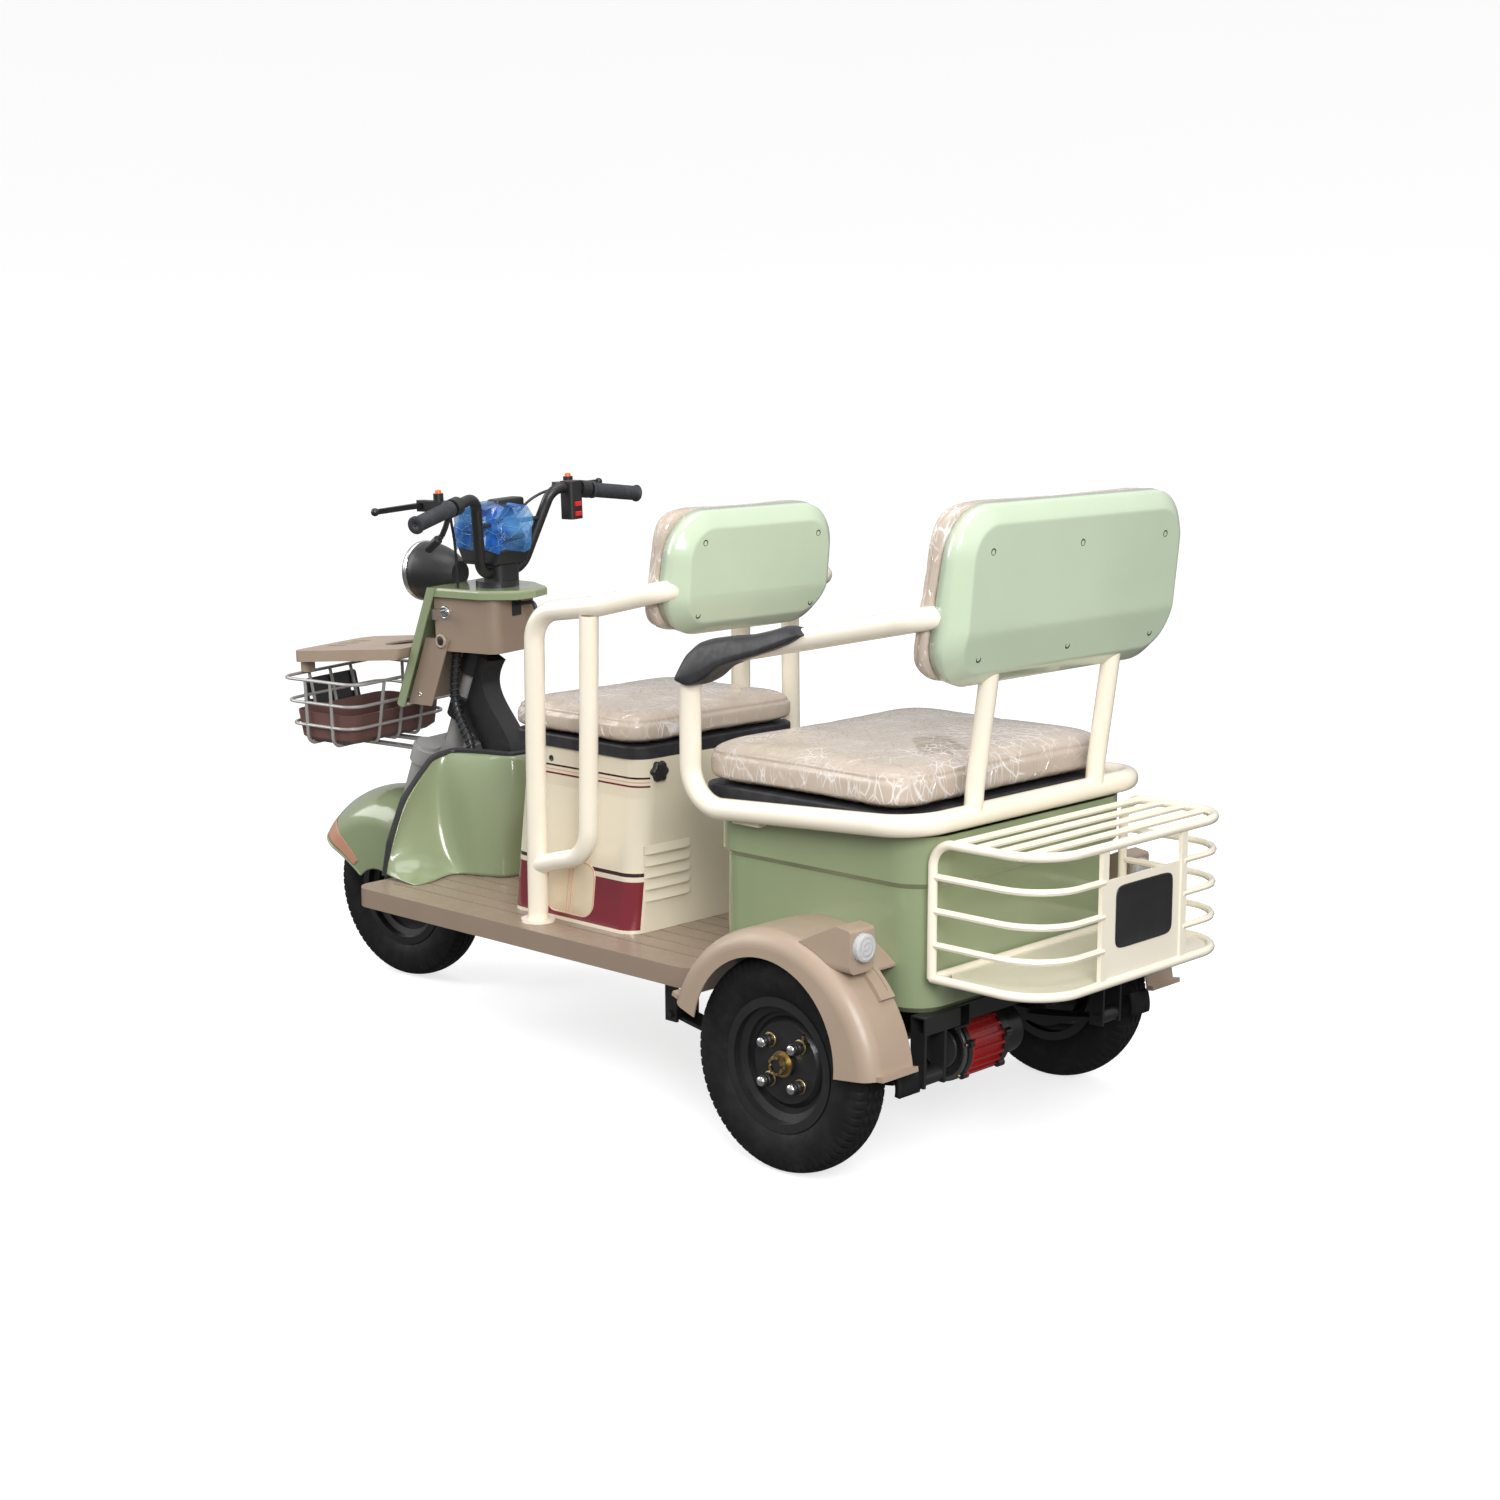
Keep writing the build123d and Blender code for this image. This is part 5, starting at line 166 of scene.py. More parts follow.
def lathe(profile: Sequence[tuple[float, float]], centre: Sequence[float], way: Sequence[float],
          count: int) -> Patch:
    """Turn a profile about an axis.

    A point is centre + along * axis + radius * (cos t * e1 + sin t * e2).

    Args:
        profile: pairs of radius and distance along the axis.
        centre: where the axis starts.
        way: direction of the axis.
        count: steps round the axis.

    Returns:
        The turned surface.
    """
    axis = unit(way)
    pairs = np.asarray(profile, dtype=float)
    ring = spokes(axis, np.linspace(0, 2 * np.pi, count, endpoint=False))
    points = np.asarray(centre) + pairs[:, None, 1:2] * axis + pairs[:, None, 0:1] * ring[None]
    return Patch(points, wrap_v=True)


def swept(path: np.ndarray, radius: np.ndarray | float, count: int, up: Sequence[float],
          closed: bool = False) -> Patch:
    """Carry a circle along a path.

    A point is path(s) + radius(s) * (cos t * side + sin t * over), with side = tangent x up.

    Args:
        path: points of the path.
        radius: radius at each point, or one for all.
        count: steps round the circle.
        up: a direction that is never along the path.
        closed: whether the path meets its own start.

    Returns:
        The tube's surface.
    """
    line = np.asarray(path, dtype=float)
    step = np.roll(line, -1, axis=0) - np.roll(line, 1, axis=0) if closed else np.gradient(line, axis=0)
    step = step / np.linalg.norm(step, axis=1, keepdims=True)
    side = np.cross(step, np.broadcast_to(np.asarray(up, dtype=float), step.shape))
    side = side / np.linalg.norm(side, axis=1, keepdims=True)
    over = np.cross(side, step)
    angle = np.linspace(0, 2 * np.pi, count, endpoint=False)
    size = np.broadcast_to(np.asarray(radius, dtype=float), (len(line),))[:, None, None]
    ring = np.cos(angle)[None, :, None] * side[:, None] + np.sin(angle)[None, :, None] * over[:, None]
    return Patch(line[:, None] + size * ring, wrap_u=closed, wrap_v=True)


def squircle(half: tuple[float, float], power: float, count: int) -> np.ndarray:
    """Rounded rectangle as a superellipse: x = a |cos t|^p sgn cos t, y = b |sin t|^p sgn sin t.

    Args:
        half: half width and half height.
        power: how square it is; 1 is an ellipse.
        count: number of points.

    Returns:
        The points in order, starting at the right.
    """
    angle = np.linspace(0, 2 * np.pi, count, endpoint=False)
    round_way = np.stack((np.cos(angle), np.sin(angle)), axis=1)
    return np.array(half) * np.sign(round_way) * np.abs(round_way) ** power


def run_along(line: np.ndarray) -> np.ndarray:
    """Distance run at each point of a line, from 0 to its length."""
    return np.concatenate(([0.0], np.cumsum(np.linalg.norm(np.diff(line, axis=0), axis=1))))


def smooth_step(value: np.ndarray, low: float, high: float) -> np.ndarray:
    """Ease from 0 to 1 between two values: 3 s^2 - 2 s^3."""
    share = np.clip((value - low) / (high - low), 0, 1)
    return share * share * (3 - 2 * share)


def build_piece(name: str, patches: Sequence[Patch], finish: "Dress",
                smooth: bool = True) -> Piece:
    """Make one object from surfaces, with its seams and poles closed and its faces outwards.

    Args:
        name: the piece's name.
        patches: the surfaces.
        finish: what it is dressed in.
        smooth: whether it is shaded smooth.

    Returns:
        The object, linked to the scene.
    """
    points = [patch.points.reshape(-1, 3) for patch in patches]
    starts = np.cumsum([0] + [len(block) for block in points[:-1]])
    faces = np.vstack([patch.faces(int(start)) for patch, start in zip(patches, starts)])
    mesh = bpy.data.meshes.new(name)
    mesh.from_pydata(np.vstack(points).tolist(), [], faces.tolist())
    work = bmesh.new()
    work.from_mesh(mesh)
    bmesh.ops.remove_doubles(work, verts=work.verts, dist=1e-6)
    bmesh.ops.dissolve_degenerate(work, edges=work.edges, dist=1e-7)
    bmesh.ops.recalc_face_normals(work, faces=work.faces)
    work.to_mesh(mesh)
    work.free()
    mesh.shade_smooth() if smooth else mesh.shade_flat()
    mesh.materials.append(finish.material())
    piece = bpy.data.objects.new(name, mesh)
    bpy.context.scene.collection.objects.link(piece)
    LOG.info("made %s with %d faces", name, len(mesh.polygons))
    return piece


def thicken(piece: Piece, wall: float, offset: float = 0.0) -> None:
    """Give a sheet its wall, half to each side or, at -1, all of it behind.

    Args:
        piece: the sheet.
        wall: its thickness.
        offset: where the wall lies.
    """
    modifier = piece.modifiers.new("wall", "SOLIDIFY")
    modifier.thickness = wall
    modifier.offset = offset


def stand(right: np.ndarray, up: np.ndarray, back: np.ndarray, place: Sequence[float]) -> Matrix:
    """Matrix that turns an object's axes to three directions and puts it at a place.

    Args:
        right: where its x axis points.
        up: where its y axis points.
        back: where its z axis points.
        place: where it stands.

    Returns:
        The matrix.
    """
    turn = np.eye(4)
    turn[:3] = np.column_stack((right, up, back, place))
    return Matrix(turn.tolist())


def settle(piece: Piece, body: str, slot: Optional[str] = None,
           replaced: Sequence[str] = ()) -> None:
    """Let a piece ride on a body, and hide the nodes that it stands for.

    Args:
        piece: the object.
        body: the body it moves with.
        slot: not used.
        replaced: names of the nodes it stands for.
    """
    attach(piece, body)
    if replaced:
        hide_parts(*replaced)


class Bench:
    """Short calls for building one material's nodes."""

    def __init__(self, name: str) -> None:
        """Start a material with a shader that takes Object coordinates.

        Args:
            name: the material's name.
        """
        self.material = bpy.data.materials.new(name)
        self.material.use_nodes = True
        self.tree = self.material.node_tree
        self.tree.nodes.clear()
        output = self.tree.nodes.new("ShaderNodeOutputMaterial")
        self.shader = self.tree.nodes.new("ShaderNodeBsdfPrincipled")
        self.tree.links.new(self.shader.outputs["BSDF"], output.inputs["Surface"])
        self.place = self.tree.nodes.new("ShaderNodeTexCoord").outputs["Object"]

    def set(self, **values: object) -> None:
        """Set sockets of the shader by name, with spaces written as underscores."""
        for key, value in values.items():
            self.shader.inputs[key.replace("_", " ")].default_value = value

    def feed(self, socket: str, source: Socket) -> None:
        """Link a value into a socket of the shader."""
        self.tree.links.new(source, self.shader.inputs[socket])

    def put(self, node: bpy.types.Node, key: object, value: object) -> None:
        """Set or link one input of a node.

        Args:
            node: the node.
            key: the input's name or number.
            value: a plain value, or the socket to link.
        """
        if isinstance(value, Socket):
            self.tree.links.new(value, node.inputs[key])
        else:
            node.inputs[key].default_value = value

    def stretched(self, kind: str, stretch: Sequence[float]) -> bpy.types.Node:
        """A pattern's node, fed with places that are stretched along the axes.

        Args:
            kind: the node's type.
            stretch: how much finer it is along each axis.

        Returns:
            The node.
        """
        mapping = self.tree.nodes.new("ShaderNodeMapping")
        mapping.inputs["Scale"].default_value = stretch
        self.tree.links.new(self.place, mapping.inputs["Vector"])
        node = self.tree.nodes.new(kind)
        self.put(node, "Vector", mapping.outputs["Vector"])
        return node

    def noise(self, scale: float, detail: float = 3.0, bend: float = 0.0,
              stretch: Sequence[float] = (1, 1, 1)) -> Socket:
        """Cloudy pattern of a scale, stretched along the axes.

        Args:
            scale: how fine it is.
            detail: how many finer layers it has.
            bend: how far it is distorted.
            stretch: how much finer it is along each axis.

        Returns:
            Its value, from 0 to 1.
        """
        node = self.stretched("ShaderNodeTexNoise", stretch)
        self.put(node, "Scale", scale)
        self.put(node, "Detail", detail)
        self.put(node, "Distortion", bend)
        return node.outputs["Fac"]

    def cells(self, scale: float, edge: bool = False,
              stretch: Sequence[float] = (1, 1, 1)) -> Socket:
        """Pebbled pattern of a scale, or the distance to its edges, stretched along the axes.

        Args:
            scale: how fine it is.
            edge: whether to measure to the edges.
            stretch: how much finer it is along each axis.

        Returns:
            The distance.
        """
        node = self.stretched("ShaderNodeTexVoronoi", stretch)
        node.feature = "DISTANCE_TO_EDGE" if edge else "F1"
        self.put(node, "Scale", scale)
        return node.outputs["Distance"]

    def span(self, value: Socket, low: float, high: float, start: float,
             stop: float) -> Socket:
        """Stretch a value from one range to another, held at its ends.

        Args:
            value: what is stretched.
            low: where it starts.
            high: where it ends.
            start: what the start becomes.
            stop: what the end becomes.

        Returns:
            The new value.
        """
        node = self.tree.nodes.new("ShaderNodeMapRange")
        keys = ("Value", "From Min", "From Max", "To Min", "To Max")
        for key, entry in zip(keys, (value, low, high, start, stop)):
            self.put(node, key, entry)
        return node.outputs["Result"]

    def math(self, deed: str, first: object, second: object = 0.0) -> Socket:
        """One sum on two values.

        Args:
            deed: the node's operation.
            first: a value or socket.
            second: a value or socket.

        Returns:
            The result.
        """
        node = self.tree.nodes.new("ShaderNodeMath")
        node.operation = deed
        self.put(node, 0, first)
        self.put(node, 1, second)
        return node.outputs[0]

    def within(self, value: Socket, low: float, high: float) -> Socket:
        """1 where a value lies in a band, otherwise 0."""
        above = self.math("GREATER_THAN", value, low)
        return self.math("MULTIPLY", above, self.math("LESS_THAN", value, high))

    def mix(self, share: object, first: object, second: object) -> Socket:
        """Blend two colours.

        Args:
            share: how much of the second.
            first: a colour or socket.
            second: a colour or socket.

        Returns:
            The blend.
        """
        node = self.tree.nodes.new("ShaderNodeMix")
        node.data_type = "RGBA"
        self.put(node, 0, share)
        for key, entry in ((6, first), (7, second)):
            self.put(node, key, (*entry, 1.0) if isinstance(entry, tuple) else entry)
        return node.outputs[2]

    def axes(self) -> tuple[Socket, ...]:
        """X, Y and Z of the surface in the part's frame.

        Returns:
            The three sockets.
        """
        node = self.tree.nodes.new("ShaderNodeSeparateXYZ")
        self.put(node, 0, self.place)
        return tuple(node.outputs)

    def bump(self, height: Socket, strength: float, reach: float,
             over: Optional[Socket] = None) -> Socket:
        """Relief from a height, in metres at full strength.

        Args:
            height: the pattern.
            strength: share of the relief that shows.
            reach: its full depth.
            over: a relief that it lies on.

        Returns:
            The normal.
        """
        node = self.tree.nodes.new("ShaderNodeBump")
        self.put(node, "Height", height)
        self.put(node, "Strength", strength)
        self.put(node, "Distance", reach)
        if over is not None:
            self.put(node, "Normal", over)
        return node.outputs["Normal"]


def shade(colour: Colour, share: float) -> Colour:
    """A colour made lighter or darker by a share."""
    return tuple(min(1.0, channel * share) for channel in colour)


class Sheen(Enum):
    """How a hard surface takes the light: roughness and clear coat."""

    GLOSS = (0.20, 0.7)
    SATIN = (0.38, 0.15)
    MATT = (0.58, 0.0)


@dataclass(frozen=True)
class Finish:
    """A finish with one main colour; each kind adds its own grain."""

    name: str
    colour: Colour

    def material(self) -> bpy.types.Material:
        """The finish as a material, made once."""
        found = bpy.data.materials.get(self.look())
        return found if found else self.make()

    def look(self) -> str:
        """The material's name, apart from the names that the frame brings."""
        return self.name + "_look"

    def make(self) -> bpy.types.Material:
        """Build the material; each kind of finish has its own way."""
        raise NotImplementedError

    def tone(self, bench: Bench, scale: float, depth: float) -> Socket:
        """The main colour drifting a little lighter and darker over the piece."""
        drift = bench.span(bench.noise(scale, 4.0), 0.3, 0.7, 0.0, 1.0)
        return bench.mix(drift, shade(self.colour, 1 - depth), shade(self.colour, 1 + depth))


@dataclass(frozen=True)
class Paint(Finish):
    """Sprayed paint or moulded gloss panel with a faint orange peel and rub marks."""

    sheen: Sheen = Sheen.GLOSS
    depth: float = 0.035
    peel: float = 0.05

    def make(self) -> bpy.types.Material:
        """Drifting colour under the gloss.

        Returns:
            The material.
        """
        bench = Bench(self.look())
        bench.feed("Base Color", self.tone(bench, 5.0, self.depth))
        self.gloss(bench, 1.35)
        return bench.material

    def gloss(self, bench: Bench, dullest: float) -> None:
        """Uneven gloss with a clear coat and a fine peel.

        Args:
            bench: the material's bench.
            dullest: roughness of the most rubbed places, as a share of the sheen's.
        """
        rough, coat = self.sheen.value
        rub = bench.noise(26.0, 6.0, 0.6)
        bench.feed("Roughness", bench.span(rub, 0.35, 0.75, rough * 0.85, rough * dullest))
        bench.set(Coat_Weight=coat, Coat_Roughness=0.06)
        bench.feed("Normal", bench.bump(bench.noise(420.0, 2.0), self.peel, 0.0006))


@dataclass(frozen=True)
class Moulded(Finish):
    """Moulded plastic with a fine pebbled grain."""

    sheen: Sheen = Sheen.SATIN
    grain: float = 900.0
    relief: float = 0.12

    def make(self) -> bpy.types.Material:
        """Pebbles, drifting colour and rubbed gloss.

        Returns:
            The material.
        """
        bench = Bench(self.look())
        rough, coat = self.sheen.value
        bench.feed("Base Color", self.tone(bench, 7.0, 0.05))
        bench.feed("Roughness", bench.span(bench.noise(40.0, 5.0), 0.3, 0.7, rough * 0.9, rough * 1.25))
        bench.set(Coat_Weight=coat, Coat_Roughness=0.2)
        bench.feed("Normal", bench.bump(bench.cells(self.grain), self.relief, 0.0008))
        return bench.material


@dataclass(frozen=True)
class Rubber(Finish):
    """Black rubber with a dusty bloom."""

    rough: float = 0.62
    shine: float = 0.30

    def make(self) -> bpy.types.Material:
        """Bloom in the colour, fine pitting in the relief.

        Returns:
            The material.
        """
        bench = Bench(self.look())
        bloom = bench.span(bench.noise(34.0, 8.0, 0.4), 0.45, 0.8, 0.0, 1.0)
        bench.feed("Base Color", bench.mix(bloom, self.colour, shade(self.colour, 1.9)))
        bench.feed("Roughness", bench.span(bench.noise(90.0), 0.3, 0.7, self.rough * 0.85, self.rough * 1.15))
        bench.feed("Normal", bench.bump(bench.noise(1500.0, 2.0), 0.16, 0.0005))
        bench.set(Specular_IOR_Level=self.shine)
        return bench.material


@dataclass(frozen=True)
class Metal(Finish):
    """Bare or plated metal with drawn lines and handling marks."""

    rough: float = 0.25

    def make(self) -> bpy.types.Material:
        """Metallic base with streaked gloss.

        Returns:
            The material.
        """
        bench = Bench(self.look())
        bench.set(Metallic=1.0)
        bench.feed("Base Color", self.tone(bench, 30.0, 0.08))
        streak = bench.noise(160.0, 4.0, 0.0, (1.0, 1.0, 0.1))
        bench.feed("Roughness", bench.span(streak, 0.3, 0.7, self.rough * 0.75, self.rough * 1.4))
        bench.feed("Normal", bench.bump(streak, 0.05, 0.0003))
        return bench.material


@dataclass(frozen=True)
class Upholstery(Finish):
    """Imitation leather under a loose clear cover: pebbled grain below, creased gloss on top, and painted
    highlights along the creases.
    """

    folds: tuple[tuple[float, Point], ...] = (
        (16.0, (1.0, 0.8, 0.22)),
        (30.0, (0.8, 1.0, 0.26)),
        (52.0, (1.0, 0.9, 0.30)),
    )

    def make(self) -> bpy.types.Material:
        """Grain in the relief, creases in the clear coat, and a painted highlight of near-white on the base
        colour along part of the creases.

        Returns:
            The material.
        """
        bench = Bench(self.look())
        worn = bench.span(bench.noise(18.0, 6.0, 0.5), 0.35, 0.7, 0.0, 1.0)
        tone = bench.mix(worn, shade(self.colour, 0.95), shade(self.colour, 1.05))
        creases = [self.crease(bench, scale, stretch) for scale, stretch in self.folds]
        fold = bench.math("MAXIMUM", bench.math("MAXIMUM", creases[0], creases[1]), creases[2])
        # Painted highlight: near-white streaks in the base colour along the creases, in patches, stand in for
        # light caught by the cover's film.
        painted_highlight = bench.math("MULTIPLY", fold, bench.span(bench.noise(11.0, 3.0), 0.44, 0.62, 0.0, 0.80))
        bench.feed("Base Color", bench.mix(painted_highlight, tone, (0.93, 0.93, 0.93)))
        grain = bench.bump(bench.cells(620.0), 0.22, 0.0008)
        soft = bench.bump(bench.noise(26.0, 2.0, 0.4), 0.25, 0.0050, grain)
        bench.feed("Normal", soft)
        bench.feed("Roughness", bench.span(bench.noise(70.0, 4.0), 0.3, 0.7, 0.42, 0.60))
        bench.feed("Coat Normal", bench.bump(fold, 0.9, 0.0045))
        bench.set(Coat_Weight=1.0, Coat_Roughness=0.05)
        return bench.material

    def crease(self, bench: Bench, scale: float, stretch: Point) -> Socket:
        """Straight thin lines along the edges of a stretched cell pattern."""
        return bench.span(bench.cells(scale, True, stretch), 0.0, 0.0009 * scale, 1.0, 0.0)


@dataclass(frozen=True)
class Glass(Finish):
    """Clear moulded lens with pressed facets."""

    facet: float = 160.0
    clear: float = 0.95

    def make(self) -> bpy.types.Material:
        """Transmission with a cellular relief.

        Returns:
            The material.
        """
        bench = Bench(self.look())
        bench.set(Base_Color=(*self.colour, 1.0), Transmission_Weight=self.clear, Roughness=0.05, IOR=1.46)
        bench.feed("Normal", bench.bump(bench.cells(self.facet), 0.35, 0.0016))
        return bench.material


@dataclass(frozen=True)
class Film(Finish):
    """Thin tinted cover with sharp creases, partly seen through."""

    def make(self) -> bpy.types.Material:
        """Tinted gloss whose creases are painted paler as highlights, with random paler patches of tint.

        Returns:
            The material.
        """
        bench = Bench(self.look())
        crease = bench.span(bench.cells(24.0, True, (1.0, 1.0, 1.5)), 0.0, 0.045, 1.0, 0.0)
        fold = bench.span(bench.noise(20.0, 2.0), 0.35, 0.65, 0.0, 0.75)
        # Painted highlight: the creases are painted a paler blue where the film would catch the light; the
        # noise adds random paler patches.
        crease_highlight_and_patches = bench.math("MAXIMUM", crease, fold)
        bench.feed("Base Color", bench.mix(crease_highlight_and_patches, self.colour, (0.10, 0.36, 0.70)))
        bench.feed("Normal", bench.bump(crease, 0.5, 0.0030))
        bench.feed("Alpha", bench.span(bench.noise(18.0, 2.0), 0.35, 0.65, 0.40, 0.85))
        bench.set(Roughness=0.12, Coat_Weight=0.6, Coat_Roughness=0.04)
        return bench.material


@dataclass(frozen=True)
class MotorPaint(Paint):
    """Red case between two black end covers, told apart by the distance across the vehicle."""

    covers: tuple[float, float] = (-0.004, 0.085)
    cover_colour: Colour = (0.022, 0.022, 0.024)

    def make(self) -> bpy.types.Material:
        """Two colours split at the joints of the covers.

        Returns:
            The material.
        """
        bench = Bench(self.look())
        case = bench.within(bench.axes()[0], *self.covers)
        bench.feed("Base Color", bench.mix(case, self.cover_colour, self.tone(bench, 20.0, 0.12)))
        bench.feed("Roughness", bench.span(bench.noise(60.0, 5.0), 0.3, 0.7, 0.24, 0.42))
        bench.feed("Normal", bench.bump(bench.noise(900.0, 2.0), 0.10, 0.0004))
        bench.set(Coat_Weight=0.3, Coat_Roughness=0.12)
        return bench.material


@dataclass(frozen=True)
class BoxPrint(Paint):
    """Cream moulding with wine-red bands printed round its front and sides."""

    band: Colour = (0.185, 0.016, 0.028)
    dark: Colour = (0.045, 0.008, 0.016)
    blush: Colour = (0.62, 0.33, 0.24)
    end: float = 0.0995

    def bands(self) -> tuple[tuple[float, float, Colour], ...]:
        """Lower edge, upper edge and colour of each band.

        Returns:
            One row a band.
        """
        return (
            (0.293, 0.382, self.band),
            (0.391, 0.398, self.dark),
            (0.5555, 0.5592, self.band),
            (0.5640, 0.5656, self.blush),
            (0.5710, 0.5747, self.dark),
        )

    def make(self) -> bpy.types.Material:
        """Bands by height, stopped just round the rear corners.

        Returns:
            The material.
        """
        bench = Bench(self.look())
        _, along, height = bench.axes()
        side = bench.math("LESS_THAN", along, self.end)
        colour = self.tone(bench, 5.0, self.depth)
        for low, high, tint in self.bands():
            printed = bench.math("MULTIPLY", side, bench.within(height, low, high))
            colour = bench.mix(printed, colour, tint)
        bench.feed("Base Color", colour)
        self.gloss(bench, 1.3)
        return bench.material


@dataclass(frozen=True)
class Backdrop(Finish):
    """Pale studio paper that glows a little, so that shadows on it stay soft."""

    glow: float = 0.72

    def make(self) -> bpy.types.Material:
        """Matt paper with a faint mottle and its own light.

        Returns:
            The material.
        """
        bench = Bench(self.look())
        bench.feed("Base Color", self.tone(bench, 0.6, 0.01))
        bench.set(Roughness=0.9, Specular_IOR_Level=0.0)
        bench.set(Emission_Color=(1.0, 1.0, 1.0, 1.0), Emission_Strength=self.glow)
        return bench.material


class Dress(Enum):
    """Every finish on the runabout."""

    STUDIO = Backdrop("studio_paper", (0.50, 0.50, 0.50))
    # Lit and shaded copies of one green: the backrest shells are painted lighter for the light they catch,
    # partly also for their clear protective film; the tub, leg shield, fairing and front fender are painted
    # darker for the shade they sit in.
    SHELL_LIT = Paint("shell_panel_lit", (0.560, 0.665, 0.490))
    SAGE = Paint("sage_panel_shaded", (0.270, 0.325, 0.185))
    CREAM = Paint("cream_paint", (0.92, 0.845, 0.700))
    BEIGE = Moulded("beige_plastic", (0.395, 0.300, 0.225))
    FLOOR = Moulded("floor_plastic", (0.300, 0.226, 0.168))
    BLACK_PAINT = Paint("black_paint", (0.016, 0.016, 0.017), Sheen.SATIN)
    BLACK_PLASTIC = Moulded("black_plastic", (0.018, 0.018, 0.019))
    SEAT_EDGE = Rubber("seat_edge", (0.022, 0.022, 0.026), 0.45)
    COVER = Upholstery("beige_cover", (0.540, 0.445, 0.365))
    TYRE = Rubber("tyre_rubber", (0.010, 0.010, 0.010), 0.62, 0.22)
    GRIP = Rubber("grip_rubber", (0.036, 0.038, 0.045), 0.55)
    ARMREST = Rubber("armrest_skin", (0.020, 0.020, 0.022), 0.46, 0.4)
    SCREW = Moulded("screw_black", (0.030, 0.036, 0.028), Sheen.MATT)
    SILVER = Paint("silver_paint", (0.33, 0.325, 0.315), Sheen.SATIN)
    CHROME = Metal("chrome_plate", (0.78, 0.78, 0.79), 0.12)
    ZINC = Metal("yellow_zinc", (0.52, 0.40, 0.20), 0.32)
    OLIVE = Metal("olive_zinc", (0.36, 0.31, 0.17), 0.38)
    WIRE = Paint("basket_wire", (0.34, 0.330, 0.315))
    LINER = Moulded("brown_liner", (0.150, 0.072, 0.062), Sheen.SATIN, 420.0, 0.22)
    LENS = Glass("clear_lens", (0.95, 0.96, 0.97), 120.0, 0.7)
    # Pale grey body with little transmission: partly the lens's own whitish look, partly a painted reflection
    # of the bright reflector and highlights that a clear lens shows.
    CRYSTAL = Glass("tail_crystal", (0.66, 0.67, 0.68), 210.0, 0.22)
    RED = Paint("red_switch", (0.62, 0.020, 0.016))
    ORANGE = Moulded("orange_plug", (0.80, 0.150, 0.020))
    END_PLATE = Paint("motor_end_plate", (0.045, 0.045, 0.046), Sheen.SATIN)
    # Painted highlight: the motor's end rim is painted a lighter grey than the end plate, standing for the
    # ring of light it catches.
    END_RIM_HIGHLIGHT = Paint("motor_end_rim_highlight", (0.075, 0.075, 0.078), Sheen.SATIN)
    MOTOR = MotorPaint("motor_paint", (0.430, 0.014, 0.016))
    LOUVRE = Paint("louvre_cream", (0.74, 0.670, 0.530))
    BOX = BoxPrint("box_print", (0.76, 0.690, 0.545))
    PRINT = Moulded("pocket_print", (0.66, 0.56, 0.40), Sheen.SATIN, 260.0, 0.25)
    STRIPE = Paint("peach_stripe", (0.520, 0.270, 0.175), Sheen.SATIN)
    PIPING = Paint("pocket_piping", (0.66, 0.42, 0.31))
    FILM = Film("blue_film", (0.012, 0.120, 0.520))
    CASE = Moulded("battery_case", (0.030, 0.030, 0.033))
    ALLOY = Metal("cast_alloy", (0.50, 0.50, 0.49), 0.42)

    def material(self) -> bpy.types.Material:
        """The finish as a material."""
        return self.value.material()


NODE_DRESS: dict[Dress, tuple[str, ...]] = {
    Dress.SAGE: ("leg_shield", "rear_tub", "front_fairing", "front_fender"),
    Dress.SHELL_LIT: ("driver_backrest_shell", "rear_backrest_shell"),
    Dress.CREAM: ("driver_frames", "rear_rail", "rear_basket", "armrest_right"),
    Dress.BEIGE: ("rear_fenders", "basket_shelf"),
    Dress.FLOOR: ("footboard_front", "footboard_rear", "dash_box"),
    Dress.BLACK_PAINT: ("main_frame", "steering_neck", "rear_springs", "axle_housing", "rear_wheel_left",
                        "rear_wheel_right", "handlebar", "fork_sliders", "front_wheel", "front_plate_holder",
                        "brake_lever_left", "brake_lever_right"),
    Dress.BLACK_PLASTIC: ("leg_shield_trim", "instrument_cluster", "control_clamps", "headlight_shell",
                          "bag_hook", "wiring_loom", "brake_cables"),
    Dress.SEAT_EDGE: ("driver_seat_base", "rear_seat_base"),
    Dress.ARMREST: ("armrest_pad_left", "armrest_pad_right"),
    Dress.SILVER: ("front_fork",),
    Dress.WIRE: ("front_basket",),
    Dress.LINER: ("basket_liner",),
    Dress.LENS: ("headlight_lens",),
    Dress.CRYSTAL: ("tail_lamp_lenses",),
    Dress.CHROME: ("ignition_key",),
    Dress.OLIVE: ("rear_brake_arms",),
    Dress.RED: ("light_rocker", "reverse_rocker"),
    Dress.MOTOR: ("drive_motor",),
    Dress.BOX: ("seat_box",),
    Dress.CASE: ("battery_pack",),
    Dress.ALLOY: ("motor_controller",),
    Dress.COVER: ("driver_seat_cushion", "rear_seat_cushion", "driver_backrest_cushion",
                  "rear_backrest_cushion"),
    Dress.TYRE: ("rear_tyre_left", "rear_tyre_right", "front_tyre"),
    Dress.GRIP: ("grip_left", "throttle_grip"),
}


def dress_nodes(nodes: dict[str, Piece]) -> None:
    """Give every carried-over node its finish.

    Args:
        nodes: the frame's objects by node name.
    """
    for dress, names in NODE_DRESS.items():
        for name in names:
            mesh = nodes[name].data
            mesh.materials.clear()
            mesh.materials.append(dress.material())
    LOG.info("dressed %d nodes", sum(len(names) for names in NODE_DRESS.values()))


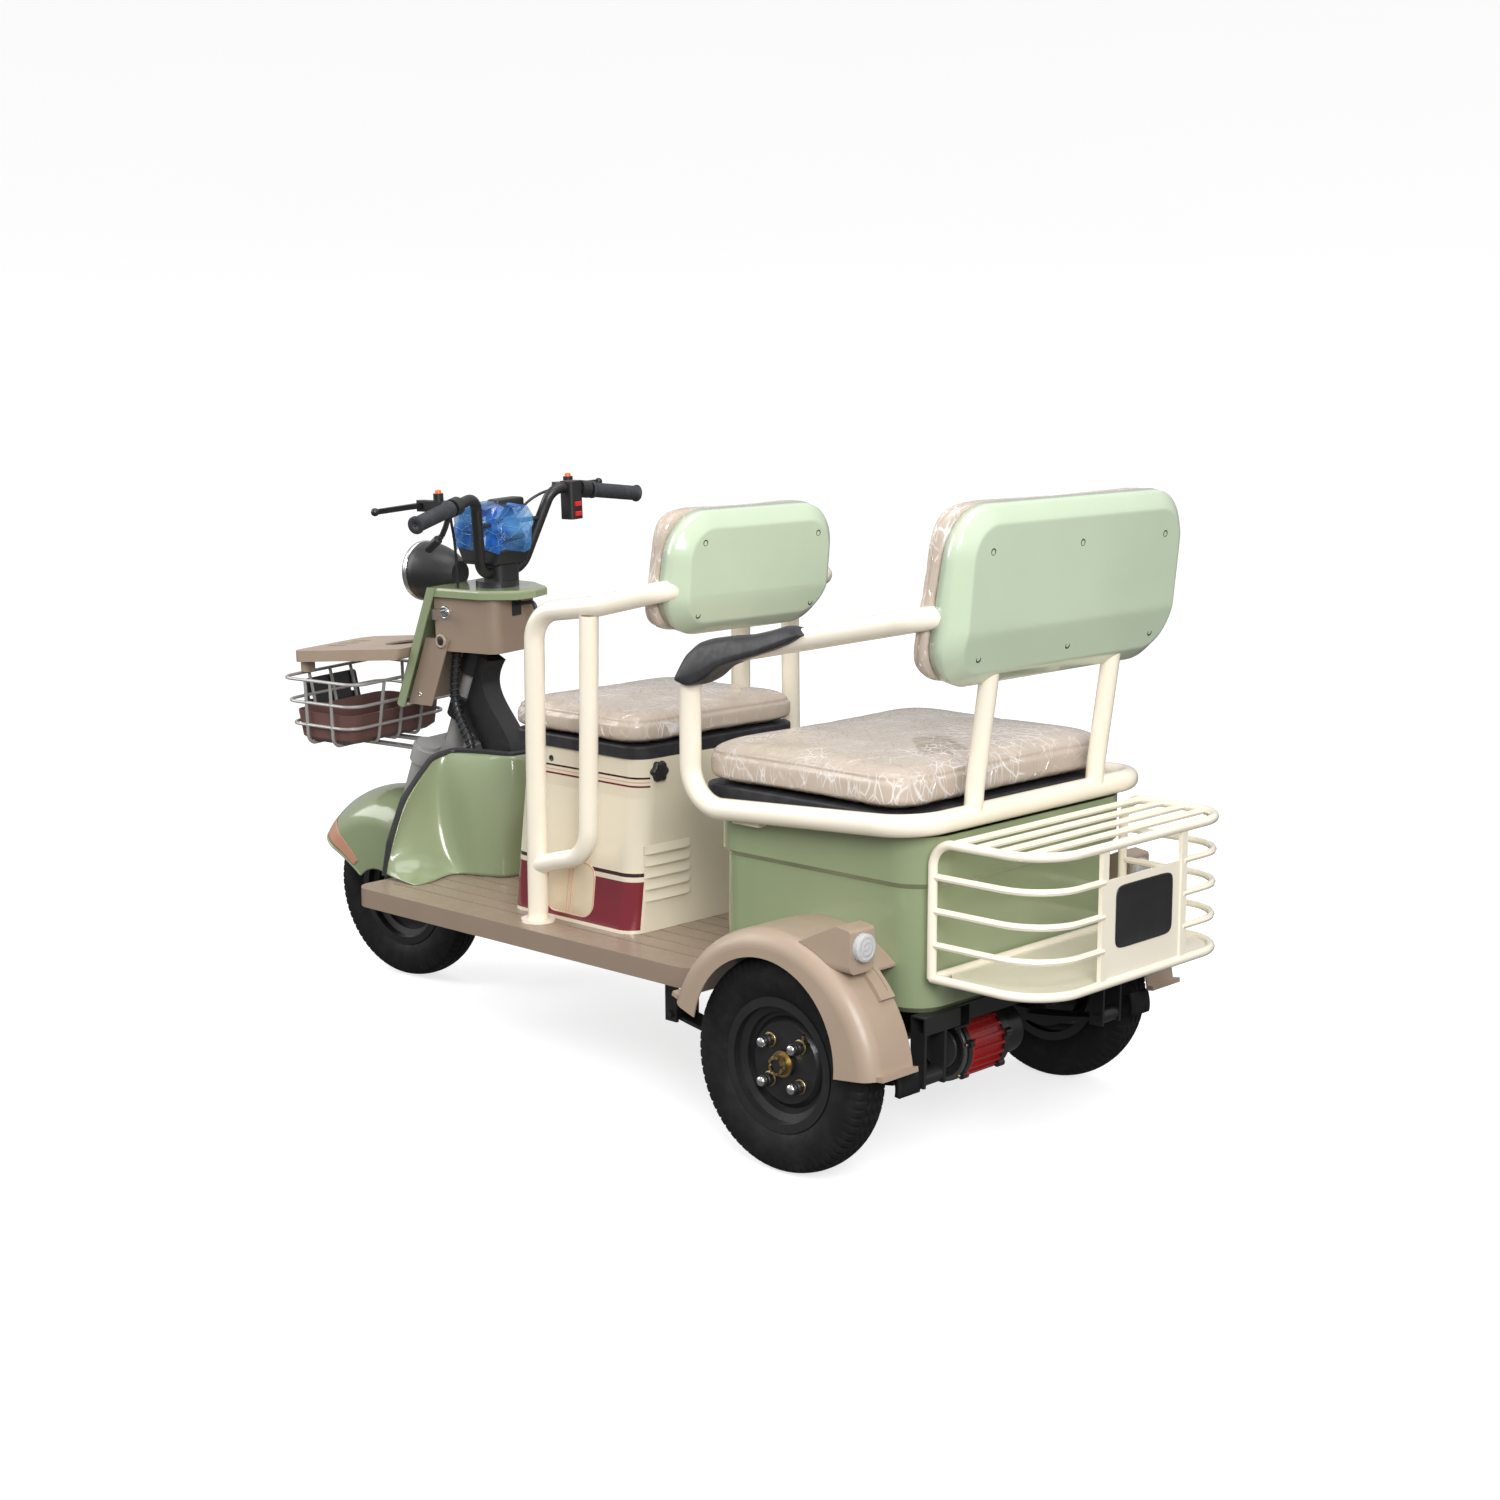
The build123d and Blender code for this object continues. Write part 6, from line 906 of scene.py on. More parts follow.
@dataclass(frozen=True)
class Studio:
    """Camera at the photograph's view, a pale floor and soft lights."""

    eye: Point = (3.26159, 3.24665, 1.38709)
    ahead: Point = (-0.71715, -0.67570, -0.17074)
    right: Point = (-0.68577, 0.72783, 0.0)
    lens: float = 58.83
    glow: tuple[float, float, float] = (0.16, 0.52, 0.72)
    target: Point = (0.0, 0.1, 0.5)
    lights: tuple[tuple[str, Point, float, float], ...] = (
        ("top", (0.3, 0.5, 4.4), 3.0, 70.0),
        ("key", (2.9, 3.9, 2.7), 2.2, 215.0),
        ("front", (2.2, -3.2, 2.4), 2.4, 70.0),
    )
    sweep: Pairs = (
        (0.0, 0.0), (4.0, 0.0), (9.0, 0.0), (11.0, 0.12), (12.5, 0.7), (13.4, 2.0), (13.8, 4.5), (14.0, 9.0),
    )

    def build(self) -> None:
        """Make the camera, the floor, the lights and the backdrop's glow."""
        scene = bpy.context.scene
        data = bpy.data.cameras.new("camera")
        data.lens = self.lens
        data.sensor_width = 36.0
        data.clip_end = 200.0
        camera = bpy.data.objects.new("camera", data)
        right = unit(self.right)
        back = -unit(self.ahead)
        camera.matrix_world = stand(right, np.cross(back, right), back, self.eye)
        scene.collection.objects.link(camera)
        scene.camera = camera
        scene.view_settings.view_transform = "Standard"
        self.floor()
        for light in self.lights:
            self.light(*light)
        self.sky(scene)

    def sky(self, scene: bpy.types.Scene) -> None:
        """Soft glow all round, dim from below and brighter towards the zenith.

        Args:
            scene: the scene that it lights.
        """
        world = bpy.data.worlds.new("studio")
        world.use_nodes = True
        tree = world.node_tree
        place = tree.nodes.new("ShaderNodeTexCoord")
        split = tree.nodes.new("ShaderNodeSeparateXYZ")
        tree.links.new(place.outputs["Generated"], split.inputs[0])
        below, level, above = self.glow
        total = tree.nodes.new("ShaderNodeMath")
        for side, limits in enumerate(((-0.12, 0.10, below, level), (0.10, 0.9, 0.0, above - level))):
            span = tree.nodes.new("ShaderNodeMapRange")
            for key, value in zip(("From Min", "From Max", "To Min", "To Max"), limits):
                span.inputs[key].default_value = value
            tree.links.new(split.outputs["Z"], span.inputs["Value"])
            tree.links.new(span.outputs["Result"], total.inputs[side])
        background = tree.nodes["Background"]
        tree.links.new(total.outputs[0], background.inputs["Strength"])
        background.inputs["Color"].default_value = (1.0, 1.0, 1.0, 1.0)
        scene.world = world

    def floor(self) -> None:
        """A pale floor that rises into a wall all round, seen but casting no glow back on the runabout."""
        patch = lathe(self.sweep, (0.0, 0.0, 0.0), (0.0, 0.0, 1.0), 96)
        floor = build_piece("floor", [patch], Dress.STUDIO)
        floor.visible_diffuse = False
        floor.visible_glossy = False

    def light(self, name: str, place: Point, size: float, power: float) -> None:
        """A soft square light that looks at the middle of the runabout.

        Args:
            name: the light's name.
            place: where it hangs.
            size: its side in metres.
            power: its strength in watts.
        """
        data = bpy.data.lights.new(name, "AREA")
        data.size = size
        data.energy = power
        lamp = bpy.data.objects.new(name, data)
        back = unit(np.array(place) - np.array(self.target))
        lamp.matrix_world = stand(*beside(back), back, place)
        bpy.context.scene.collection.objects.link(lamp)


@dataclass(frozen=True)
class Harness:
    """Spiral-wrapped wiring loom and the two brake cables, on smooth routes between their fixed ends."""

    loom_radius: float = 0.0088
    cable_radius: float = 0.0029
    wrap_radius: float = 0.0021
    wrap_gap: float = 0.0002
    wrap_pitch: float = 0.0125
    wrap_ends: tuple[float, float] = (0.02, 0.98)
    wrap_steps: int = 900
    loom: tuple[Point, ...] = (
        (0.042, -0.5549, 0.2865),
        (0.042, -0.5549, 0.5200),
        (0.042, -0.6170, 0.5980),
        (0.042, -0.6269, 0.6500),
        (0.042, -0.6104, 0.7460),
    )
    cable: tuple[Point, ...] = (
        (0.1730, -0.5163, 1.0476),
        (0.1336, -0.5243, 1.0456),
        (0.0966, -0.5589, 1.0076),
        (0.0740, -0.5709, 0.9516),
        (0.0700, -0.5749, 0.8663),
    )

    def spline(self, name: str, points: np.ndarray, radius: float, dress: Dress) -> Piece:
        """A round cord on a NURBS route of order 3 through the first and last points.

        The bevel is 1 and each point carries the radius, so that the curve's box is the cord's own.

        Args:
            name: the piece's name.
            points: control points of the route.
            radius: the cord's radius.
            dress: its finish.

        Returns:
            The curve object.
        """
        data = bpy.data.curves.new(name, "CURVE")
        data.dimensions = "3D"
        data.resolution_u = 16
        line = data.splines.new("NURBS")
        line.points.add(len(points) - 1)
        line.points.foreach_set("co", np.hstack((points, np.ones((len(points), 1)))).ravel())
        line.points.foreach_set("radius", np.full(len(points), radius))
        line.order_u = 3
        line.use_endpoint_u = True
        data.bevel_depth = 1.0
        data.bevel_resolution = 4
        data.materials.append(dress.material())
        cord = bpy.data.objects.new(name, data)
        bpy.context.scene.collection.objects.link(cord)
        return cord

    def centreline(self, cord: Piece) -> np.ndarray:
        """Points of a cord's route, read from the curve with no bevel.

        Args:
            cord: the curve object.

        Returns:
            The route's points in order.
        """
        depth = cord.data.bevel_depth
        cord.data.bevel_depth = 0.0
        graph = bpy.context.evaluated_depsgraph_get()
        mesh = bpy.data.meshes.new_from_object(cord.evaluated_get(graph))
        points = np.empty(len(mesh.vertices) * 3)
        mesh.vertices.foreach_get("co", points)
        bpy.data.meshes.remove(mesh)
        cord.data.bevel_depth = depth
        return points.reshape(-1, 3)

    def build(self) -> None:
        """Lay the loom with its wrap, and both cables."""
        loom = self.spline("wiring_loom_core", np.array(self.loom), self.loom_radius, Dress.BLACK_PLASTIC)
        settle(loom, "chassis", "black_plastic", ["wiring_loom"])
        line = self.centreline(loom)
        wrap = self.wrap(line)
        settle(wrap, "chassis", "black_plastic")
        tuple(self.loom[0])
        for side, name in ((1, "brake_cable_left"), (-1, "brake_cable_right")):
            points = PLAN.turned(np.array(self.cable) * np.array((side, 1, 1)))
            cable = self.spline(name, points, self.cable_radius, Dress.BLACK_PLASTIC)
            settle(cable, "steering", "black_plastic", ["brake_cables"] if side > 0 else ())
            length = float(run_along(self.centreline(cable))[-1])
            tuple(points[0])

    def wrap(self, line: np.ndarray) -> Piece:
        """Spiral wrap round the loom.

        The strip's middle is route(s) + r (cos a * side + sin a * over), where a grows with the distance run.

        Args:
            line: the loom's route.

        Returns:
            The wrap, one tube.
        """
        reach = run_along(line)
        place = np.linspace(*self.wrap_ends, self.wrap_steps) * reach[-1]
        middle = np.stack([np.interp(place, reach, line[:, k]) for k in range(3)], axis=1)
        tangent = np.gradient(middle, axis=0)
        tangent = tangent / np.linalg.norm(tangent, axis=1, keepdims=True)
        side = np.array((1.0, 0.0, 0.0))
        over = np.cross(tangent, np.broadcast_to(side, tangent.shape))
        angle = place / self.wrap_pitch * 2 * np.pi
        ring = np.cos(angle)[:, None] * side + np.sin(angle)[:, None] * over
        path = middle + ring * (self.loom_radius + self.wrap_gap)
        strip = swept(path, self.wrap_radius, 6, (1.0, 0.02, 0.03))
        return build_piece("wiring_loom_wrap", [strip], Dress.GRIP)


@dataclass(frozen=True)
class Pad:
    """One upholstered pad: a crowned block with drawn-in sides, swelled by cloth pressure."""

    node: str
    body: str
    corner: float
    crown: float
    pull: float
    voxel: float
    swell: float
    seam: float
    lean: float = 0.0
    fill: float = 0.8


@dataclass(frozen=True)
class Room:
    """Where a pad lies: middle of its base, half sizes with its thickness, and its axes as rows."""

    middle: np.ndarray
    half: np.ndarray
    axes: np.ndarray

    def inward(self, points: np.ndarray) -> np.ndarray:
        """Places of the part's frame along the pad's own axes."""
        return (points - self.middle) @ self.axes.T

    def outward(self, local: np.ndarray) -> np.ndarray:
        """Places along the pad's axes in the part's frame."""
        return self.middle + local @ self.axes


@dataclass(frozen=True)
class Cushions:
    """The four upholstered pads of the two seats."""

    pads: tuple[Pad, ...] = (
        Pad("driver_seat_cushion", "driver_seat", 0.30, 0.012, 0.010, 0.0055, 0.006, 0.62),
        Pad("rear_seat_cushion", "rear_seat", 0.24, 0.014, 0.010, 0.0065, 0.007, 0.62),
        Pad("driver_backrest_cushion", "chassis", 0.42, 0.010, 0.006, 0.0055, 0.005, 0.50, BACK_LEAN),
        Pad("rear_backrest_cushion", "chassis", 0.36, 0.010, 0.008, 0.0060, 0.005, 0.50, BACK_LEAN),
    )
    back_thickness: float = 0.054
    profile: Pairs = (
        (0.0, 0.0), (0.5, 0.0), (0.93, 0.0), (0.985, 0.05), (1.0, 0.2), (1.0, 0.6), (0.99, 0.82),
        (0.965, 0.93), (0.92, 0.985), (0.75, 1.0), (0.45, 1.0), (0.0, 1.0),
    )
    rings: int = 48
    pressure: float = 4.0
    frames: int = 20
    seam_depth: float = 0.0028
    seam_width: float = 0.0032

    def build(self) -> None:
        """Make each pad in turn."""
        for pad in self.pads:
            piece = self.make(pad)
            settle(piece, pad.body, "seat_cover", [pad.node])

    def room(self, pad: Pad) -> Room:
        """Where a pad lies, from its node's box: flat on a seat, or leaning on a backrest.

        Args:
            pad: which pad.

        Returns:
            Its room.
        """
        low, high = (np.array(corner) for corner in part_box(pad.node))
        if not pad.lean:
            middle = np.array(((low[0] + high[0]) / 2, (low[1] + high[1]) / 2, low[2]))
            half = (high - low) * np.array((0.5, 0.5, 1.0))
            return Room(middle, half, np.eye(3))
        thick = self.back_thickness
        over = np.array((0.0, math.sin(pad.lean), math.cos(pad.lean)))
        out = np.array((0.0, -math.cos(pad.lean), math.sin(pad.lean)))
        tall = (high[2] - low[2] - thick * math.sin(pad.lean)) / math.cos(pad.lean)
        middle = (low + high) / 2 - out * thick / 2
        half = np.array(((high[0] - low[0]) / 2, tall / 2, thick))
        return Room(middle, half, np.array(((1.0, 0.0, 0.0), over, out)))

    def make(self, pad: Pad) -> Piece:
        """Build the start shape, swell it, sew its seam.

        The start shape is plan(t) * rho(v) at height z(v): a rounded rectangle whose sides draw in towards
        their middles, shrunk by the profile's rho and lifted by its z.

        Args:
            pad: which pad.

        Returns:
            The finished pad.
        """
        room = self.room(pad)
        reach = room.half[:2] - pad.swell
        plan = squircle((reach[0], reach[1]), pad.corner, 160)
        share = plan / reach
        plan = plan - np.sign(plan) * pad.pull * (1 - share[:, ::-1] ** 2) * np.abs(share)
        height = room.half[2] - pad.crown - pad.swell
        rho, lift = np.array(self.profile).T
        dome = np.clip(1 - rho**2, 0, 1) * (lift > 0.9) * pad.crown
        fine = np.linspace(0, len(rho) - 1, self.rings)
        rho_fine = np.interp(fine, np.arange(len(rho)), rho)
        z_fine = np.interp(fine, np.arange(len(rho)), lift * height + dome)
        rise = np.broadcast_to(z_fine[:, None, None], (self.rings, len(plan), 1))
        local = np.concatenate((rho_fine[:, None, None] * plan[None], rise), axis=2)
        piece = build_piece(pad.node + "_cover", [Patch(room.outward(local), wrap_v=True)], Dress.COVER)
        self.swell(piece, pad)
        self.fill_room(piece, room)
        self.sew(piece, pad, room)
        return piece

    def fill_room(self, piece: Piece, room: Room) -> None:
        """Stretch a pad along its own axes until it fills its room.

        Args:
            piece: the pad's object.
            room: where it lies.
        """
        local = room.inward(self.points(piece))
        low, high = local.min(axis=0), local.max(axis=0)
        start = room.half * np.array((-1.0, -1.0, 0.0))
        local = start + (local - low) * (room.half - start) / (high - low)
        piece.data.vertices.foreach_set("co", room.outward(local).ravel())

    def swell(self, piece: Piece, pad: Pad) -> None:
        """Remesh the pad evenly and blow it up with cloth pressure, each point held within a cap.

        Args:
            piece: the pad's object.
            pad: its sizes.
        """
        self.apply(piece, "REMESH", mode="VOXEL", voxel_size=pad.voxel)
        start = self.points(piece)
        modifier = piece.modifiers.new("pressure", "CLOTH")
        modifier.settings.use_pressure = True
        modifier.settings.uniform_pressure_force = self.pressure
        modifier.settings.quality = 4
        modifier.settings.effector_weights.gravity = 0.0
        modifier.point_cache.frame_start = 1
        modifier.point_cache.frame_end = self.frames
        for step in range(1, self.frames + 1):
            bpy.context.scene.frame_set(step)
        graph = bpy.context.evaluated_depsgraph_get()
        swollen = bpy.data.meshes.new_from_object(piece.evaluated_get(graph))
        moved = np.empty(len(swollen.vertices) * 3)
        swollen.vertices.foreach_get("co", moved)
        bpy.data.meshes.remove(swollen)
        piece.modifiers.remove(modifier)
        bpy.context.scene.frame_set(1)
        shift = moved.reshape(-1, 3) - start
        size = np.linalg.norm(shift, axis=1, keepdims=True)
        start = start + shift * np.minimum(1.0, pad.swell / np.maximum(size, 1e-9))
        piece.data.vertices.foreach_set("co", start.ravel())
        self.apply(piece, "SUBSURF", levels=1, render_levels=1)
        piece.data.shade_smooth()

    def sew(self, piece: Piece, pad: Pad, room: Room) -> None:
        """Press a sewn channel into the sides at one height.

        A point moves inwards by depth * exp(-((z - seam) / width)^2), where it faces outwards.

        Args:
            piece: the pad's object.
            pad: its sizes.
            room: where it lies.
        """
        local = room.inward(self.points(piece))
        ring = np.max(np.abs(local[:, :2]) / room.half[:2], axis=1)
        away = (local[:, 2] - pad.seam * room.half[2]) / self.seam_width
        groove = self.seam_depth * np.exp(-(away**2)) * smooth_step(ring, 0.8, 0.9)
        towards = np.concatenate((local[:, :2], np.zeros((len(local), 1))), axis=1)
        towards = towards / np.maximum(np.linalg.norm(towards, axis=1, keepdims=True), 1e-9)
        low = np.minimum(local[:, 2], 0.0)[:, None] * np.array((0.0, 0.0, 1.0))
        sewn = room.outward(local - towards * groove[:, None] - low)
        piece.data.vertices.foreach_set("co", sewn.ravel())
        piece.data.update()

    def points(self, piece: Piece) -> np.ndarray:
        """A mesh's points as an array.

        Args:
            piece: the object.

        Returns:
            One row a point.
        """
        flat = np.empty(len(piece.data.vertices) * 3)
        piece.data.vertices.foreach_get("co", flat)
        return flat.reshape(-1, 3)

    def apply(self, piece: Piece, kind: str, **settings: object) -> None:
        """Add a modifier to a piece and bake it into the mesh.

        Args:
            piece: the object.
            kind: the modifier's type.
            settings: its values.
        """
        modifier = piece.modifiers.new(kind.lower(), kind)
        for key, value in settings.items():
            setattr(modifier, key, value)
        graph = bpy.context.evaluated_depsgraph_get()
        mesh = bpy.data.meshes.new_from_object(piece.evaluated_get(graph))
        piece.modifiers.clear()
        piece.data = mesh


def rounded(half: tuple[float, float], corner: float, count: int) -> np.ndarray:
    """Rectangle with round corners, as points evenly spread along its outline.

    Args:
        half: its half width and half height.
        corner: radius of its corners.
        count: number of points.

    Returns:
        The points in order, starting at the right.
    """
    turn = np.linspace(0, np.pi / 2, 13)
    arcs = []
    for quarter, (x, y) in enumerate(((1, 1), (-1, 1), (-1, -1), (1, -1))):
        angle = turn + quarter * np.pi / 2
        centre = np.array((x * (half[0] - corner), y * (half[1] - corner)))
        arcs.append(centre + corner * np.stack((np.cos(angle), np.sin(angle)), axis=1))
    loop = np.vstack((*arcs, arcs[0][:1]))
    run = run_along(loop)
    place = np.linspace(0, run[-1], count, endpoint=False)
    return np.stack([np.interp(place, run, loop[:, k]) for k in range(2)], axis=1)


@dataclass(frozen=True)
class Shell:
    """Where one backrest shell sits: node, half sizes, place of its tube past the axle, screw places."""

    node: str
    half: tuple[float, float]
    place: tuple[float, float]
    screw_x: tuple[float, ...]
    screw_y: tuple[float, float]


@dataclass(frozen=True)
class Shells:
    """Moulded backrest shells: bevelled all round, with a ridge across the lower third of the back."""

    shells: tuple[Shell, ...] = (
        Shell("driver_backrest_shell", (0.210, 0.114), (-0.442, 0.925), (-0.150, 0.150), (-0.070, 0.062)),
        Shell("rear_backrest_shell", (0.308, 0.148), (0.266, 0.943), (-0.236, 0.0, 0.236), (-0.094, 0.078)),
    )
    lift: float = 0.024
    lean: float = BACK_LEAN
    depth: float = 0.023
    corner: float = 0.084
    wall: float = 0.003
    ridge_share: float = -0.34
    ridge_out: float = 0.0300
    slope_above: float = 0.085
    slope_below: float = 0.165
    ridge_round: float = 0.0006
    outline_steps: int = 224
    insets: Pairs = (
        (0.0, -1.0), (0.0, 0.02), (0.0015, 0.12), (0.006, 0.30), (0.021, 0.86), (0.0255, 0.965), (0.027, 1.0),
        (0.031, 1.0), (0.040, 1.0), (0.052, 1.0), (0.066, 1.0), (0.080, 1.0),
    )
    screw: Pairs = (
        (0.0, -0.0006), (0.0036, -0.0006), (0.0046, 0.0004), (0.0056, 0.0005), (0.0062, -0.0002),
        (0.0062, -0.004),
    )

    def axes(self, shell: Shell) -> tuple[np.ndarray, np.ndarray]:
        """Middle of a shell, and its directions across, up its slope and out of its back as rows.

        Args:
            shell: which shell.

        Returns:
            The middle, and the three rows.
        """
        over = np.array((0.0, math.sin(self.lean), math.cos(self.lean)))
        out = np.array((0.0, math.cos(self.lean), -math.sin(self.lean)))
        middle = np.array((0.0, PLAN.rear_axle + shell.place[0], shell.place[1])) + over * self.lift
        return middle, np.stack((np.array((1.0, 0.0, 0.0)), over, out))

    def height(self, rise: np.ndarray, tall: float) -> np.ndarray:
        """How far the back stands out: up a slope to the ridge, then down again below it.

        The two slopes are joined as a smooth minimum, so that the ridge is a tight round edge.

        Args:
            rise: height above the middle, up the slope.
            tall: half height of the shell.

        Returns:
            The distance of the back from the middle plane.
        """
        past = rise - self.ridge_share * tall
        upper = self.ridge_out - self.slope_above * past
        lower = self.ridge_out + self.slope_below * past
        return -self.ridge_round * np.logaddexp(-upper / self.ridge_round, -lower / self.ridge_round)

    def build(self) -> None:
        """Make both shells and their screws."""
        for shell in self.shells:
            piece = build_piece(shell.node + "_back", [self.surface(shell)], Dress.SHELL_LIT)
            settle(piece, "chassis", "green_panel", [shell.node])
            settle(self.screws(shell), "chassis", "black_plastic")

    def surface(self, shell: Shell) -> Patch:
        """Rim, bevel and back as rings drawn in from the outline, then the same inside, a wall thinner.

        Args:
            shell: which shell.

        Returns:
            The closed surface.
        """
        rings = []
        for inset, level in self.insets:
            half = (shell.half[0] - inset, shell.half[1] - inset)
            loop = rounded(half, self.corner - inset, self.outline_steps)
            rings.append(self.ring(loop, level, shell))
        for scale in np.linspace(0.94, 0.0, 34):
            rings.append(self.ring(loop * scale, 1.0, shell))
        shrink = np.array((1 - self.wall / shell.half[0], 1 - self.wall / shell.half[1], 1.0))
        inner = [ring * shrink - np.array((0.0, 0.0, self.wall)) for ring in rings[1:]]
        local = np.stack([*rings, *inner[::-1], rings[0] * shrink, rings[0]])
        middle, axes = self.axes(shell)
        return Patch(middle + local @ axes, wrap_v=True)

    def ring(self, loop: np.ndarray, level: float, shell: Shell) -> np.ndarray:
        """One ring of points at a share of the way from the open front (-1) to the back (1).

        Args:
            loop: its outline.
            level: how far back it lies.
            shell: which shell.

        Returns:
            The ring's points.
        """
        back = self.height(loop[:, 1], shell.half[1])
        depth = -self.depth + (back + self.depth) * (level + 1) / 2
        return np.concatenate((loop, depth[:, None]), axis=1)

    def screws(self, shell: Shell) -> Piece:
        """Dark sunk screws on a shell's back.

        Args:
            shell: which shell.

        Returns:
            The screws, one object.
        """
        middle, axes = self.axes(shell)
        heads = []
        for x in shell.screw_x:
            for y in shell.screw_y:
                local = np.array((x, y, float(self.height(np.array(y), shell.half[1]))))
                heads.append(lathe(self.screw, middle + local @ axes, axes[2], 20))
        return build_piece(shell.node + "_screws", heads, Dress.SCREW)


@dataclass(frozen=True)
class Armrests:
    """Moulded armrest pads over the rail's arms: flat sides, crowned top, drooping nose and raised tail."""

    rail_x: float = 0.3215
    half: float = 0.0255
    tube: Point = (0.3180, 0.3431, 0.83013)
    slope: float = 0.21296
    cover: float = 0.0205
    cover_left: float = 0.3571
    cover_right: float = 0.3371
    cover_ease: float = 0.012
    cover_end: float = 0.575
    cover_fade: float = 0.015
    blunt: float = 0.35
    crest: Pairs = (
        (0.313, 0.806), (0.320, 0.820), (0.333, 0.840), (0.357, 0.857), (0.391, 0.868), (0.441, 0.877),
        (0.4905, 0.8836), (0.531, 0.894), (0.562, 0.9040), (0.585, 0.9060), (0.612, 0.899),
    )
    edge: Pairs = (
        (0.313, 0.797), (0.339, 0.803), (0.361, 0.810), (0.382, 0.819), (0.416, 0.8365), (0.466, 0.851),
        (0.515, 0.8645), (0.563, 0.8820), (0.583, 0.8905), (0.612, 0.8965),
    )
    under: Pairs = (
        (0.313, 0.7900), (0.335, 0.7870), (0.348, 0.7828), (0.369, 0.7885), (0.399, 0.803), (0.416, 0.8200),
        (0.449, 0.833), (0.499, 0.848), (0.547, 0.8635), (0.583, 0.877), (0.612, 0.893),
    )

    def build(self) -> None:
        """The left pad on the rail, the right one on the lift-up arm."""
        for side, node, body in (
            (1, "armrest_pad_left", "chassis"),
            (-1, "armrest_pad_right", "right_armrest"),
        ):
            piece = build_piece(node + "_skin", [self.surface(side)], Dress.ARMREST)
            settle(piece, body, "arm_skin", [node])

    def curve(self, pairs: Pairs, place: np.ndarray) -> np.ndarray:
        """A line through pairs of place and height, with its corners eased by a running mean.

        Args:
            pairs: the line.
            place: where to read it.

        Returns:
            The heights.
        """
        along, height = np.array(pairs).T
        wide = np.linspace(-0.010, 0.010, 9)
        return np.mean([np.interp(place + shift, along, height) for shift in wide], axis=0)

    def surface(self, side: int) -> Patch:
        """Sections of x = w |cos t|^p, z between the under line and the crowned top, closed at both ends.

        Args:
            side: 1 for the left pad, -1 for the right one.

        Returns:
            The pad's surface.
        """
        share = 0.5 - 0.5 * np.cos(np.linspace(0, np.pi, 90))
        place = self.edge[0][0] + share * (self.edge[-1][0] - self.edge[0][0])
        close = np.sqrt(np.clip(1 - np.abs(2 * share - 1) ** 14, 0, 1))
        top = self.curve(self.edge, place)
        low = self.curve(self.under, place)
        crown = self.curve(self.crest, place) - top
        across, upward = squircle((1.0, 1.0), self.blunt, 56).T
        x = self.half * np.sqrt(close)[:, None] * across[None]
        dome = crown[:, None] * np.clip(1 - np.abs(across) ** 2.4, 0, 1)[None] * (upward > 0)[None]
        z = ((top + low) / 2)[:, None] + close[:, None] * (((top - low) / 2)[:, None] * upward[None] + dome)
        y = np.broadcast_to(place[:, None], x.shape)
        reach, sleeve = self.sleeve(side, place, x)
        z = np.where((upward > 0)[None] & (reach > 0), np.maximum(z, sleeve), z)
        return Patch(np.stack((side * self.rail_x + x, y, z), axis=-1), wrap_v=True)

    def sleeve(self, side: int, place: np.ndarray, x: np.ndarray) -> tuple[np.ndarray, np.ndarray]:
        """Least height of the pad over the arm's tube: its axis plus sqrt(r^2 - d^2), up the slope.

        Args:
            side: 1 for the left pad, -1 for the right one.
            place: places along the pad.
            x: distances across it from its middle.

        Returns:
            How far the tube reaches up at each point, and the height that covers it.
        """
        tube_x, tube_y, tube_z = self.tube
        front = self.cover_right if side < 0 else self.cover_left
        start = np.clip((place - front) / self.cover_ease + 1, 0, 1)
        stop = np.clip((self.cover_end - place) / self.cover_fade, 0, 1)
        off = side * (self.rail_x - tube_x) + x
        reach = np.sqrt(np.clip(self.cover**2 * (start * stop)[:, None] - off**2, 0, None))
        axis = tube_z + (place - tube_y) * self.slope
        return reach, axis[:, None] + np.hypot(1, self.slope) * reach


def flowing(keys: np.ndarray, place: np.ndarray) -> np.ndarray:
    """Smooth line through keys: cubic Hermite pieces with slopes from the neighbours.

    Args:
        keys: the places to pass, one a row.
        place: where to read the line, in steps of keys.

    Returns:
        The line's points.
    """
    slope = np.gradient(keys, axis=0)
    first = np.clip(np.floor(place).astype(int), 0, len(keys) - 2)
    share = (place - first).reshape(-1, *([1] * (keys.ndim - 1)))
    start, stop = keys[first], keys[first + 1]
    rise = start + (stop - start) * (3 * share**2 - 2 * share**3)
    return rise + slope[first] * share * (1 - share) ** 2 - slope[first + 1] * share**2 * (1 - share)


